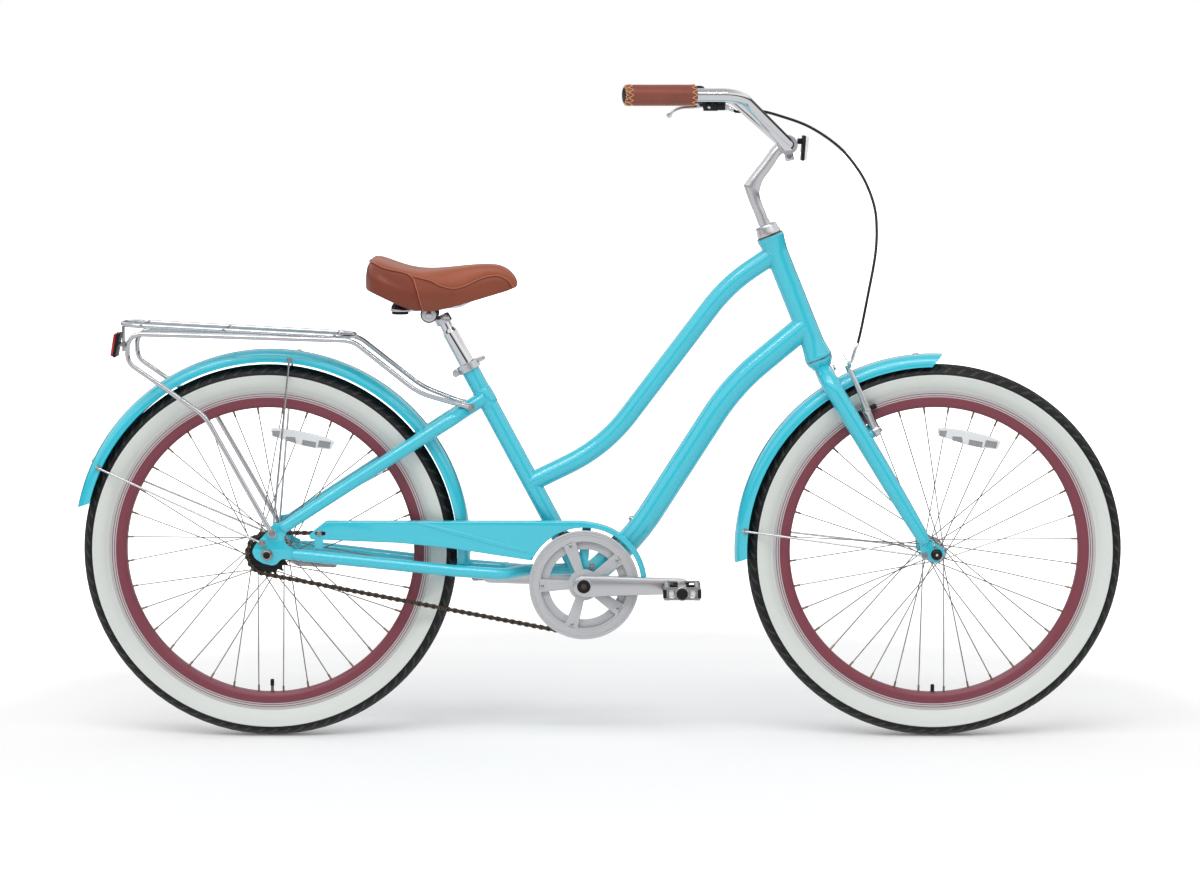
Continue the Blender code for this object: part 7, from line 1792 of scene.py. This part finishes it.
# Saddle stations from the rear to the nose: ahead of the seatpost's top, the cover's top and
# underside above it, and the share of the full width
SADDLE_SHAPE = (
    (-0.1303, 0.0777, 0.0542, 0.40),
    (-0.1253, 0.1052, 0.0497, 0.72),
    (-0.1093, 0.1102, 0.0439, 0.93),
    (-0.0793, 0.0975, 0.0299, 1.00),
    (-0.0443, 0.0872, 0.0135, 0.90),
    (-0.0093, 0.0862, 0.0112, 0.62),
    (0.0257, 0.0897, 0.0197, 0.42),
    (0.0657, 0.0938, 0.0307, 0.32),
    (0.1037, 0.0942, 0.0422, 0.275),
    (0.1257, 0.0785, 0.0487, 0.20),
    (0.1332, 0.0617, 0.0537, 0.10),
)
SEATPOST_TOP = BB + SEAT_UP * 0.528
SADDLE_STATIONS = [
    (SEATPOST_TOP.x + ahead, SEATPOST_TOP.z + top, SEATPOST_TOP.z + under, share)
    for ahead, top, under, share in SADDLE_SHAPE
]
SADDLE_WIDTH = 0.225


# The cover's seams in the side view, as x and z from the rear axle
SEAM_REAR = ((0.1905, 0.8390), (0.2118, 0.8299), (0.2423, 0.8223), (0.2538, 0.8174), (0.2613, 0.8089),
             (0.2670, 0.7917), (0.2725, 0.7707), (0.2765, 0.7545))
SEAM_SIDE = ((0.2574, 0.8165), (0.2872, 0.8081), (0.3054, 0.7988), (0.3202, 0.7944), (0.3311, 0.7938),
             (0.3463, 0.7973), (0.3656, 0.8062), (0.3807, 0.8121), (0.3959, 0.8145), (0.4076, 0.8138),
             (0.4191, 0.8079), (0.4264, 0.8006), (0.4302, 0.7906))


def softened(made, levels):
    """The same shape with its corners rounded away."""
    source = bpy.data.meshes.new("cage")
    made.to_mesh(source)
    made.free()
    cage = bpy.data.objects.new("cage", source)
    cage.modifiers.new("soften", "SUBSURF").levels = levels
    mesh = evaluated(cage)
    soft = bmesh.new()
    soft.from_mesh(mesh)
    for spent in (source, mesh):
        bpy.data.meshes.remove(spent)
    return soft


def saddle_cage():
    made = bmesh.new()
    loops = []
    for x, top, under, share in SADDLE_STATIONS:
        half = SADDLE_WIDTH / 2 * share
        height = top - under
        shape = [
            (0.00, top),
            (0.30 * half, top - 0.001 * share),
            (0.62 * half, top - 0.006 * share),
            (0.86 * half, top - 0.016 * share - 0.06 * height),
            (0.99 * half, under + 0.52 * height),
            (1.00 * half, under + 0.30 * height),
            (0.95 * half, under),
            (0.86 * half, under + 0.002),
            (0.80 * half, under + 0.45 * height),
        ]
        right = [Vector((x, -y, z)) for y, z in shape]
        left = [Vector((x, y, z)) for y, z in shape[::-1][:-1]]
        loops.append([made.verts.new(p) for p in [*right, *left]])
    loft(made, loops)
    right_way_out(made)
    return made


def on_side(tree, seam, side):
    """The seam's points on one side of the cover."""
    found = []
    for place in smooth([at(x, z) for x, z in seam], 0.003):
        hit = tree.ray_cast(across(place, side * 0.4), ACROSS * -side)[0]
        if hit is not None:
            found.append(hit)
    return found


def height_on(seam, x):
    """The seam's height at this place along the saddle, and its ends' heights beyond it."""
    places = [(at(a, 0).x, z) for a, z in seam]
    if x <= places[0][0]:
        return places[0][1]
    for (low, z_low), (high, z_high) in zip(places, places[1:]):
        if low <= x <= high:
            return z_low + (z_high - z_low) * (x - low) / max(high - low, 1e-6)
    return places[-1][1]


def build_saddle():
    """A padded cover in three panels, top, side and rear, drawn in at their piped seams. The side and rear panels
    are painted darker than the top, as painted shade.
    """
    made = softened(saddle_cage(), 4)
    tree = BVHTree.FromBMesh(made)
    rear = [on_side(tree, SEAM_REAR, side) for side in (RIGHT, LEFT)]
    height = at(*SEAM_REAR[0]).z
    behind = []
    for k in range(25):
        share = (k + 1) / 26
        lift = 0.0015 * math.sin(math.pi * share)
        start = Vector((SADDLE_STATIONS[0][0] - 0.2, rear[0][0].y * (1 - 2 * share), height + lift))
        hit = tree.ray_cast(start, AHEAD)[0]
        if hit is not None:
            behind.append(hit)
    seams = [smooth(rear[0][::-1] + behind + rear[1], 0.004)]
    seams += [smooth(on_side(tree, SEAM_SIDE, side), 0.004) for side in (RIGHT, LEFT)]
    places = [place for seam in seams for place in seam]
    near = KDTree(len(places))
    for k, place in enumerate(places):
        near.insert(place, k)
    near.balance()
    made.normal_update()
    for vert in made.verts:
        away = near.find(vert.co)[2]
        vert.co -= vert.normal * (0.0016 * math.exp(-((away / 0.0065) ** 2)))
    fold, end = at(*SEAM_REAR[4]), at(*SEAM_REAR[-1])
    # Faces under the side seam take the side's painted shade, and faces behind the rear seam take the rear's
    # darker painted shade.
    for face in made.faces:
        middle = face.calc_center_median()
        low_fold = fold.x + (end.x - fold.x) * (fold.z - middle.z) / (fold.z - end.z)
        behind_fold = middle.x < fold.x and middle.z < height_on(SEAM_REAR, middle.x)
        if behind_fold or middle.z < fold.z and middle.x < low_fold:
            face.material_index = 2
        elif middle.z < height_on(SEAM_SIDE, middle.x):
            face.material_index = 1
    cover = piece("saddle_leather", made, ["leather", "leather_side_painted_shade", "leather_rear_painted_shade"], "saddle_post",
                  "saddle_cover", sharp=60)
    # The piping's lighter leather is a painted highlight along the seams.
    piping = bmesh.new()
    for seam in seams:
        sweep(piping, seam, 0.0011, 10)
    group("saddle_piping", "saddle_post", [], "leather", leather_edge=piping)


# Seatpost, clamp and the saddle's underside
RAIL_AT = beside(SEATPOST_TOP, -0.0208, 0.0065)
BUMPER_AT = beside(SEATPOST_TOP, -0.0685, 0.0090)
SADDLE_PADDING = 0.038


def build_seatpost():
    made = bmesh.new()
    profile = [(0, -0.232), (0.0130, -0.232), (0.0135, -0.231), (0.0135, -0.0310), (0.0131, -0.0290),
               (0.0112, -0.0245), (0.0110, -0.0230), (0.0110, 0.0034), (0.0104, 0.0040), (0, 0.0040)]
    lathe(made, profile, SEATPOST_TOP, SEAT_UP, 48)
    group("seatpost_tube", "saddle_post", ["seatpost"], "chrome", chrome=made)


def build_saddle_clamp():
    dark, metal = meshes(2)
    collar = [(0.0112, -0.0120), (0.0140, -0.0120), (0.0146, -0.0110), (0.0146, 0.0016), (0.0138, 0.0030),
              (0.0112, 0.0030)]
    lathe(metal, collar, SEATPOST_TOP, SEAT_UP, 48, True)
    post_ahead = ACROSS.cross(SEAT_UP)
    neck = SEATPOST_TOP + post_ahead * 0.0075 - SEAT_UP * 0.0050
    block(dark, neck, (0.0130, 0.0160, 0.0110), (post_ahead, ACROSS, SEAT_UP), 0.0018, 3)
    block(metal, beside((RAIL_AT + SEATPOST_TOP) / 2, -0.0040, -0.0010), (0.0150, 0.0210, 0.0130), None,
          0.0025, 3)
    crossing(metal, RAIL_AT, -0.0330, 0.0330, 0.0050, 24)
    for side in (RIGHT, LEFT):
        jaw = [(0, 0), (0.0150, 0), (0.0150, 0.0030), (0.0140, 0.0036), (0.0140, 0.0124), (0.0150, 0.0130),
               (0.0150, 0.0152), (0.0142, 0.0160), (0, 0.0160)]
        outward(dark, jaw, RAIL_AT, side, 0.0140, 48)
        disc = [(0, 0.0008), (0.0060, 0.0010), (0.0115, 0.0012), (0.0128, 0.0008), (0.0130, 0)]
        outward(metal, disc, RAIL_AT, side, 0.0300, 40)
        hexagon(metal, across(RAIL_AT, side * 0.0306), ACROSS * side, 0.0062, 0.0034)
    group("saddle_clamp_body", "saddle_post", ["saddle_clamp"], "alloy", black_plastic=dark, alloy=metal)


def saddle_top(x):
    for first, second in zip(SADDLE_STATIONS, SADDLE_STATIONS[1:]):
        if first[0] <= x <= second[0]:
            return first[1] + (second[1] - first[1]) * (x - first[0]) / (second[0] - first[0])
    return SADDLE_STATIONS[-1][1]


def under_padding(ahead, y, below):
    """A place this far ahead of the seatpost and this far below the saddle's padding."""
    x = SEATPOST_TOP.x + ahead
    return Vector((x, y, saddle_top(x) - SADDLE_PADDING - below))


def rail_path(side):
    corners = [
        under_padding(-0.0983, side * 0.045, 0.0055),
        across(beside(SEATPOST_TOP, -0.0685, 0.0140), side * 0.034),
        across(beside(SEATPOST_TOP, -0.0423, 0.0150), side * 0.022),
        across(beside(SEATPOST_TOP, 0.0330, 0.0215), side * 0.022),
        under_padding(0.0887, side * 0.009, 0.0055),
    ]
    return fillet(corners, [0, 0.014, 0.03, 0.03, 0], 10)


def build_saddle_rails():
    metal, rubber = meshes(2)
    for side in (RIGHT, LEFT):
        sweep(metal, rail_path(side), 0.0035, 20)
        foot = across(BUMPER_AT, side * 0.060)
        lathe(rubber, [(0, 0), (0.0135, 0), (0.0145, 0.0010), (0.0145, 0.0048), (0, 0.0052)], foot, UP, 40)
        lathe(metal, [(0, 0.0054), (0.0163, 0.0054), (0.0165, 0.0064), (0.0165, 0.0084), (0.0160, 0.0092),
                      (0, 0.0092)], foot, UP, 48)
        pad = [(0, 0.0094), (0.0150, 0.0094), (0.0160, 0.0104), (0.0150, 0.0150), (0.0122, 0.0190),
               (0.0112, 0.0280), (0.0102, 0.0400), (0, 0.0405)]
        lathe(rubber, pad, foot, UP, 40)
    nose = under_padding(0.0837, 0, 0.0085)
    crossing(metal, nose, -0.013, 0.013, 0.0042, 16)
    bar = beside(BUMPER_AT, 0, 0.0060)
    crossing(metal, bar, -0.060, 0.060, 0.0033, 16)
    group("saddle_rail_wires", "saddle_post", ["saddle_rails"], "steel", chrome=metal, black_plastic=rubber)


def build_saddle_base():
    made = bmesh.new()
    loops = []
    for x, top, under, share in SADDLE_STATIONS[2:-2]:
        half = SADDLE_WIDTH / 2 * share
        side = half * 0.92 - min(0.010, half * 0.3) - 0.003
        high = max(top - SADDLE_PADDING, under + 0.001) + 0.0012
        shape = [(0, high), (side * 0.7, high), (side, high - 0.0012)]
        shape += [(side, high - 0.0040), (side * 0.7, high - 0.0042), (0, high - 0.0042)]
        places = [(-y, z) for y, z in shape] + shape[::-1][1:-1]
        loops.append([made.verts.new((x + 0.002, y, z)) for y, z in places])
    loft(made, loops)
    group("saddle_base_shell", "saddle_post", ["saddle_base"], black_plastic=made)


# Small fasteners on the frame
def build_small_bolts():
    made = bmesh.new()
    for x, z in ((0.6685, 0.4397), (0.6334, 0.3867)):
        spot = at(x, z)
        nearest = min(DOWN_TUBE_PATH, key=lambda point: (point - spot).length)
        up = (spot - nearest).normalized()
        foot = nearest + up * (DOWN_TUBE_RADIUS - 0.0006)
        lathe(made, [(0, 0), (0.0062, 0), (0.0062, 0.0014), (0.0044, 0.0018), (0.0044, 0.0044),
                     (0.0036, 0.0052), (0, 0.0052)], foot, up, 24)
    for degrees in (81.6, 154.0):
        outward = direction(degrees)
        bolt_head(made, REAR_FENDER_CENTRE + outward * (REAR_FENDER_RADIUS - 0.0002), outward, 0.0040,
                  0.0030)
    group("frame_bolts", "frame", [], "chrome", chrome=made)
    made = bmesh.new()
    outward = direction(95)
    bolt_head(made, FRONT_FENDER_CENTRE + outward * (FRONT_FENDER_RADIUS - 0.0002), outward, 0.0040, 0.0030)
    group("fender_bolt", "steering", [], "chrome", chrome=made)


for wheel_name, wheel_body, wheel_centre in WHEELS:
    build_tyre(wheel_name + "_tyre", wheel_body, wheel_centre)
    build_rim(wheel_name + "_rim", wheel_body, wheel_centre)
build_fender("rear_fender", "frame", REAR_FENDER_CENTRE, REAR_FENDER_RADIUS, REAR_FENDER_ENDS, (0, 2.4))
build_fender("front_fender", "steering", FRONT_FENDER_CENTRE, FRONT_FENDER_RADIUS, FRONT_FENDER_ENDS,
             (3.3, 1.2))
for build in (
    build_frame, build_hubs, build_axles, build_valves, build_chain, build_sprockets,
    build_guard_disc, build_cranks, build_chain_guard, build_fork, build_headset, build_stem,
    build_handlebar,
):
    build()
for side_name, side in SIDES:
    build_grip("grip_" + side_name, side)
build_lever()
for side_name, side in SIDES:
    build_brake_arm("brake_arm_" + side_name, side)
for build in (
    build_brake_fittings, build_cables, build_dropouts, build_chainstays, build_seatstays,
    build_bottom_bracket, build_seat_clamp, build_stays, build_rack, build_reflectors,
    build_coaster_arm, build_spoke_reflectors, build_seatpost, build_saddle_clamp,
    build_saddle_rails, build_saddle_base, build_small_bolts, build_saddle,
):
    build()

# The CAD nodes that stay in view take the same finishes
SLOT_OF = {entry["node"]: entry["material_slot"] for entry in frame["record"]["subparts"]}
for name, obj in frame["nodes"].items():
    obj.data.materials.clear()
    obj.data.materials.append(LOOKS[SLOT_OF[name]])

# Camera
CAMERA_AT = Vector((0.05203, -5.76332, 1.12649))
CAMERA_PITCH = 5.968
CAMERA_YAW = 0.498
CAMERA_ROLL = -0.069
camera_data = bpy.data.cameras.new("camera")
camera_data.lens = 99.0
camera_data.sensor_width = 36.0
camera = bpy.data.objects.new("camera", camera_data)
camera.matrix_world = (
    Matrix.Translation(CAMERA_AT)
    @ Matrix.Rotation(math.radians(CAMERA_YAW), 4, "Z")
    @ Matrix.Rotation(math.radians(90 - CAMERA_PITCH), 4, "X")
    @ Matrix.Rotation(math.radians(CAMERA_ROLL), 4, "Z")
)
bpy.context.scene.collection.objects.link(camera)
bpy.context.scene.camera = camera

# Floor: plain white to the camera as it nears the studio's edge, and grey to glossy pieces
FLOOR_LIFT = 0.09
floor_mesh = bpy.data.meshes.new("floor")
floor_made = bmesh.new()
bmesh.ops.create_grid(floor_made, x_segments=1, y_segments=1, size=60)
floor_made.to_mesh(floor_mesh)
floor_made.free()
floor = bpy.data.objects.new("floor", floor_mesh)
floor.location.z = min(CAD_BOX[0][2], 0) - 0.0005
bpy.context.scene.collection.objects.link(floor)
floor_look = bpy.data.materials.new("floor")
floor_look.use_nodes = True
tree = floor_look.node_tree
tree.nodes.clear()
path = node(tree, "ShaderNodeLightPath")
away = node(tree, "ShaderNodeVectorMath")
away.operation = "LENGTH"
tree.links.new(node(tree, "ShaderNodeTexCoord").outputs["Object"], away.inputs[0])
fade = node(tree, "ShaderNodeMapRange", Value=away.outputs["Value"], From_Min=1.1, From_Max=2.4,
            To_Min=FLOOR_LIFT)
glow = node(tree, "ShaderNodeEmission", Color=(1, 1, 1, 1), Strength=fade.outputs["Result"])
unlit = node(tree, "ShaderNodeEmission", Color=(0, 0, 0, 1), Strength=0.0)
seen = mix_shaders(tree, path.outputs["Is Camera Ray"], unlit, glow)
matt = node(tree, "ShaderNodeBsdfDiffuse", Color=(0.93, 0.93, 0.93, 1))
both = node(tree, "ShaderNodeAddShader")
tree.links.new(matt.outputs[0], both.inputs[0])
tree.links.new(seen.outputs[0], both.inputs[1])
mirrored = node(tree, "ShaderNodeEmission", Color=(0.74, 0.745, 0.76, 1), Strength=1.0)
shown = mix_shaders(tree, path.outputs["Is Glossy Ray"], both, mirrored)
node(tree, "ShaderNodeOutputMaterial", Surface=shown.outputs[0])
floor_mesh.materials.append(floor_look)

# A studio all round: a white ceiling and a dark band at the horizon, which the camera sees as plain white.
# Each stop has its height, from 0 straight down to 1 straight up, and its level
STUDIO = ((0.0, 0.62), (0.50, 0.34), (0.515, 0.04), (0.580, 0.06), (0.62, 0.80), (0.68, 1.20), (0.78, 0.95),
          (0.90, 0.66), (1.0, 0.56))
STUDIO_LEVEL = 0.86
world = bpy.data.worlds.new("studio")
bpy.context.scene.world = world
world.use_nodes = True
tree = world.node_tree
tree.nodes.clear()
seen = node(tree, "ShaderNodeBackground", Color=(1, 1, 1, 1), Strength=1.0)
height = node(tree, "ShaderNodeSeparateXYZ")
tree.links.new(node(tree, "ShaderNodeTexCoord").outputs["Generated"], height.inputs[0])
share = node(tree, "ShaderNodeMapRange", Value=height.outputs["Z"], From_Min=-1.0)
ramp = node(tree, "ShaderNodeValToRGB", Fac=share.outputs["Result"])
stops = ramp.color_ramp.elements
for place, level in STUDIO:
    ends = {0.0: 0, 1.0: len(stops) - 1}
    stop = stops[ends[place]] if place in ends else stops.new(place)
    stop.color = (level, level, level * 1.01, 1)
lit = node(tree, "ShaderNodeBackground", Strength=STUDIO_LEVEL, Color=ramp.outputs["Color"])
path = node(tree, "ShaderNodeLightPath")
either = node(tree, "ShaderNodeMath")
either.operation = "MAXIMUM"
tree.links.new(path.outputs["Is Camera Ray"], either.inputs[0])
tree.links.new(path.outputs["Is Transmission Ray"], either.inputs[1])
mix = mix_shaders(tree, either.outputs[0], lit, seen)
node(tree, "ShaderNodeOutputWorld", Surface=mix.outputs[0])


def lamp(name, kind, towards, power, place=(0, 0, 0), **shape):
    data = bpy.data.lights.new(name, kind)
    data.energy = power
    for key, value in shape.items():
        setattr(data, key, value)
    made = bpy.data.objects.new(name, data)
    made.location = place
    made.rotation_euler = (Vector(towards) - Vector(place)).to_track_quat("-Z", "Y").to_euler()
    bpy.context.scene.collection.objects.link(made)


lamp("key", "SUN", (0.25, 0.55, -1.0), 0.9, angle=math.radians(50))
lamp("streak", "AREA", (0.0, 0.0, 0.5), 22, (0.0, -2.2, 3.2), shape="RECTANGLE", size=5.0, size_y=0.06)

bpy.context.scene.view_settings.view_transform = "Standard"
